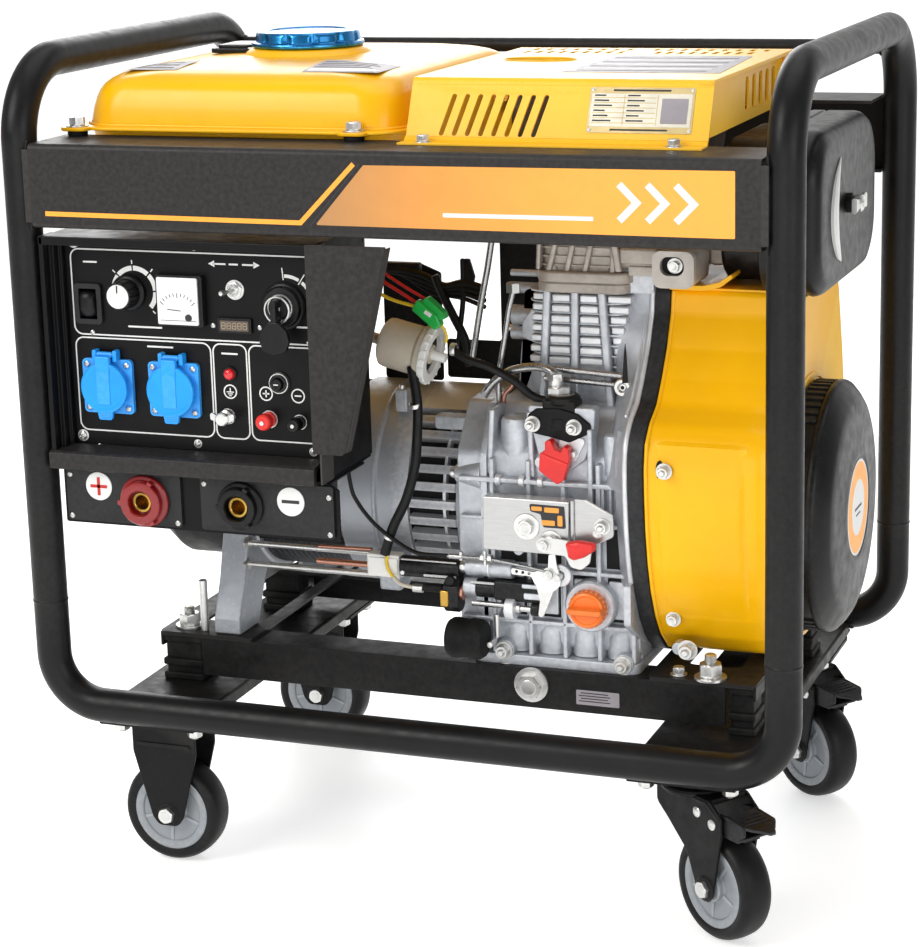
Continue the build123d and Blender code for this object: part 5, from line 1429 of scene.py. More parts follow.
# studs and bosses on the left
for z, r, x0, y in ((558, 3.2, 46, -44), (543.5, 5.2, 44, -40), (518, 9.5, 46, -40), (506, 4.4, 56, -42), (502, 6.2, 46, -44)):
    p.cyl("x", (x0, y, z), r, 34, 0.9, 26)
p.m("alloy").prism("y", rp([(60, 541), (76, 548), (76, 492), (56, 496), (54, 474), (50, 430), (78, 428)][:5] + [(50, 428), (80, 428)], 3, 3), -46, -30, 1.5, 2)
p.m("zinc").cyl("x", (42, -42, 506), 3.4, 10, 0.6, 18)
p.m("alloy").prism("y", rp([(76, 536), (60, 514), (60, 500), (76, 494)], 3, 3), -56, -40, 1.4, 2)
p.done()

p = Piece("cylinder_head_cast", replaces=("cylinder_head",), slot="cast_alloy", angle=32).m("alloy_head")
p.prism("z", rrect(125, 2, 88, 166, 15, 7), 547.6, 557.4, 2.2, 3)
p.prism("z", rrect(126, 2, 90.6, 169, 16, 7), 557.0, 567.4, 2.4, 3)
p.prism("z", rrect(124, 0, 78, 146, 10, 6), 566, 604, 1.2, 2)
for i in range(4):
    z = 572 + 8 * i
    p.prism("z", rrect(124, 0, 84, 150, 11, 6), z - 0.9, z + 0.9, 0.5, 2)
for a, b in ((97, 92), (113.5, 109), (130, 126), (150, 152)):
    slant_bar(p, b + 2, 567, a + 6, 603, 5.2, -79.5, -70, 1.6)
slant_bar(p, 160, 568, 154, 604, 6.5, -80.5, -66, 2.0)
slant_bar(p, 84, 568, 86, 604, 4.0, -79.5, -66, 1.6)
p.prism("z", rrect(120, -13, 84, 98, 12, 6), 603, 628, 3.0, 3)
for x, y in ((88, -52), (152, -52), (88, 26), (152, 26)):
    p.cyl("z", (x, y, 626), 6.5, 3, 0.6, 24)
# head studs through the band
for x in (96, 154):
    for y in (-70, 72):
        p.cyl("z", (x, y, 566), 6, 5, 0.8, 20)
# neck and inlet block at the right
p.box(158, 232, -40, 40, 575, 604, 4, 3)
p.cyl("x", (160, -64, 577), 10.5, 36, 1.0, 30)
p.box(160, 196, -78, -30, 575, 590, 3, 3)
p.box(168, 197, -76, -52, 564.5, 573.5, 1.6, 2)
p.m("alloy_head")
blk = rrect(215, 575, 38, 33, 8, 6)
p.sheet("y", blk, [rrect(214, 578, 22, 17, 7.5, 6)], -96, -88)
p.prism("y", blk, -88.3, -44, 1.2, 2)
p.box(232, 246, -38, 60, 570, 608, 3, 3)
# dark plate inside the inlet opening: painted shade
p.m("void_black").prism("y", rrect(214, 578, 21.8, 16.8, 7.4, 6), -88.6, -88.2, 0.1, 1)
p.bolt("-y", (215, -88.4, 577.5), 9, 5.5, 1.0, 0.3, spring=False)
p.done()

# casting web between the barrel and the fan casing, both sides
p = Piece("casing_web", slot="cast_alloy", angle=30).m("alloy")
for sgn in (-1, 1):
    loops = []
    for k in range(26):
        z = 384 + k * (569 - 384) / 25.0
        yf = -yv(z) if sgn < 0 else 150 - max(0, z - 470) * 0.24 - (8 if z > 520 else 0)
        t = min(1.0, max(0.0, (z - 384) / 70.0))
        xi = 158 - 4 * t
        yi = min(yf - 6, 70 + (1 - t) * 48)
        ym = min(yf - 3, yi + (yf - yi) * 0.55)
        loops.append([(x, sgn * y, z) for x, y in ((xi, 56), (xi, yi), (xi + (186 - xi) * 0.42, ym), (183, yf - 4), (185.5, yf), (190, yf), (190, 56))])
    p.loft(loops)
# painted highlight: pale rim tubes along the gasket and beside the slit; the slit recess is a dark plate of painted
# shade
line = [(187.6, yv(z) - 1.4, z) for z in range(224, 569, 6)]
p.m("alloy_light").tube(line, 2.6, 12, round_end=1.5)
p.tube([(180, yv(z) + 5.5, z) for z in range(448, 560, 6)], 1.6, 10, round_end=1)
p.m("void_black").prism(lambda a, b, h: Vector((171 + a, -96 + a * 0.4 + h, 488 + b)), [(-2.2, -16), (2.4, -16), (1.4, 10), (0.4, 20), (-0.8, 8)], -3.4, -1.4, 0.2, 1)
p.m("alloy").prism("y", rp([(160, 569), (190, 568), (190, 548), (162, 548)], 2.5, 3), -70, -56, 1.2, 2)
p.done()

p = Piece("crankcase_cast", replaces=("crankcase",), slot="cast_alloy", angle=32).m("alloy")
prof = rp([(-118, 222), (108, 222), (108, 402), (84, 446), (-82, 446), (-118, 404)], [10, 10, 14, 10, 10, 14], 5)
p.prism("x", prof, 16, 189, 2.0, 3)
p.prism("x", rp([(-108, 214), (100, 214), (100, 224), (-108, 224)], 3, 3), 30, 188, 1.0, 2)
p.prism("z", rrect(118, 0, 104, 152, 18, 6), 436, 447, 2.2, 3)
p.prism("z", rrect(116, 0, 116, 166, 20, 6), 424, 437, 3.0, 3)
p.prism("z", rrect(110, -5, 160, 246, 10, 5), 207.6, 218, 1.6, 2)
# ribs on the front
for x in (52, 87, 120, 153, 185):
    top = 402
    p.box(x - 2.2, x + 2.2, -126.5, -112, 218, top, 1.4, 3)
slant_bar(p, 146, 434, 146, 358, 4.6, -127.5, -110, 1.5)
slant_bar(p, 157, 384, 157, 352, 3.0, -125.5, -110, 1.0)
slant_bar(p, 164, 384, 164, 352, 3.0, -125.5, -110, 1.0)
slant_bar(p, 171, 384, 171, 352, 3.0, -125.5, -110, 1.0)
for z, w, y in ((250, 4.4, -126.5), (300, 4.6, -126), (382, 5.0, -127), (345, 4, -124)):
    p.box(20, 186, y, -112, z - w / 2, z + w / 2, 1.4, 3)
p.m("alloy_light")
for x in (55.5, 78, 96):
    p.cyl("x", (x, -123.5, 382), 5.4, 5.5, 1.0, 24)
# bottom row: barrel shaped pockets between the ribs
p.m("alloy")
for x0, x1 in ((56, 83), (91, 116), (124, 149), (157, 182)):
    xc = (x0 + x1) / 2
    p.loft([[(xc + (x1 - x0) / 2 * s * k, -113 - 8.0 * k2 * sqrt(max(0.0, 1 - (s * 0.98) ** 2)), z) for s in [-1 + 2 * i / 12 for i in range(13)]] + [(xc + (x1 - x0) / 2 * k, -110, z), (xc - (x1 - x0) / 2 * k, -110, z)] for z, k, k2 in ((219, 0.96, 1.0), (224, 1, 1.05), (238, 1, 1.0), (246, 0.96, 0.6))])
    # dark plate deep in each lower pocket: painted shade
    p.m("void_black").box(x0 + 2, x1 - 2, -118.6, -117.4, 254, 296, 0.4, 1)
    p.m("alloy").box(x0 + 3.5, x1 - 3.5, -121, -117, 257, 293, 1.6, 2)
for x0, x1 in ((56, 83), (91, 116), (124, 149), (157, 182)):
    # dark plates in the middle row of pockets: painted shade
    p.m("void_black").box(x0 + 1, x1 - 1, -118.5, -117.6, 304, 341, 0.4, 1)
p.m("alloy")
# barrel shapes above the upper rib
for xc, r, z0, z1, y in ((70, 15, 387, 438, -103), (164, 9, 388, 428, -112)):
    p.cyl("z", (xc, y, z0), r, z1 - z0, 5, 40)
slant_bar(p, 52, 446, 48, 386, 5, -121, -90, 1.6)
slant_bar(p, 88, 446, 90, 386, 5, -123, -90, 1.6)
# half-round mounting plate behind the injection pump
p.prism("y", rp([(86, 452), (150, 452), (148, 428), (140, 404), (120, 389), (106, 391), (96, 405), (90, 428)], [3, 3, 6, 10, 10, 8, 10, 6], 5), -121, -104, 1.8, 3)
p.m("alloy_light").prism("y", rp([(112, 402), (132, 404), (142, 424), (118, 428)], 3, 3), -123, -119, 1.2, 2)
p.m("alloy")
# upper rear and side ribs
for x in (40, 80, 120, 160):
    p.box(x - 2.2, x + 2.2, 100, 114, 226, 404, 1.4, 2)
for z in (262, 330, 390):
    p.box(22, 186, 100, 113, z - 2.2, z + 2.2, 1.4, 2)
for x in (62, 100, 140, 176):
    slant_bar(p, x, 400, x, 446, 4.0, 78, 96, 1.4)
# front flange rib next to the bell, with the rim of the casing
p.prism("x", rp([(-124, 226), (-124, 404), (-96, 446), (96, 446), (114, 404), (114, 226)], 8, 4), 40, 47, 1.5, 2)
p.prism("x", rp([(-110, 226), (-110, 400), (-80, 440), (80, 440), (100, 400), (100, 226)], 8, 4), 17, 23, 1.5, 2)
# right casing flange standing in front of the gasket
loops = []
for k in range(20):
    z = 228 + k * (436 - 228) / 19.0
    a = yv(z)
    i = max(a + 16, -114) if a > -112 else -112
    loops.append([(168, max(i, -112), z), (174, min(i, a + 14) if a < -118 else i, z), (181, a + 9, z), (184, a + 2.5, z), (186, a, z), (190, a, z), (190, -60, z)])
p.loft(loops)
loops = []
for k in range(14):
    z = 236 + k * (420 - 236) / 13.0
    a = 141 + 26 * sin((z - 236) / 184.0 * pi * 0.8)
    loops.append([(172, 104, z), (177, 112, z), (184, a - 6, z), (187, a, z), (190, a, z), (190, 98, z)])
p.loft(loops)
# lower closing wall next to the casing
p.prism("x", rp([(-150, 262), (-112, 236), (-78, 223), (-40, 216), (40, 216), (78, 223), (112, 236), (150, 262), (150, 300), (-150, 300)], 6, 3), 183, 190, 1.5, 2)
# oil filler boss
p.ring("-y", (146, -116, 271), 12.8, 24, 16.6, 1.6, 44)
p.m("alloy_light").ring("-y", (146, -132.0, 271), 12.6, 17.5, 0.8, 0.3, 44)
p.m("alloy")
# base bolts with round pads, drain plug seat
for x in (62, 176):
    p.cyl("-y", (x, -118, 222 if x < 100 else 218), 9.5, 11, 1.2, 28)
p.cyl("-y", (226, -112, 236), 6, 12, 1, 20)
p.done()

# injection pump, red lever, pipes
p = Piece("pump_and_flange", replaces=("injection_pump",), slot="black_steel", angle=32).m("steel_black")
dia = rp([(86, 443), (92, 427), (110, 424), (126, 420), (146, 430), (146, 438), (134, 447), (118, 451), (95, 450)], [5, 5, 6, 6, 5, 4, 5, 5, 5], 5)
p.prism("y", dia, -124, -112, 1.6, 3)
p.rev("z", (116, -108, 431), [(0, 0), (17, 0), (17.4, 1), (17, 10), (14.6, 13), (14.4, 22), (15.6, 23.5), (15.6, 28), (13, 30), (0, 30)], 44)
p.box(100, 132, -122, -100, 446, 458, 3, 3)
p.m("steel_pipe").ring("z", (114, -107, 459.5), 8, 12.2, 2.2, 0.5, 36)
p.m("zinc").add(t_hex("z", (111, -105, 461.4), 19, 6.5, 0.3))
p.m("zinc").cyl("z", (108, -104, 467), 6.6, 9, 1.0, 28)
p.add(t_hex("z", (107, -103.5, 473), 14, 6, 0.1))
for x, z in ((92, 436), (131, 435)):
    p.bolt("-y", (x, -124, z), 9.5, 6.5, 1.2, 0.4, stud=3.5)
# red rod and lever with two prongs
p.m("red_plastic").prism("y", rp([(101, 396), (102, 412), (107, 415), (107, 423), (112, 425), (116, 417), (122, 414), (124, 420), (129, 418), (130, 408), (124, 388), (118, 384)], [2, 2, 1, 1.5, 1.5, 1, 1, 1.5, 1.5, 2, 2, 2], 4), -136, -125, 1.4, 3)
p.prism("y", rp([(103, 413), (129, 404), (128, 401), (103, 409.5)], 0.8, 2), -137.2, -130, 0.5, 2)
p.m("zinc").cyl("-y", (131, -124, 411), 2.6, 6, 0.5, 16)
p.m("alloy_light").cyl("-y", (97, -118, 400), 4.8, 4, 0.8, 20)
p.done()

p = Piece("high_pressure_pipe", replaces=("injection_pipe",), slot="stainless", angle=40).m("steel_pipe")
p.tube(cat([(107, -103.5, 476), (103, -103, 480.5), (92, -100, 482.8), (76, -97, 481), (60, -95, 476), (48, -94, 468), (39, -93, 459), (34, -90, 452)], 8), 3.9, 16)
p.m("copper_rod").tube(cat([(62, -84, 466), (58, -84, 459), (52, -84, 452), (50, -84, 440)], 6), 2.2, 12)
p.m("steel_pipe").tube([(46, -84, 404), (46, -84, 470), (52, -84, 500), (56, -80, 530), (60, -78, 548)], 2.6, 12)
p.m("zinc").add(t_hex("z", (60, -78, 546), 12, 9, 0.2))
# two thin rods to a banjo ring
p.m("steel_pipe").tube([(80, -88, 480.5), (165, -88, 476)], 3.0, 16, round_end=1.5)
p.tube([(92, -88, 470.5), (160, -88, 467.6)], 2.7, 16, round_end=1.5)
p.m("zinc").ring("-y", (166.5, -84, 466), 3.4, 8.4, 9, 1.2, 40)
p.m("zinc").cyl("-y", (166.5, -84, 466), 3.6, 7.6, 0.8, 24)
# dark disc in the banjo bore: painted shade
p.m("void_black").cyl("-y", (166.5, -91.4, 466), 1.8, 0.4, 0.1, 16)
p.m("zinc").add(t_hex("y", (166.5, -84, 466), 13, 5, 0.4))
p.done()

# control plates
p = Piece("governor_plates", replaces=("control_plate",), slot="zinc", angle=32).m("stainless")
p.prism("y", rp([(53, 373), (134, 372), (133, 323.5), (52, 324)], 1.8, 4), -152, -149.5, 0.8, 3)
p.m("zinc").box(53, 134, -152, -136, 371.2, 373.2, 0.9, 3)
p.box(53, 55.4, -151, -132, 325, 372, 0.8, 3)
p.m("stainless").prism("y", rp([(137, 375.5), (148, 375.5), (174, 362), (174.5, 343), (160, 335.6), (136, 335.6)], [2.5, 4, 5, 5, 5, 2], 5), -148.5, -146, 0.8, 3)
p.m("zinc").tube([(148, -147.6, 375.0), (173, -147.6, 362.2)], 1.3, 10, round_end=0.8)
p.m("stainless").tube([(136.4, -148.6, 337), (136.4, -148.6, 374)], 2.4, 14, round_end=1.2)
p.tube([(131.6, -150.6, 326), (131.6, -150.6, 371)], 1.6, 12, round_end=0.8)
p.m("zinc")
for x, z, af in ((94, 348, 13), (117, 337, 10)):
    p.ring("-y", (x, -151.6, z), 4, af * 0.95, 1.4, 0.5, 36)
    p.bolt("-y", (x, -152.6, z), af, 5.0, 0, 0.3)
p.bolt("-y", (164, -148.2, 352), 10, 5.0, 1.4, 0.5, stud=2.5)
p.bolt("-y", (160, -148.2, 346), 8, 4.0, 0, 0.2)
# small decal: dark patch with amber bars
p.m("ink_dark").prism("y", rp([(97, 369.5), (130, 369), (131, 348.5), (110, 348.5), (107.5, 360.5), (98, 362.5)], 1.6, 3), -152.3, -151.9, 0.05, 1)
p.m("decal_orange")
for x0, x1, z0, z1 in ((99, 109, 363.5, 367.4), (111.2, 125, 362.6, 367.2), (108.6, 121, 350.6, 355.4), (123.5, 128.2, 350.6, 360.4)):
    p.prism("y", rrect((x0 + x1) / 2, (z0 + z1) / 2, x1 - x0, z1 - z0, 1.0, 3), -152.6, -152.2, 0.05, 1)
p.done()

p = Piece("speed_lever_arm", "speed_lever", ("speed_lever",), "zinc", angle=32).m("zinc")
p.prism("y", rp([(105, 330), (112, 326), (132, 325), (137, 315), (147, 313), (155, 320), (157, 333), (150, 338), (120, 341), (106, 340)], [4, 3, 4, 5, 6, 6, 4, 4, 4, 5], 5), -158.4, -156.2, 0.7, 3)
p.bolt("-y", (112, -158.2, 334), 9, 3.4, 0.8, 0.2, spring=False)
p.cyl("-y", (112, -152.6, 334), 4.4, 4.4, 0.5, 24)
p.m("red_plastic").loft([[(148 + (a - 148) * k, y, 334 + (b - 334) * k) for a, b in rp([(133, 339), (146, 341.5), (162, 340), (161, 333), (151, 326), (141, 322.5), (136, 325)], [3, 4, 3, 3, 5, 3, 3], 5)] for y, k in ((-158.0, 0.96), (-159.4, 1.0), (-162.6, 0.96), (-164.8, 0.82), (-165.8, 0.55), (-166.0, 0.2))])
p.done()

# solenoid, linkage and little motor
p = Piece("stop_linkage", replaces=("stop_solenoid",), slot="zinc", angle=34)
p.m("white_plastic").box(-71, -38.5, -132, -118, 283, 305, 1.6, 3)
p.box(-69, -40, -133.2, -131.4, 286, 302, 0.8, 2)
p.m("starter_black").cyl("x", (-37, -128, 295.5), 9.4, 59, 1.2, 40)
p.box(-36, 20, -136, -120, 286.5, 292, 1.6, 2)
p.m("steel_pipe").box(-36, 19, -134.6, -132.8, 301.5, 303.6, 0.6, 2)
p.box(-12, 20, -139.0, -137.2, 289, 291.6, 0.5, 2)
p.m("zinc").cyl("-y", (-33, -136, 291), 2.2, 3, 0.6, 14)
p.m("zinc").rev("x", (21, -130, 299), [(0, 0), (3.5, 0), (5.4, 1.4), (6, 4), (5.4, 6.6), (3.5, 8), (0, 8)], 28)
p.m("alloy").cyl("x", (28, -130, 300), 8.2, 23, 1.2, 36)
p.cyl("x", (51.5, -130, 300), 8.8, 22, 1.4, 36)
p.m("alloy_light").ring("x", (49.8, -130, 300), 5, 9.4, 2.2, 0.5, 36)
# perforated arm with the pivot
arm = rp([(77, 307), (98, 304.5), (112, 309), (113, 322), (119, 323), (120.5, 310), (124, 302), (123, 293), (116, 287), (106, 285), (99, 294), (96, 300.5), (77, 301)], [2, 3, 3, 1.5, 1.5, 3, 4, 5, 4, 4, 5, 3, 2], 4)
p.m("zinc").sheet("y", arm, [circ(82, 304, 1.5, 12), circ(88, 303.4, 1.5, 12), circ(94, 303, 1.5, 12)], -147.6, -145.4)
p.m("alloy_light").ring("-y", (122, -140, 302), 4, 10.5, 4, 0.8, 36)
p.m("zinc").cyl("-y", (122, -138, 302), 3.4, 16, 0.6, 20)
p.bolt("-y", (113, -147.4, 304), 8, 3.6, 0.8, 0.3, spring=False)
p.prism("y", rp([(99, 294), (118, 292), (112, 276), (106, 262), (101, 262), (103, 277)], [2, 2, 3, 2, 2, 3], 3), -145.6, -143.6, 0.6, 2)
# control rods with nuts
p.m("steel_pipe").tube([(14, -143, 312), (30, -143, 312.2), (52, -144, 312.8), (80, -145.5, 310), (116, -148, 305.5)], 1.5, 10, round_end=0.6)
p.tube([(16, -143, 312), (28, -143, 312)], 2.6, 12)
p.m("zinc")
for x in (47, 54):
    p.add(t_hex("x", (x, -144, 312.8), 7, 3.6, 0.2))
p.cyl("z", (27, -143, 309), 1.8, 8, 0.4, 12)
p.cyl("z", (50.6, -144, 306), 1.5, 14, 0.4, 12)
p.m("alloy").cyl("-y", (82, -124, 322), 4.6, 18, 0.8, 20)
# second row: dark body, rods, clamp ring and bolt
p.m("starter_black").box(56, 101, -140, -120, 272, 291, 3, 3)
p.m("starter_black").cyl("x", (38, -132, 281), 8.6, 20, 1.2, 32)
p.m("alloy").cyl("x", (26, -132, 281), 8.8, 14, 2.0, 32)
p.m("steel_pipe").box(34, 58, -141.4, -139.8, 287, 289.4, 0.5, 2)
p.m("steel_pipe").tube([(36, -140, 268.4), (70, -140, 268.0)], 2.7, 14, round_end=0.8)
p.m("alloy_light").cyl("x", (68, -137, 265), 10.5, 9.5, 1.6, 36)
p.m("zinc").cyl("x", (76, -138, 266), 4.4, 6, 0.6, 24)
p.m("zinc").cyl("x", (82, -138, 266), 2.8, 12, 0.6, 18)
p.m("starter_black").cyl("x", (92, -136, 266), 6.4, 8, 1.2, 26)
p.m("alloy").box(86, 104, -142, -124, 276, 282, 1.5, 2)
p.m("alloy").box(84, 100, -141, -124, 286, 290, 1.2, 2)
# mounting bracket of the row
p.m("alloy").prism("y", rp([(30, 292), (58, 292), (58, 258), (48, 246), (34, 258)], 3, 3), -124, -116, 1.5, 2)
# brass nut on a black block
p.m("starter_black").prism("x", rp([(-146, 264), (-146, 283), (-138, 290), (-130, 290), (-126, 283), (-126, 262), (-132, 258), (-140, 258)], 2.5, 3), 9, 24, 1.2, 2)
p.m("brass").box(6.6, 15, -147.6, -136, 264, 280, 1.8, 3)
p.m("copper_rod").cyl("x", (23, -136, 276), 7, 4, 0.8, 28)
p.m("starter_black").cyl("-y", (15, -132, 288), 4.6, 12, 1.2, 20)
# round rubber foot motor
p.m("rubber").rev("x", (14, -146, 236), [(0, 0), (12, 0), (16, 1.2), (18.5, 5), (19, 10), (18, 15), (17.6, 20), (19, 23), (18.6, 32), (16, 36), (0, 36)], 48)
p.m("zinc").cyl("-y", (56, -140, 233), 2.8, 12, 0.5, 18)
p.m("zinc").cyl("z", (58, -136, 236), 2.6, 22, 0.6, 16)
p.done()

# fuel filter with its connectors
p = Piece("fuel_filter_body", replaces=("fuel_filter",), slot="cream_plastic", angle=34).m("cream_plastic")
FT = Matrix.Translation((-35, -104, 496)) @ Matrix.Rotation(radians(13), 4, "Y") @ Matrix.Translation((35, 104, -496))
p.add(t_rev("x", (-60, -104, 496), [(0, 0), (8, 0), (19, 2), (22.2, 4.5), (23, 8), (23, 38), (24.6, 40), (25.4, 42), (25.4, 46), (0, 46)], 56), FT)
p.m("white_plastic").add(t_rev("x", (-14, -104, 496), [(17.5, 0), (27, 0), (27.2, 1), (27.2, 5.6), (26.4, 6.4), (18.4, 6.4), (17.5, 5.6)], 64, closed=True), FT)
for i in range(20):
    a = 2 * pi * i / 20
    p.add(t_box(-12.5, -7.2, -104 + 26.8 * cos(a) - 1.3, -104 + 26.8 * cos(a) + 1.3, 496 + 26.8 * sin(a) - 1.3, 496 + 26.8 * sin(a) + 1.3, 0.4, 1), FT)
# dark disc inside the white ring: painted shade in the recess
p.m("void_black").add(t_cyl("x", (-14.2, -104, 496), 18, 1.2, 0.1, 40), FT)
p.m("cream_plastic").add(t_cyl("x", (-14, -104, 496), 9, 4.5, 1.0, 36), FT)
p.m("white_plastic").add(t_cyl("x", (-11, -104, 496), 4.6, 15, 0.8, 24), FT)
p.m("cream_plastic").add(t_cyl("x", (-72, -104, 496), 5, 13, 0.8, 24), FT)
p.done()

# =====================================================================================
# hoses, cables and rods round the filter and the alternator
# =====================================================================================
p = Piece("hoses_and_cables", replaces=("engine_lines",), slot="rubber", angle=50)
# thick hose from the filter down to the white block
p.m("hose").tube(cat([(-24, -122, 482), (-17, -128, 450), (-17, -131, 420), (-19, -134, 392), (-28, -135, 361), (-42, -135, 333), (-52, -133, 306)], 8), 4.6, 18, round_end=1)
p.m("zinc")
for k, q in enumerate(((-18.5, -128.5, 446), (-47, -135, 322))):
    p.ring((-0.1, -0.2, 1) if k == 0 else (0.5, 0, 1), q, 4.5, 5.6, 4, 0.3, 24)
p.m("hose").tube(cat([(-72, -104, 496), (-88, -104, 500), (-93, -100, 520), (-93, -96, 560), (-93, -92, 614)], 8), 4.6, 16, round_end=1)
p.m("zinc").ring("x", (-82, -104, 497.5), 4.5, 6.0, 4, 0.4, 24)
p.m("hose").tube(cat([(7, -104, 497), (24, -106, 488), (44, -105, 482), (66, -102, 470), (84, -100, 456), (100, -102, 452)], 8), 3.8, 14, round_end=1)
p.m("zinc").ring("x", (8, -104, 496), 4.2, 6.0, 5, 0.5, 24)
# thin cable sweeping round the bell to the linkage
p.m("hose").tube(cat([(-84, -140, 470), (-85, -140, 420), (-81, -140, 373), (-74, -140, 355), (-58, -140, 336), (-37, -140, 321), (-16, -141, 312), (14, -142, 312)], 8), 1.9, 12, round_end=0.5)
p.tube(cat([(-84, -140, 470), (-80, -138, 520), (-70, -136, 570), (-60, -134, 612)], 6), 1.9, 12, round_end=0.5)
# straps and looms behind
p.tube(cat([(-43, -8, 545), (-36, -10, 530), (-24, -12, 508), (-12, -14, 486), (-8, -14, 462)], 6), 4.2, 14, round_end=1)
p.tube(cat([(-14, -10, 562), (-14, -10, 545), (-15, -10, 520), (-18, -12, 494), (-20, -14, 470)], 6), 2.6, 12, round_end=1)
p.m("steel_black").prism("y", rp([(-15, 544), (-4, 538), (-2, 546), (-7, 563), (-13, 563)], 1.5, 3), -12, -8, 0.6, 2)
p.box(-96, -60, -6, 4, 547, 556, 2, 2)
# stay rod
p.m("steel_pipe").tube([(34, -60, 592), (29, -60, 564), (22, -60, 532), (13, -62, 480)], 3.0, 16, round_end=1)
# connector with red and yellow wires
p.m("wire_green").prism("y", rp([(-25, 533), (-20, 543), (-1, 529), (3, 520), (-3, 515)], 2.2, 4), -116, -105, 1.4, 3)
p.prism("y", rp([(-16, 540), (-12, 545), (4, 531), (6, 525), (1, 524)], 1.8, 3), -112, -101, 1.2, 3)
p.m("ink_white").prism("y", rp([(-13, 531), (-11, 534), (-5, 530), (-7, 527)], 0.6, 2), -116.4, -115.8, 0.1, 1)
p.m("wire_red").tube(cat([(-92, -96, 577), (-74, -102, 567), (-59, -107, 559), (-40, -109, 549), (-22, -110, 539)], 6), 1.6, 10, round_end=0.4)
p.tube(cat([(-90, -94, 581), (-70, -100, 572), (-52, -104, 562), (-30, -106, 550), (-12, -107, 541)], 6), 1.4, 10, round_end=0.4)
p.m("wire_yellow").tube(cat([(-94, -98, 572), (-76, -104, 560), (-62, -108, 548), (-46, -110, 541), (-24, -111, 536)], 6), 1.6, 10, round_end=0.4)
p.tube(cat([(2, -110, 519), (5, -110, 514), (6, -109, 508), (4, -107, 503)], 6), 1.3, 10, round_end=0.4)
# flat dark sheets standing behind the filter: painted shade filling the gap behind the engine; looms in front of them
p.m("steel_black").prism("y", rp([(-104, 440), (-104, 549), (-92, 553), (-64, 553), (-44, 545), (-44, 440)], 3, 3), 10, 12, 0.6, 2)
p.prism("y", rp([(-46, 440), (-46, 478), (10, 478), (10, 600), (64, 600), (64, 440)], 3, 3), 26, 28, 0.6, 2)
p.m("hose")
for k in range(4):
    p.tube(cat([(-100 + 6 * k, 0, 545 + 2 * k), (-80 + 5 * k, -4, 549 - 4 * k), (-56 + 4 * k, -6, 545 - 6 * k), (-34, -8, 536 - 3 * k), (-14, -10, 540 - 5 * k), (8, -12, 536 - 6 * k)], 6), 3.4 - 0.4 * k, 12, round_end=1)
# copper rods behind the panel
p.m("copper_rod").tube([(-128, -112, 302), (-74, -112, 303)], 1.7, 12, round_end=0.5)
p.tube([(-128, -116, 289), (-70, -116, 289)], 3.0, 14, round_end=0.5)
# yellow and pale wire with its plug
p.m("wire_yellow").tube(cat([(-49, -134.5, 307), (-50, -134.8, 298), (-47, -135.5, 290), (-41, -137, 284)], 6), 1.5, 10, round_end=0.4)
p.m("cream_plastic").tube(cat([(-42, -137, 285), (-34, -139, 280), (-20, -140, 278)], 6), 1.9, 12, round_end=0.4)
p.m("zinc").cyl("x", (-22, -140, 278), 4.0, 10, 0.8, 20)
p.m("rubber").cyl("x", (-12.5, -139, 279), 3.8, 19.5, 0.8, 20)
p.done()

# =====================================================================================
# alternator
# =====================================================================================
AX = (0, 0, 345)
SL = [radians(180 - (5.2 + 10.3 * k)) for k in range(-4, 6)]
p = Piece("alternator_bell_casting", replaces=("alternator_bell",), slot="cast_alloy", angle=30).m("alloy_bell")
# left skirt with its crease, right rim
p.rev("x", AX, [(88, -115), (93.5, -115), (95.5, -113), (96, -106), (96, -80), (97.2, -78.6), (97.6, -77.4), (97.2, -76), (95.4, -74.5), (94.8, -70), (94.6, -44), (88.5, -44)], 110, closed=True)
p.rev("x", AX, [(86, 5), (94.6, 5), (95.5, 7), (95.5, 14), (100, 17), (100, 21), (86, 21)], 110, closed=True)
p.m("alloy_bell")
HALF = radians(2.75)
for side in (0, 1):
    angs = SL if side == 0 else [pi - a for a in SL]
    angs = sorted(angs)
    for i in range(len(angs) + 1):
        if i == 0:
            continue
        if i < len(angs):
            a0, a1 = angs[i - 1] + HALF, angs[i] - HALF
            p.rev("x", AX, [(84, -43), (92.6, -43.5), (94.2, -42), (94.4, 3.4), (92.6, 5.4), (84, 5.4)], 4, closed=True, a0=a0, arc=a1 - a0)
lo_f, hi_f = min(SL) - HALF, max(SL) + HALF
lo_b, hi_b = pi - hi_f, pi - lo_f
for a0, a1 in ((hi_b, lo_f), (hi_f, lo_b + 2 * pi)):
    p.rev("x", AX, [(84, -44.2), (94.6, -44.2), (94.6, 5.6), (84, 5.6)], 44, closed=True, a0=a0, arc=a1 - a0)
# thin bar crossing the louvres, inside
p.m("alloy").rev("x", AX, [(84, -9.4), (91.4, -9.4), (91.4, -6.6), (84, -6.6)], 100, closed=True)
# dark sleeve inside the louvres: painted shade seen through the slots
p.m("void_black").rev("x", AX, [(82.6, -46), (83.4, -46), (83.4, 8), (82.6, 8)], 72, closed=True)
# conical boss, lugs
p.m("alloy").rev("x", (13, -112, 383), [(0, 0), (7, 0), (8.4, 1.4), (11, 12), (13.6, 24), (13.6, 27), (0, 27)], 36)
p.m("zinc").rev("x", (7, -112, 383), [(0, 0), (3.6, 0.3), (5, 2), (5, 6.4), (0, 6.4)], 24)
p.m("alloy_bell").box(-66, -54, -62, -50, 424, 446, 2, 3)
p.m("zinc").cyl("z", (-60, -58, 446), 3, 4, 0.6, 16)
p.m("alloy_bell").box(-74, -44, -110, -86, 276, 300, 3, 3)
p.box(-70, -48, -106, -80, 262, 280, 3, 3)
for s in (-1, 1):
    p.box(-20, 12, s * 78 - 8, s * 78 + 8, 418, 434, 3, 3) if s > 0 else p.box(-20, 12, -80, -64, 414, 428, 3, 3)
p.done()

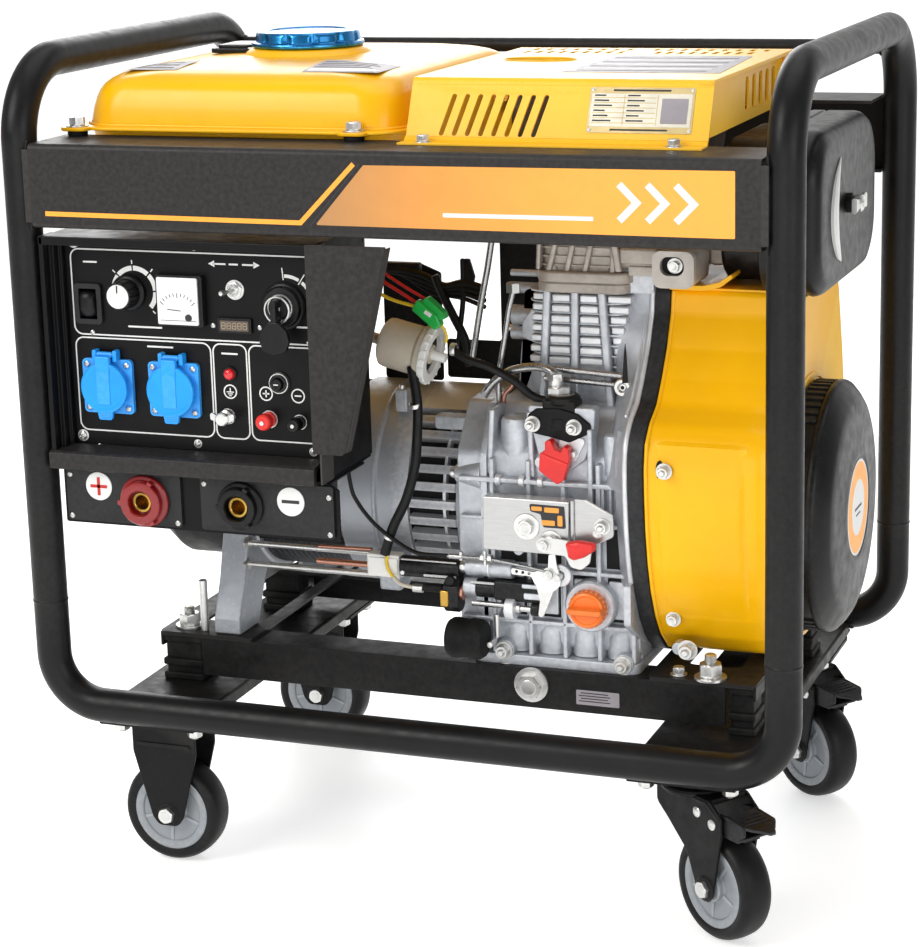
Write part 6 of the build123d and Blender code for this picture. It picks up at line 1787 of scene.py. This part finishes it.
p = Piece("stator_stack", replaces=("alternator_stator",), slot="laminations", angle=30).m("laminations")
p.rev("x", AX, [(60, -204), (91, -204)] + [(91 + (0.5 if k % 2 else -0.5), -203 + k * 2.9) for k in range(30)] + [(91, -115), (60, -115)], 88, closed=True)
p.m("steel_black")
for a in range(6):
    q = radians(30 + 60 * a)
    p.box(-204, -115, 92 * cos(q) - 3, 92 * cos(q) + 3, 345 + 92 * sin(q) - 3, 345 + 92 * sin(q) + 3, 1, 2)
p.done()

p = Piece("end_frame_cast", replaces=("alternator_end_frame",), slot="cast_alloy", angle=30).m("alloy_bell")
p.rev("x", AX, [(62, -236), (93, -236), (96, -234), (96, -207), (94, -205), (62, -205)], 96, closed=True)
p.prism("x", rp([(-128, 211), (-128, 226), (-112, 262), (-96, 318), (96, 318), (112, 262), (128, 226), (128, 211), (84, 211), (60, 262), (-60, 262), (-84, 211)], [3, 4, 12, 8, 8, 12, 4, 3, 3, 16, 16, 3], 4), -234, -207, 2, 3)
for a in range(24):
    q = 2 * pi * a / 24
    p.box(-231, -210, 96 * cos(q) - 1.2, 96 * cos(q) + 1.2, 345 + 96 * sin(q) - 1.2, 345 + 96 * sin(q) + 1.2, 0.5, 1)
p.done()
p = Piece("end_cover_sheet", replaces=("alternator_end_cover",), slot="black_steel", angle=30).m("steel_black")
p.rev("x", AX, [(0, -326), (66, -326), (70, -324.5), (72, -322), (86, -304), (88, -300), (88, -237), (84, -236), (0, -236)], 84)
# dark strips in the end cover: painted shade standing in for the vent slots
p.m("void_black")
for k in range(11):
    z = 305 + 8 * k
    hw = sqrt(max(0, 58 ** 2 - (z - 345) ** 2))
    p.box(-326.8, -325.4, -hw, hw, z - 1.7, z + 1.7, 0.4, 1)
p.m("zinc")
for a in range(4):
    q = radians(45 + 90 * a)
    p.screw("-x", (-325.9, 62 * cos(q), 345 + 62 * sin(q)), 4.4, 2.2, 0.3)
p.done()
p = Piece("tie_bolts", replaces=("tie_rods",), slot="zinc", angle=34).m("zinc")
for y, z in ((-100, 296), (-103, 276)):
    p.cyl("x", (-206, y, z), 3, 132, 0.5, 16)
    p.add(t_hex("-x", (-205, y, z), 10, 5, 0.2))
p.done()

# rotating parts inside
p = Piece("rotor_parts", "crank_train", ("alternator_rotor",), "rotor_steel", angle=34).m("rotor_steel")
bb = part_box("alternator_rotor")
x0, x1 = bb[0][0] / K, bb[1][0] / K
R0 = (bb[1][1] - bb[0][1]) / 2 / K
p.rev("x", (0, 0, 345), [(0, x0), (9, x0), (10, x0 + 1), (10, x0 + 24), (R0 - 3, x0 + 30), (R0, x0 + 33), (R0, x1 - 12), (R0 - 3, x1 - 9), (16, x1 - 6), (16, x1), (0, x1)], 60)
p.m("copper_rod")
for a in range(4):
    q = radians(45 + 90 * a)
    p.box(x0 + 34, x1 - 14, (R0 - 5) * cos(q) - 7, (R0 - 5) * cos(q) + 7, 345 + (R0 - 5) * sin(q) - 7, 345 + (R0 - 5) * sin(q) + 7, 2, 2) if R0 > 30 else None
p.done()

# =====================================================================================
# fan casing, starter, gasket
# =====================================================================================
VOL = [(-62, 553), (-66, 530), (-80, 501), (-97, 477), (-114, 457), (-137, 445), (-151, 430), (-155, 408), (-154, 380), (-151, 350), (-145, 320), (-136, 292), (-123, 266), (-106, 244), (-84, 226), (-54, 214.5), (-40, 213.5), (40, 213.5), (78, 220), (112, 233), (141, 250), (160, 275), (170, 330), (166, 400), (150, 470), (132, 530), (120, 553)]
VC = rp(VOL, [8] + [30] * (len(VOL) - 2) + [10], 5)


def vol_off(d, zt=0.0):
    """Casing outline moved inwards by d."""
    m = len(VC)
    out = []
    for i in range(m):
        a, b, c = VC[i - 1], VC[i], VC[(i + 1) % m]
        t = Vector((c[0] - a[0], c[1] - a[1]))
        t.normalize()
        nrm = Vector((-t.y, t.x))
        ctr = Vector((0 - b[0], 370 - b[1]))
        if nrm.dot(ctr) < 0:
            nrm = -nrm
        out.append((b[0] + nrm.x * d, b[1] + nrm.y * d))
    return out


p = Piece("casing_gasket", replaces=("backplate_gasket",), slot="backplate", angle=30).m("backplate")
L = [[(x, y, z) for y, z in vol_off(d)] for x, d in ((190, -2.2), (190.4, -3.3), (203.2, -3.3), (204, -2.4))]
I = [[(x, y, z) for y, z in vol_off(26)] for x in (204, 190)]
p.loft(L + I, closed=True)
p.done()

p = Piece("fan_casing", replaces=("blower_housing",), slot="fan_yellow", angle=30).m("yellow_fan")
sec = ((204.4, 2.6), (204.2, 0.8), (205.4, -0.6), (207.0, -0.8), (209.0, -0.2), (212, 0.0), (290, 0.0), (298, 0.6), (305, 2.0), (310, 4.2), (313.6, 7.4), (315.4, 11.0), (315.6, 14.0))
p.loft([[(x, y, z) for y, z in vol_off(d)] for x, d in sec] + [[(313.2, y, z) for y, z in vol_off(14.0)], [(311, y, z) for y, z in vol_off(9)], [(301, y, z) for y, z in vol_off(4.5)], [(208, y, z) for y, z in vol_off(3.0)]], closed=True)
# end sheet towards the starter
p.sheet("x", vol_off(12.5), [circ(0, 345, 103, 56)], 312.8, 315.5)
p.rev("x", (0, 0, 345), [(118, 315), (121, 315), (122, 316.4), (120.5, 317.6), (118, 317.4)], 64, closed=True)
# top sheet with its rolled lip
p.box(205, 313, -60, 118, 551.0, 553.4, 0.8, 2)
p.prism("y", rp([(205, 553), (238, 553), (252, 557), (262, 565), (262, 569), (250, 561), (236, 557.4), (205, 557.4)], [1, 8, 8, 1, 1, 8, 8, 1], 4), -72, 30, 1.0, 2)
# raised flange along the left edge
line = [(206.4, yv(z) - 0.6, z) for z in range(222, 552, 4)]
p.tube(line, 1.8, 10, round_end=1)
# pressed flutes on the front
loops = []
for k in range(24):
    z = 262 + k * (438 - 262) / 23.0
    b_ = 4.6 * sin(pi * k / 23.0) ** 0.6 if 0 < k < 23 else 0.05
    loops.append([(x, yv(z) + 1.2 - b_ * w, z) for x, w in ((214, 0.0), (218, 0.75), (222, 1.0), (286, 1.0), (291, 0.72), (296, 0.0))] + [(296, yv(z) + 3, z), (214, yv(z) + 3, z)])
p.loft(loops)
# dark disc under the stud: painted shade in its hole
p.m("void_black").prism(lambda a, b, h: Vector((219 + a * 0.40, -155.6 + h, 409 + b)), circ(0, 0, 8.6, 28), -0.4, 1.4, 0.2, 1)
p.bolt("-y", (224, -158.2, 409), 9.5, 6, 1.2, 0.3, stud=2.4)
p.bolt("-y", (222, -124.4, 264), 9, 5, 1.2, 0.3)
# screws round the starter
for a in (45, 135, 225, 315):
    q = radians(a)
    p.bolt("x", (315.8, 124 * cos(q), 345 + 124 * sin(q)), 10, 5, 1.2, 0.2)
p.done()

p = Piece("recoil_cover", replaces=("recoil_housing",), slot="starter_black", angle=30).m("starter_black")
p.rev("x", (0, 0, 345), [(60, 316), (113.5, 316), (113.5, 337), (115.4, 338), (116, 340), (116, 343), (114.6, 346), (108, 352), (101, 356.6), (96, 358.4), (88, 359.4), (60, 361), (60, 354)], 84, closed=True)
p.rev("x", (0, 0, 345), [(0, 355), (60.5, 355), (60.5, 360.9), (54, 361.6), (50, 362.0), (48, 361.9), (47, 361.3), (0, 361.3)], 84)
# axial ribs, top and bottom, with dark strips of painted shade in the slots between them
for rng in ((52, 128), (-128, -52)):
    a = rng[0]
    while a <= rng[1]:
        q = radians(a)
        M = Matrix.Translation((0, 0, 345)) @ Matrix.Rotation(q, 4, "X")
        p.add(t_box(318.5, 337, 111.5, 115.6, -1.9, 1.9, 0.6, 2), M)
        if a + 5 <= rng[1]:
            q2 = radians(a + 2.6)
            M2 = Matrix.Translation((0, 0, 345)) @ Matrix.Rotation(q2, 4, "X")
            p.m("void_black").add(t_box(320, 335, 112.4, 113.75, -1.9, 1.9, 0.1, 1), M2).m("starter_black")
        a += 5.2
# generic round sticker: orange ring, pale middle, ticks
p.m("ink_white").ring("x", (361.3, 0, 345), 42.4, 44.4, 0.5, 0.1, 64)
p.m("ink_orange").ring("x", (361.3, 0, 345), 26, 42.4, 0.4, 0.1, 64)
p.m("ink_white").cyl("x", (361.2, 0, 345), 26, 0.55, 0.1, 64)
p.m("ink_dark")
p.box(361.3, 361.9, -14, 14, 343.6, 346.4, 0.2, 1)
p.box(361.3, 361.9, -9, 9, 337.6, 339.6, 0.2, 1)
p.done()

p = Piece("flywheel_fan", "crank_train", ("flywheel",), "cast_alloy", angle=34).m("cast_iron")
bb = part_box("flywheel")
fx0, fx1 = bb[0][0] / K, bb[1][0] / K
FR = (bb[1][1] - bb[0][1]) / 2 / K
p.rev("x", (0, 0, 345), [(12, fx0), (FR - 4, fx0), (FR, fx0 + 3), (FR, fx1 - 22), (FR - 6, fx1 - 20), (40, fx1 - 18), (30, fx1), (12, fx1)], 72, closed=True)
for a in range(16):
    M = Matrix.Translation((0, 0, 345)) @ Matrix.Rotation(2 * pi * a / 16, 4, "X")
    p.add(t_box(fx1 - 21, fx1 - 2, 44, FR - 6, -1.6, 1.6, 0.5, 2), M)
p.done()
p = Piece("crank_shaft_visible", "crank_train", ("crankshaft",), "rotor_steel", angle=34).m("rotor_steel")
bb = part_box("crankshaft")
cx0, cx1 = bb[0][0] / K, bb[1][0] / K
p.rev("x", (0, 0, 345), [(0, cx0), (10, cx0), (11.5, cx0 + 1.5), (11.5, -8), (15, -6), (15, 196), (12.4, 198), (12.4, cx1 - 14), (9, cx1 - 12), (9, cx1 - 1), (8, cx1), (0, cx1)], 48)
for xx in (75, 140):
    p.prism("x", rp([(-26, 305), (26, 305), (20, 365), (-20, 365)], 10, 5), xx, xx + 16, 1.2, 2)
p.done()

# =====================================================================================
# silencer and air cleaner
# =====================================================================================
p = Piece("silencer_drum", replaces=("muffler",), slot="exhaust", angle=34).m("exhaust")
p.rev("x", (0, 52, 686), [(0, 30), (40, 30), (45, 32), (47.6, 36), (48, 42), (49.2, 44), (49.2, 46), (48, 48), (48, 196), (49.2, 198), (49.2, 200), (48, 202), (48, 208), (45, 212), (40, 214), (0, 214)], 72)
p.tube(path3([(130, 62, 660), (130, 62, 600)], 4, 3), 15, 28)
p.rev("z", (130, 62, 604), [(15, 0), (27, 0), (27, 6), (15, 6)], 30, closed=True)
p.rev("y", (60, 84, 678), [(12, 0), (15, 0), (15, 64), (14.4, 66), (12.6, 66), (12, 64)], 36, closed=True)
# dark disc in the pipe mouth: painted shade
p.m("void_black").cyl("y", (60, 90, 678), 12.2, 2, 0.2, 30)
p.m("zinc").bolt("z", (112, 62, 610), 12, 6, 1.2, 0.2)
p.bolt("z", (148, 62, 610), 12, 6, 1.2, 0.2)
p.done()

p = Piece("air_cleaner_body", replaces=("air_cleaner",), slot="black_plastic", angle=32).m("plastic_black")


def ac_loop(x, w, h, r, cy_=26.0, cz_=621.0, n=8):
    return [(x, a, max(b, 556.5) if x < 317 else b) for a, b in rrect(cy_, cz_, w, h, min(r, w / 2 - 1, h / 2 - 1), n)]


p.loft([ac_loop(246, 180, 122, 38, 40, 618), ac_loop(247.5, 184, 126, 40, 40, 618), ac_loop(251, 186, 128, 40, 40, 618), ac_loop(290, 186, 128, 40, 40, 618)])
p.loft([ac_loop(290, 236, 138, 45), ac_loop(291.5, 242, 144, 47), ac_loop(294, 244, 146, 48), ac_loop(303, 244, 146, 48), ac_loop(304.4, 241.6, 143.6, 47), ac_loop(307, 241.6, 143.6, 47), ac_loop(308.4, 244, 146, 48), ac_loop(331, 244, 146, 48), ac_loop(336, 242, 144, 47), ac_loop(340, 237, 139, 45), ac_loop(343.4, 230, 132, 42), ac_loop(345, 220, 122, 38), ac_loop(345.3, 190, 96, 30), ac_loop(344.6, 182, 88, 28), ac_loop(344.4, 80, 40, 14)])
p.cyl("x", (343, 20, 621), 9, 7, 1.2, 30)
# pale tapering crescent on the cover: painted highlight
arc_ = cat([(345.4, -14, 666), (345.6, -32, 648), (345.6, -43, 624), (345.6, -40, 602), (345.4, -24, 582), (345.3, -9, 573)], 6)
p.m("ink_white").tube(arc_, [0.5 + 4.6 * sin(pi * i / (len(arc_) - 1)) for i in range(len(arc_))], 10)
p.m("zinc").cyl("x", (349, 20, 621), 3.2, 11, 0.6, 18)
p.m("zinc").rev("x", (351.6, 20, 621), [(0, 0), (7, 0), (7.6, 1), (7.6, 6), (6, 7.4), (0, 7.4)], 30)
for s in (-1, 1):
    p.loft([[(355.3 + a * 1.0, 20 + s * (5 + 17 * t), 621 + b * 1.0) for a, b in rrect(0, 0, 4.6, 9 + 5 * t, 2.0, 3)] for t in (0, 0.4, 0.8, 1.0)])
# clips
for s in (-1, 1):
    p.m("zinc").box(300, 330, 20 + s * 76.2 - 1.2, 20 + s * 76.2 + 1.2, 612, 630, 0.5, 2)
p.done()

# =====================================================================================
# bed, mounts, fasteners
# =====================================================================================
p = Piece("bed_frame", replaces=("engine_bed",), slot="black_steel", angle=30).m("steel_black")
for s in (-1, 1):
    prof = [(s * 134, 170), (s * 134, 208), (s * 94, 208), (s * 94, 204.4), (s * 130.4, 204.4), (s * 130.4, 170)]
    if s > 0:
        prof = list(reversed(prof))
    p.prism("x", prof, -245, 272, 0.9, 2)
for x0, x1, h0, h1 in ((-290, -192, -262, -205), (200, 300, 225, 275)):
    p.sheet("z", rrect((x0 + x1) / 2, 0, x1 - x0, 268, 5, 4), [rrect((h0 + h1) / 2, 0, h1 - h0, 180, 8, 4)], 208, 211)
    for s in (-1, 1):
        p.tube([(x0 + 2, s * 132.6, 207.6), (x1 - 2, s * 132.6, 207.6)], 1.5, 8)
    xe = x1 if x1 > 0 else x0
    for s in (-1, 1):
        y0, y1 = sorted((s * 92, s * 133))
        a, b = sorted((xe, xe - (3 if xe > 0 else -3)))
        p.box(a, b, y0, y1, 196, 210, 0.8, 2)
p.m("sticker_grey").prism("y", rrect(153, 185, 41, 14, 1, 2), -134.5, -134.0, 0.05, 1)
p.m("ink_dark")
for k in range(4):
    p.prism("y", rrect(150, 181.6 + 2.6 * k, 30 - 4 * (k % 2), 0.9, 0.3, 2), -134.7, -134.4, 0.02, 1)
p.done()

p = Piece("rubber_mount_blocks", replaces=("rubber_mounts",), slot="rubber", angle=34).m("rubber")
for x0, x1 in ((-289, -247), (274, 299)):
    for s in (-1, 1):
        for z0, z1, d in ((162, 169, 0), (168, 177, 4), (176, 183, 0), (182, 201, 4), (200, 208, 0)):
            p.box(x0 + d * 0.5, x1 - d * 0.5, s * 114 - 18 + d, s * 114 + 18 - d, z0, z1, 1.6, 3)
for x in (-316, -45):
    for y in (-186, 186):
        p.rev("z", (x, y, 694), [(3, 0), (8.4, 0), (9.0, 1.2), (9.2, 3), (9.0, 4.8), (8.4, 6), (3, 6)], 30, closed=True)
p.done()

p = Piece("bolts_and_nuts", replaces=("fasteners",), slot="zinc", angle=34)
for x in (-316, -45):
    for y in (-186, 186):
        p.bolt("z", (x, y, 702.8), 13, 6, 1.2, 0.3)
for x in (24, 246):
    for y in (-199, 142):
        p.bolt("z", (x, y, 696), 10, 4.6, 1.0, 0.3)
for y in (-1, 1):
    p.bolt("z", (-268, y * 112, 211), 18, 10, 2.2, 0.2, stud=7)
    p.bolt("z", (256, y * 124, 211), 19, 11, 2.4, 0.35, stud=9)
    p.m("zinc").cyl("z", (-247, y * 122, 211), 4, 51 if y < 0 else 10, 0.8, 18)
for x in (62, 176):
    p.bolt("-y", (x, -129, 222 if x < 100 else 218), 11, 6, 2.4, 0.2, stud=3)
    p.bolt("z", (x, -122, 208), 10, 5, 1.4, 0.2, spring=False)
p.bolt("-y", (90, -134, 193), 21, 8, 3.4, 0.1, spring=False)
p.m("zinc").ring("-y", (90, -134, 193), 9, 14.5, 2.0, 0.5, 40)
p.m("zinc")
for y in (-1, 1):
    p.bolt("z", (x + 50, y * 122, 211), 10, 5, 1.4, 0.2)
p.bolt("-y", (235, -124, 236), 12, 7, 1.6, 0.4, stud=3)
p.done()

# oil filler cap
p = Piece("oil_cap_orange", "oil_cap", ("oil_filler_cap",), "orange_plastic", angle=32).m("orange_plastic")
p.rev("-y", (146, -132.6, 271), [(0, 0), (16.4, 0), (17, 0.8), (17, 9.6), (16.2, 11.6), (14.6, 12.6), (13.2, 12.2), (12.6, 11.4), (0, 11.0)], 64)
p.loft([[(146 + a, y, 271 + b) for a, b in rrect(0, 0, w, h, 2.4, 5)] for y, w, h in ((-143, 33, 7.4), (-148, 33, 6.4), (-151, 32, 5.6), (-152, 29, 4.0))])
for a in range(24):
    q = 2 * pi * a / 24
    p.box(146 + 17 * cos(q) - 0.8, 146 + 17 * cos(q) + 0.8, -142, -134, 271 + 17 * sin(q) - 0.8, 271 + 17 * sin(q) + 0.8, 0.3, 1)
p.rev("y", (146, -132.8, 271), [(0, 0), (12.2, 0), (12.2, 14), (11.4, 15.5), (0, 15.5)], 36)
p.done()

# =====================================================================================
# casters
# =====================================================================================
def plate(p, sx, sy):
    cx_, cy_ = sx * 258, sy * 178
    holes = [circ(cx_ + a * 38, cy_ + b * 30, 4.6, 20) for a in (-1, 1) for b in (-1, 1)]
    p.m("steel_black").sheet("z", rrect(cx_, cy_, 100, 84, 6, 4), holes, 144.8, 148)
    for a in (-1, 1):
        for b in (-1, 1):
            p.bolt("-z", (cx_ + a * 38, cy_ + b * 30, 144.8), 12.5, 6.2, 1.4, 0.3, stud=2.5)


p = Piece("caster_brackets_fixed", replaces=("fixed_caster_forks",), slot="black_steel", angle=32)
leg = rp([(-33, 145), (33, 145), (33, 112), (16, 47), (10, 38.5), (-10, 38.5), (-16, 47), (-33, 112)], [2, 2, 16, 9, 8, 8, 9, 16], 5)
for sy in (-1, 1):
    plate(p, -1, sy)
    p.m("steel_black")
    for q in (-1, 1):
        a, b = sorted((sy * 178 + q * 19, sy * 178 + q * 22))
        p.prism("y", [(-258 + u, v) for u, v in leg], a, b, 0.9, 3)
        p.ring("y" if q > 0 else "-y", (-258, sy * 178 + q * 21.6, 50), 6, 11, 1.0, 0.4, 30)
    p.box(-291, -225, sy * 178 - 22, sy * 178 + 22, 139, 145, 1.6, 3)
    p.box(-286, -230, sy * 178 - 23.2, sy * 178 - 21.6, 118, 122, 0.7, 2)
    p.m("zinc").cyl("y", (-258, sy * 178 - 28, 50), 4.95, 56, 0.8, 24)
    p.add(t_hex("-y", (-258, sy * 178 - 22.2, 50), 14, 5.4, 0.3))
    p.add(t_hex("y", (-258, sy * 178 + 22.2, 50), 14, 5.4, 0.1))
    p.m("zinc").cyl("-z", (-258, sy * 178, 139.5), 7, 5, 0.8, 24)
p.done()

p = Piece("swivel_plates", replaces=("swivel_top_plates",), slot="black_steel", angle=32)
for sy in (-1, 1):
    plate(p, 1, sy)
    p.m("steel_black").rev("-z", (258, sy * 178, 145), [(0, 0), (34, 0), (33, 2.5), (30, 4.4), (30, 7), (0, 7)], 56)
    p.m("zinc").rev("-z", (258, sy * 178, 138), [(0, 0), (5.9, 0), (5.9, 18), (0, 18)], 24)
    p.add(t_hex("-z", (258, sy * 178, 127.4), 19, 13, 0.3))
p.done()

ROT = Matrix.Rotation(radians(-36), 4, "Z")
chk = rp([(-30, 133), (44, 133), (60, 121), (60, 106), (52, 66), (47, 44), (42, 38), (34, 38), (27, 44), (12, 78), (-14, 100), (-30, 112)], [3, 5, 5, 5, 14, 5, 3, 3, 5, 22, 20, 8], 5)
for nm, sy in (("front", -1), ("rear", 1)):
    M = Matrix.Translation((258, sy * 178, 0)) @ ROT
    wb = "wheel_fr" if sy < 0 else "wheel_rr"
    p = Piece("caster_fork_%s" % nm, "swivel_%s" % nm, ("swivel_fork_%s" % nm,), "black_steel", angle=32).m("steel_black")
    p.add(t_rev("z", (0, 0, 127.8), [(6.6, 0), (26, 0), (29, 0.6), (32, 3), (32.4, 5.4), (31.4, 7.4), (28, 9.4), (24, 9.8), (6.6, 9.8)], 60, closed=True), M)
    p.add(t_box(-29, -10, -22, 22, 128, 133.5, 1.5, 3), M)
    p.add(t_box(10, 44, -22, 22, 128, 133.5, 1.5, 3), M)
    for q in (-1, 1):
        a, b = sorted((q * 19, q * 22))
        p.add(t_prism("y", chk, a, b, 0.9, 3), M)
        p.add(t_tube([(x_, q * 21.4, z_) for x_, z_ in ((-28, 130), (40, 130), (57, 119))], 1.6, 10), M)
        # axle cover bulge
        p.add(t_rev("y" if q > 0 else "-y", (38, q * 21.6, 50), [(6.6, 0), (11.5, 0), (11.5, 1.0), (10.2, 2.0), (8.2, 2.2), (6.6, 2.2)], 34, closed=True), M)
        p.m("zinc")
        p.add(t_rev("y" if q > 0 else "-y", (28, q * 21.9, 119), [(0, 0), (5, 0), (4.8, 1.4), (3.2, 2.6), (0, 3.0)], 24), M)
        p.add(t_rev("y" if q > 0 else "-y", (48, q * 21.9, 113), [(0, 0), (5, 0), (4.8, 1.0), (3.2, 1.8), (0, 2.1)], 24), M)
        p.add(t_hex("y" if q > 0 else "-y", (38, q * 22.2, 50), 14, 5.4, 0.3), M)
        p.m("steel_black")
    p.m("zinc").add(t_cyl("y", (38, -28, 50), 4.95, 56, 0.8, 24), M)
    p.add(t_cyl("y", (48, -22, 113), 2.95, 44, 0.4, 18), M)
    p.done()

    p = Piece("caster_pedal_%s" % nm, "pedal_%s" % nm, ("brake_pedal_%s" % nm,), "black_steel", angle=32).m("starter_black")
    pk = rp([(42, 105), (58, 104.2), (76, 104.2), (86, 112), (86, 121.6), (62, 124.0), (46, 122.6), (41, 117)], [3, 3, 4, 4, 3, 4, 3, 3], 4)
    for q in (-1, 1):
        a, b = sorted((q * 15.3, q * 18.2))
        p.add(t_prism("y", pk, a, b, 0.7, 2), M)
    # pressed top narrowing to a point
    top = []
    for x_, hw, z_ in ((60, 18.2, 123.4), (72, 18.2, 122.8), (84, 17.4, 121.6), (91, 13.4, 120.6), (97, 7.4, 119.8), (102, 4.2, 119.2), (104, 2.6, 119.0)):
        top.append([(x_, -hw, z_ - 2.6), (x_, -hw, z_ - 0.4), (x_, -hw + 0.8, z_), (x_, hw - 0.8, z_), (x_, hw, z_ - 0.4), (x_, hw, z_ - 2.6)])
    p.add(t_loft(top), M)
    for k in range(4):
        p.add(t_box(68 + 5 * k, 70 + 5 * k, -12, 12, 121.5 - 0.3 * k, 123.9 - 0.45 * k, 0.5, 2), M)
    p.add(t_box(53, 78, -18.0, 18.0, 104, 106.6, 0.8, 2), M)
    p.add(t_cyl("y", (48, -18.2, 113), 5.8, 3.0, 0.5, 24), M)
    p.add(t_cyl("y", (48, 15.2, 113), 5.8, 3.0, 0.5, 24), M)
    p.m("rubber").add(t_box(55, 76, -9, 9, 101.6, 104.4, 0.8, 2), M)
    p.done()


def wheel(name, body, node, M):
    p = Piece(name, body, (node,), "wheel", angle=34).m("tyre")
    p.add(t_rev("y", (0, 0, 0), [(36, -13), (39, -15.4), (43, -16), (45.6, -15.2), (48, -12.4), (49.3, -8.6), (49.8, -4), (50, 0), (49.8, 4), (49.3, 8.6), (48, 12.4), (45.6, 15.2), (43, 16), (39, 15.4), (36, 13)], 84, closed=True), M)
    p.m("hub_grey")
    p.add(t_rev("y", (0, 0, 0), [(6, -17), (12, -17), (13.4, -16), (14, -12.6), (15.4, -11.6), (20, -11.8), (29.2, -12.6), (29.8, -13.8), (31, -14.6), (36.4, -15.0), (37.8, -14.2), (37.8, 14.2), (36.4, 15.0), (31, 14.6), (29.8, 13.8), (29.2, 12.6), (20, 11.8), (15.4, 11.6), (14, 12.6), (13.4, 16), (12, 17), (6, 17)], 72, closed=True), M)
    p.m("plastic_black")
    for q in (-1, 1):
        p.add(t_rev("y", (0, q * 14.15, 0), [(34.6, -0.6), (35.4, -0.6), (35.4, 0.75), (34.6, 0.75)], 64, closed=True), M)
        p.m("hub_grey")
        for a in range(5):
            p.add(t_box(14, 29.6, q * 12.2 - 1.0, q * 12.2 + 1.0, -1.6, 1.6, 0.6, 2), M @ Matrix.Rotation(radians(72 * a + 20), 4, "Y"))
        p.m("plastic_black")
    p.m("zinc").add(t_rev("y", (0, 0, 0), [(5.2, -17.8), (6.8, -17.8), (6.8, 17.8), (5.2, 17.8)], 28, closed=True), M)
    p.done()


for sy, nm, wr, wl in ((-1, "front", "wheel_fr", "wheel_fl"), (1, "rear", "wheel_rr", "wheel_rl")):
    wheel("caster_wheel_%s_left" % nm, wl, "wheel_%s_left" % nm, Matrix.Translation((-258, sy * 178, 50)))
    wheel("caster_wheel_%s_right" % nm, wr, "wheel_%s_right" % nm, Matrix.Translation((258, sy * 178, 0)) @ ROT @ Matrix.Translation((38, 0, 50)))
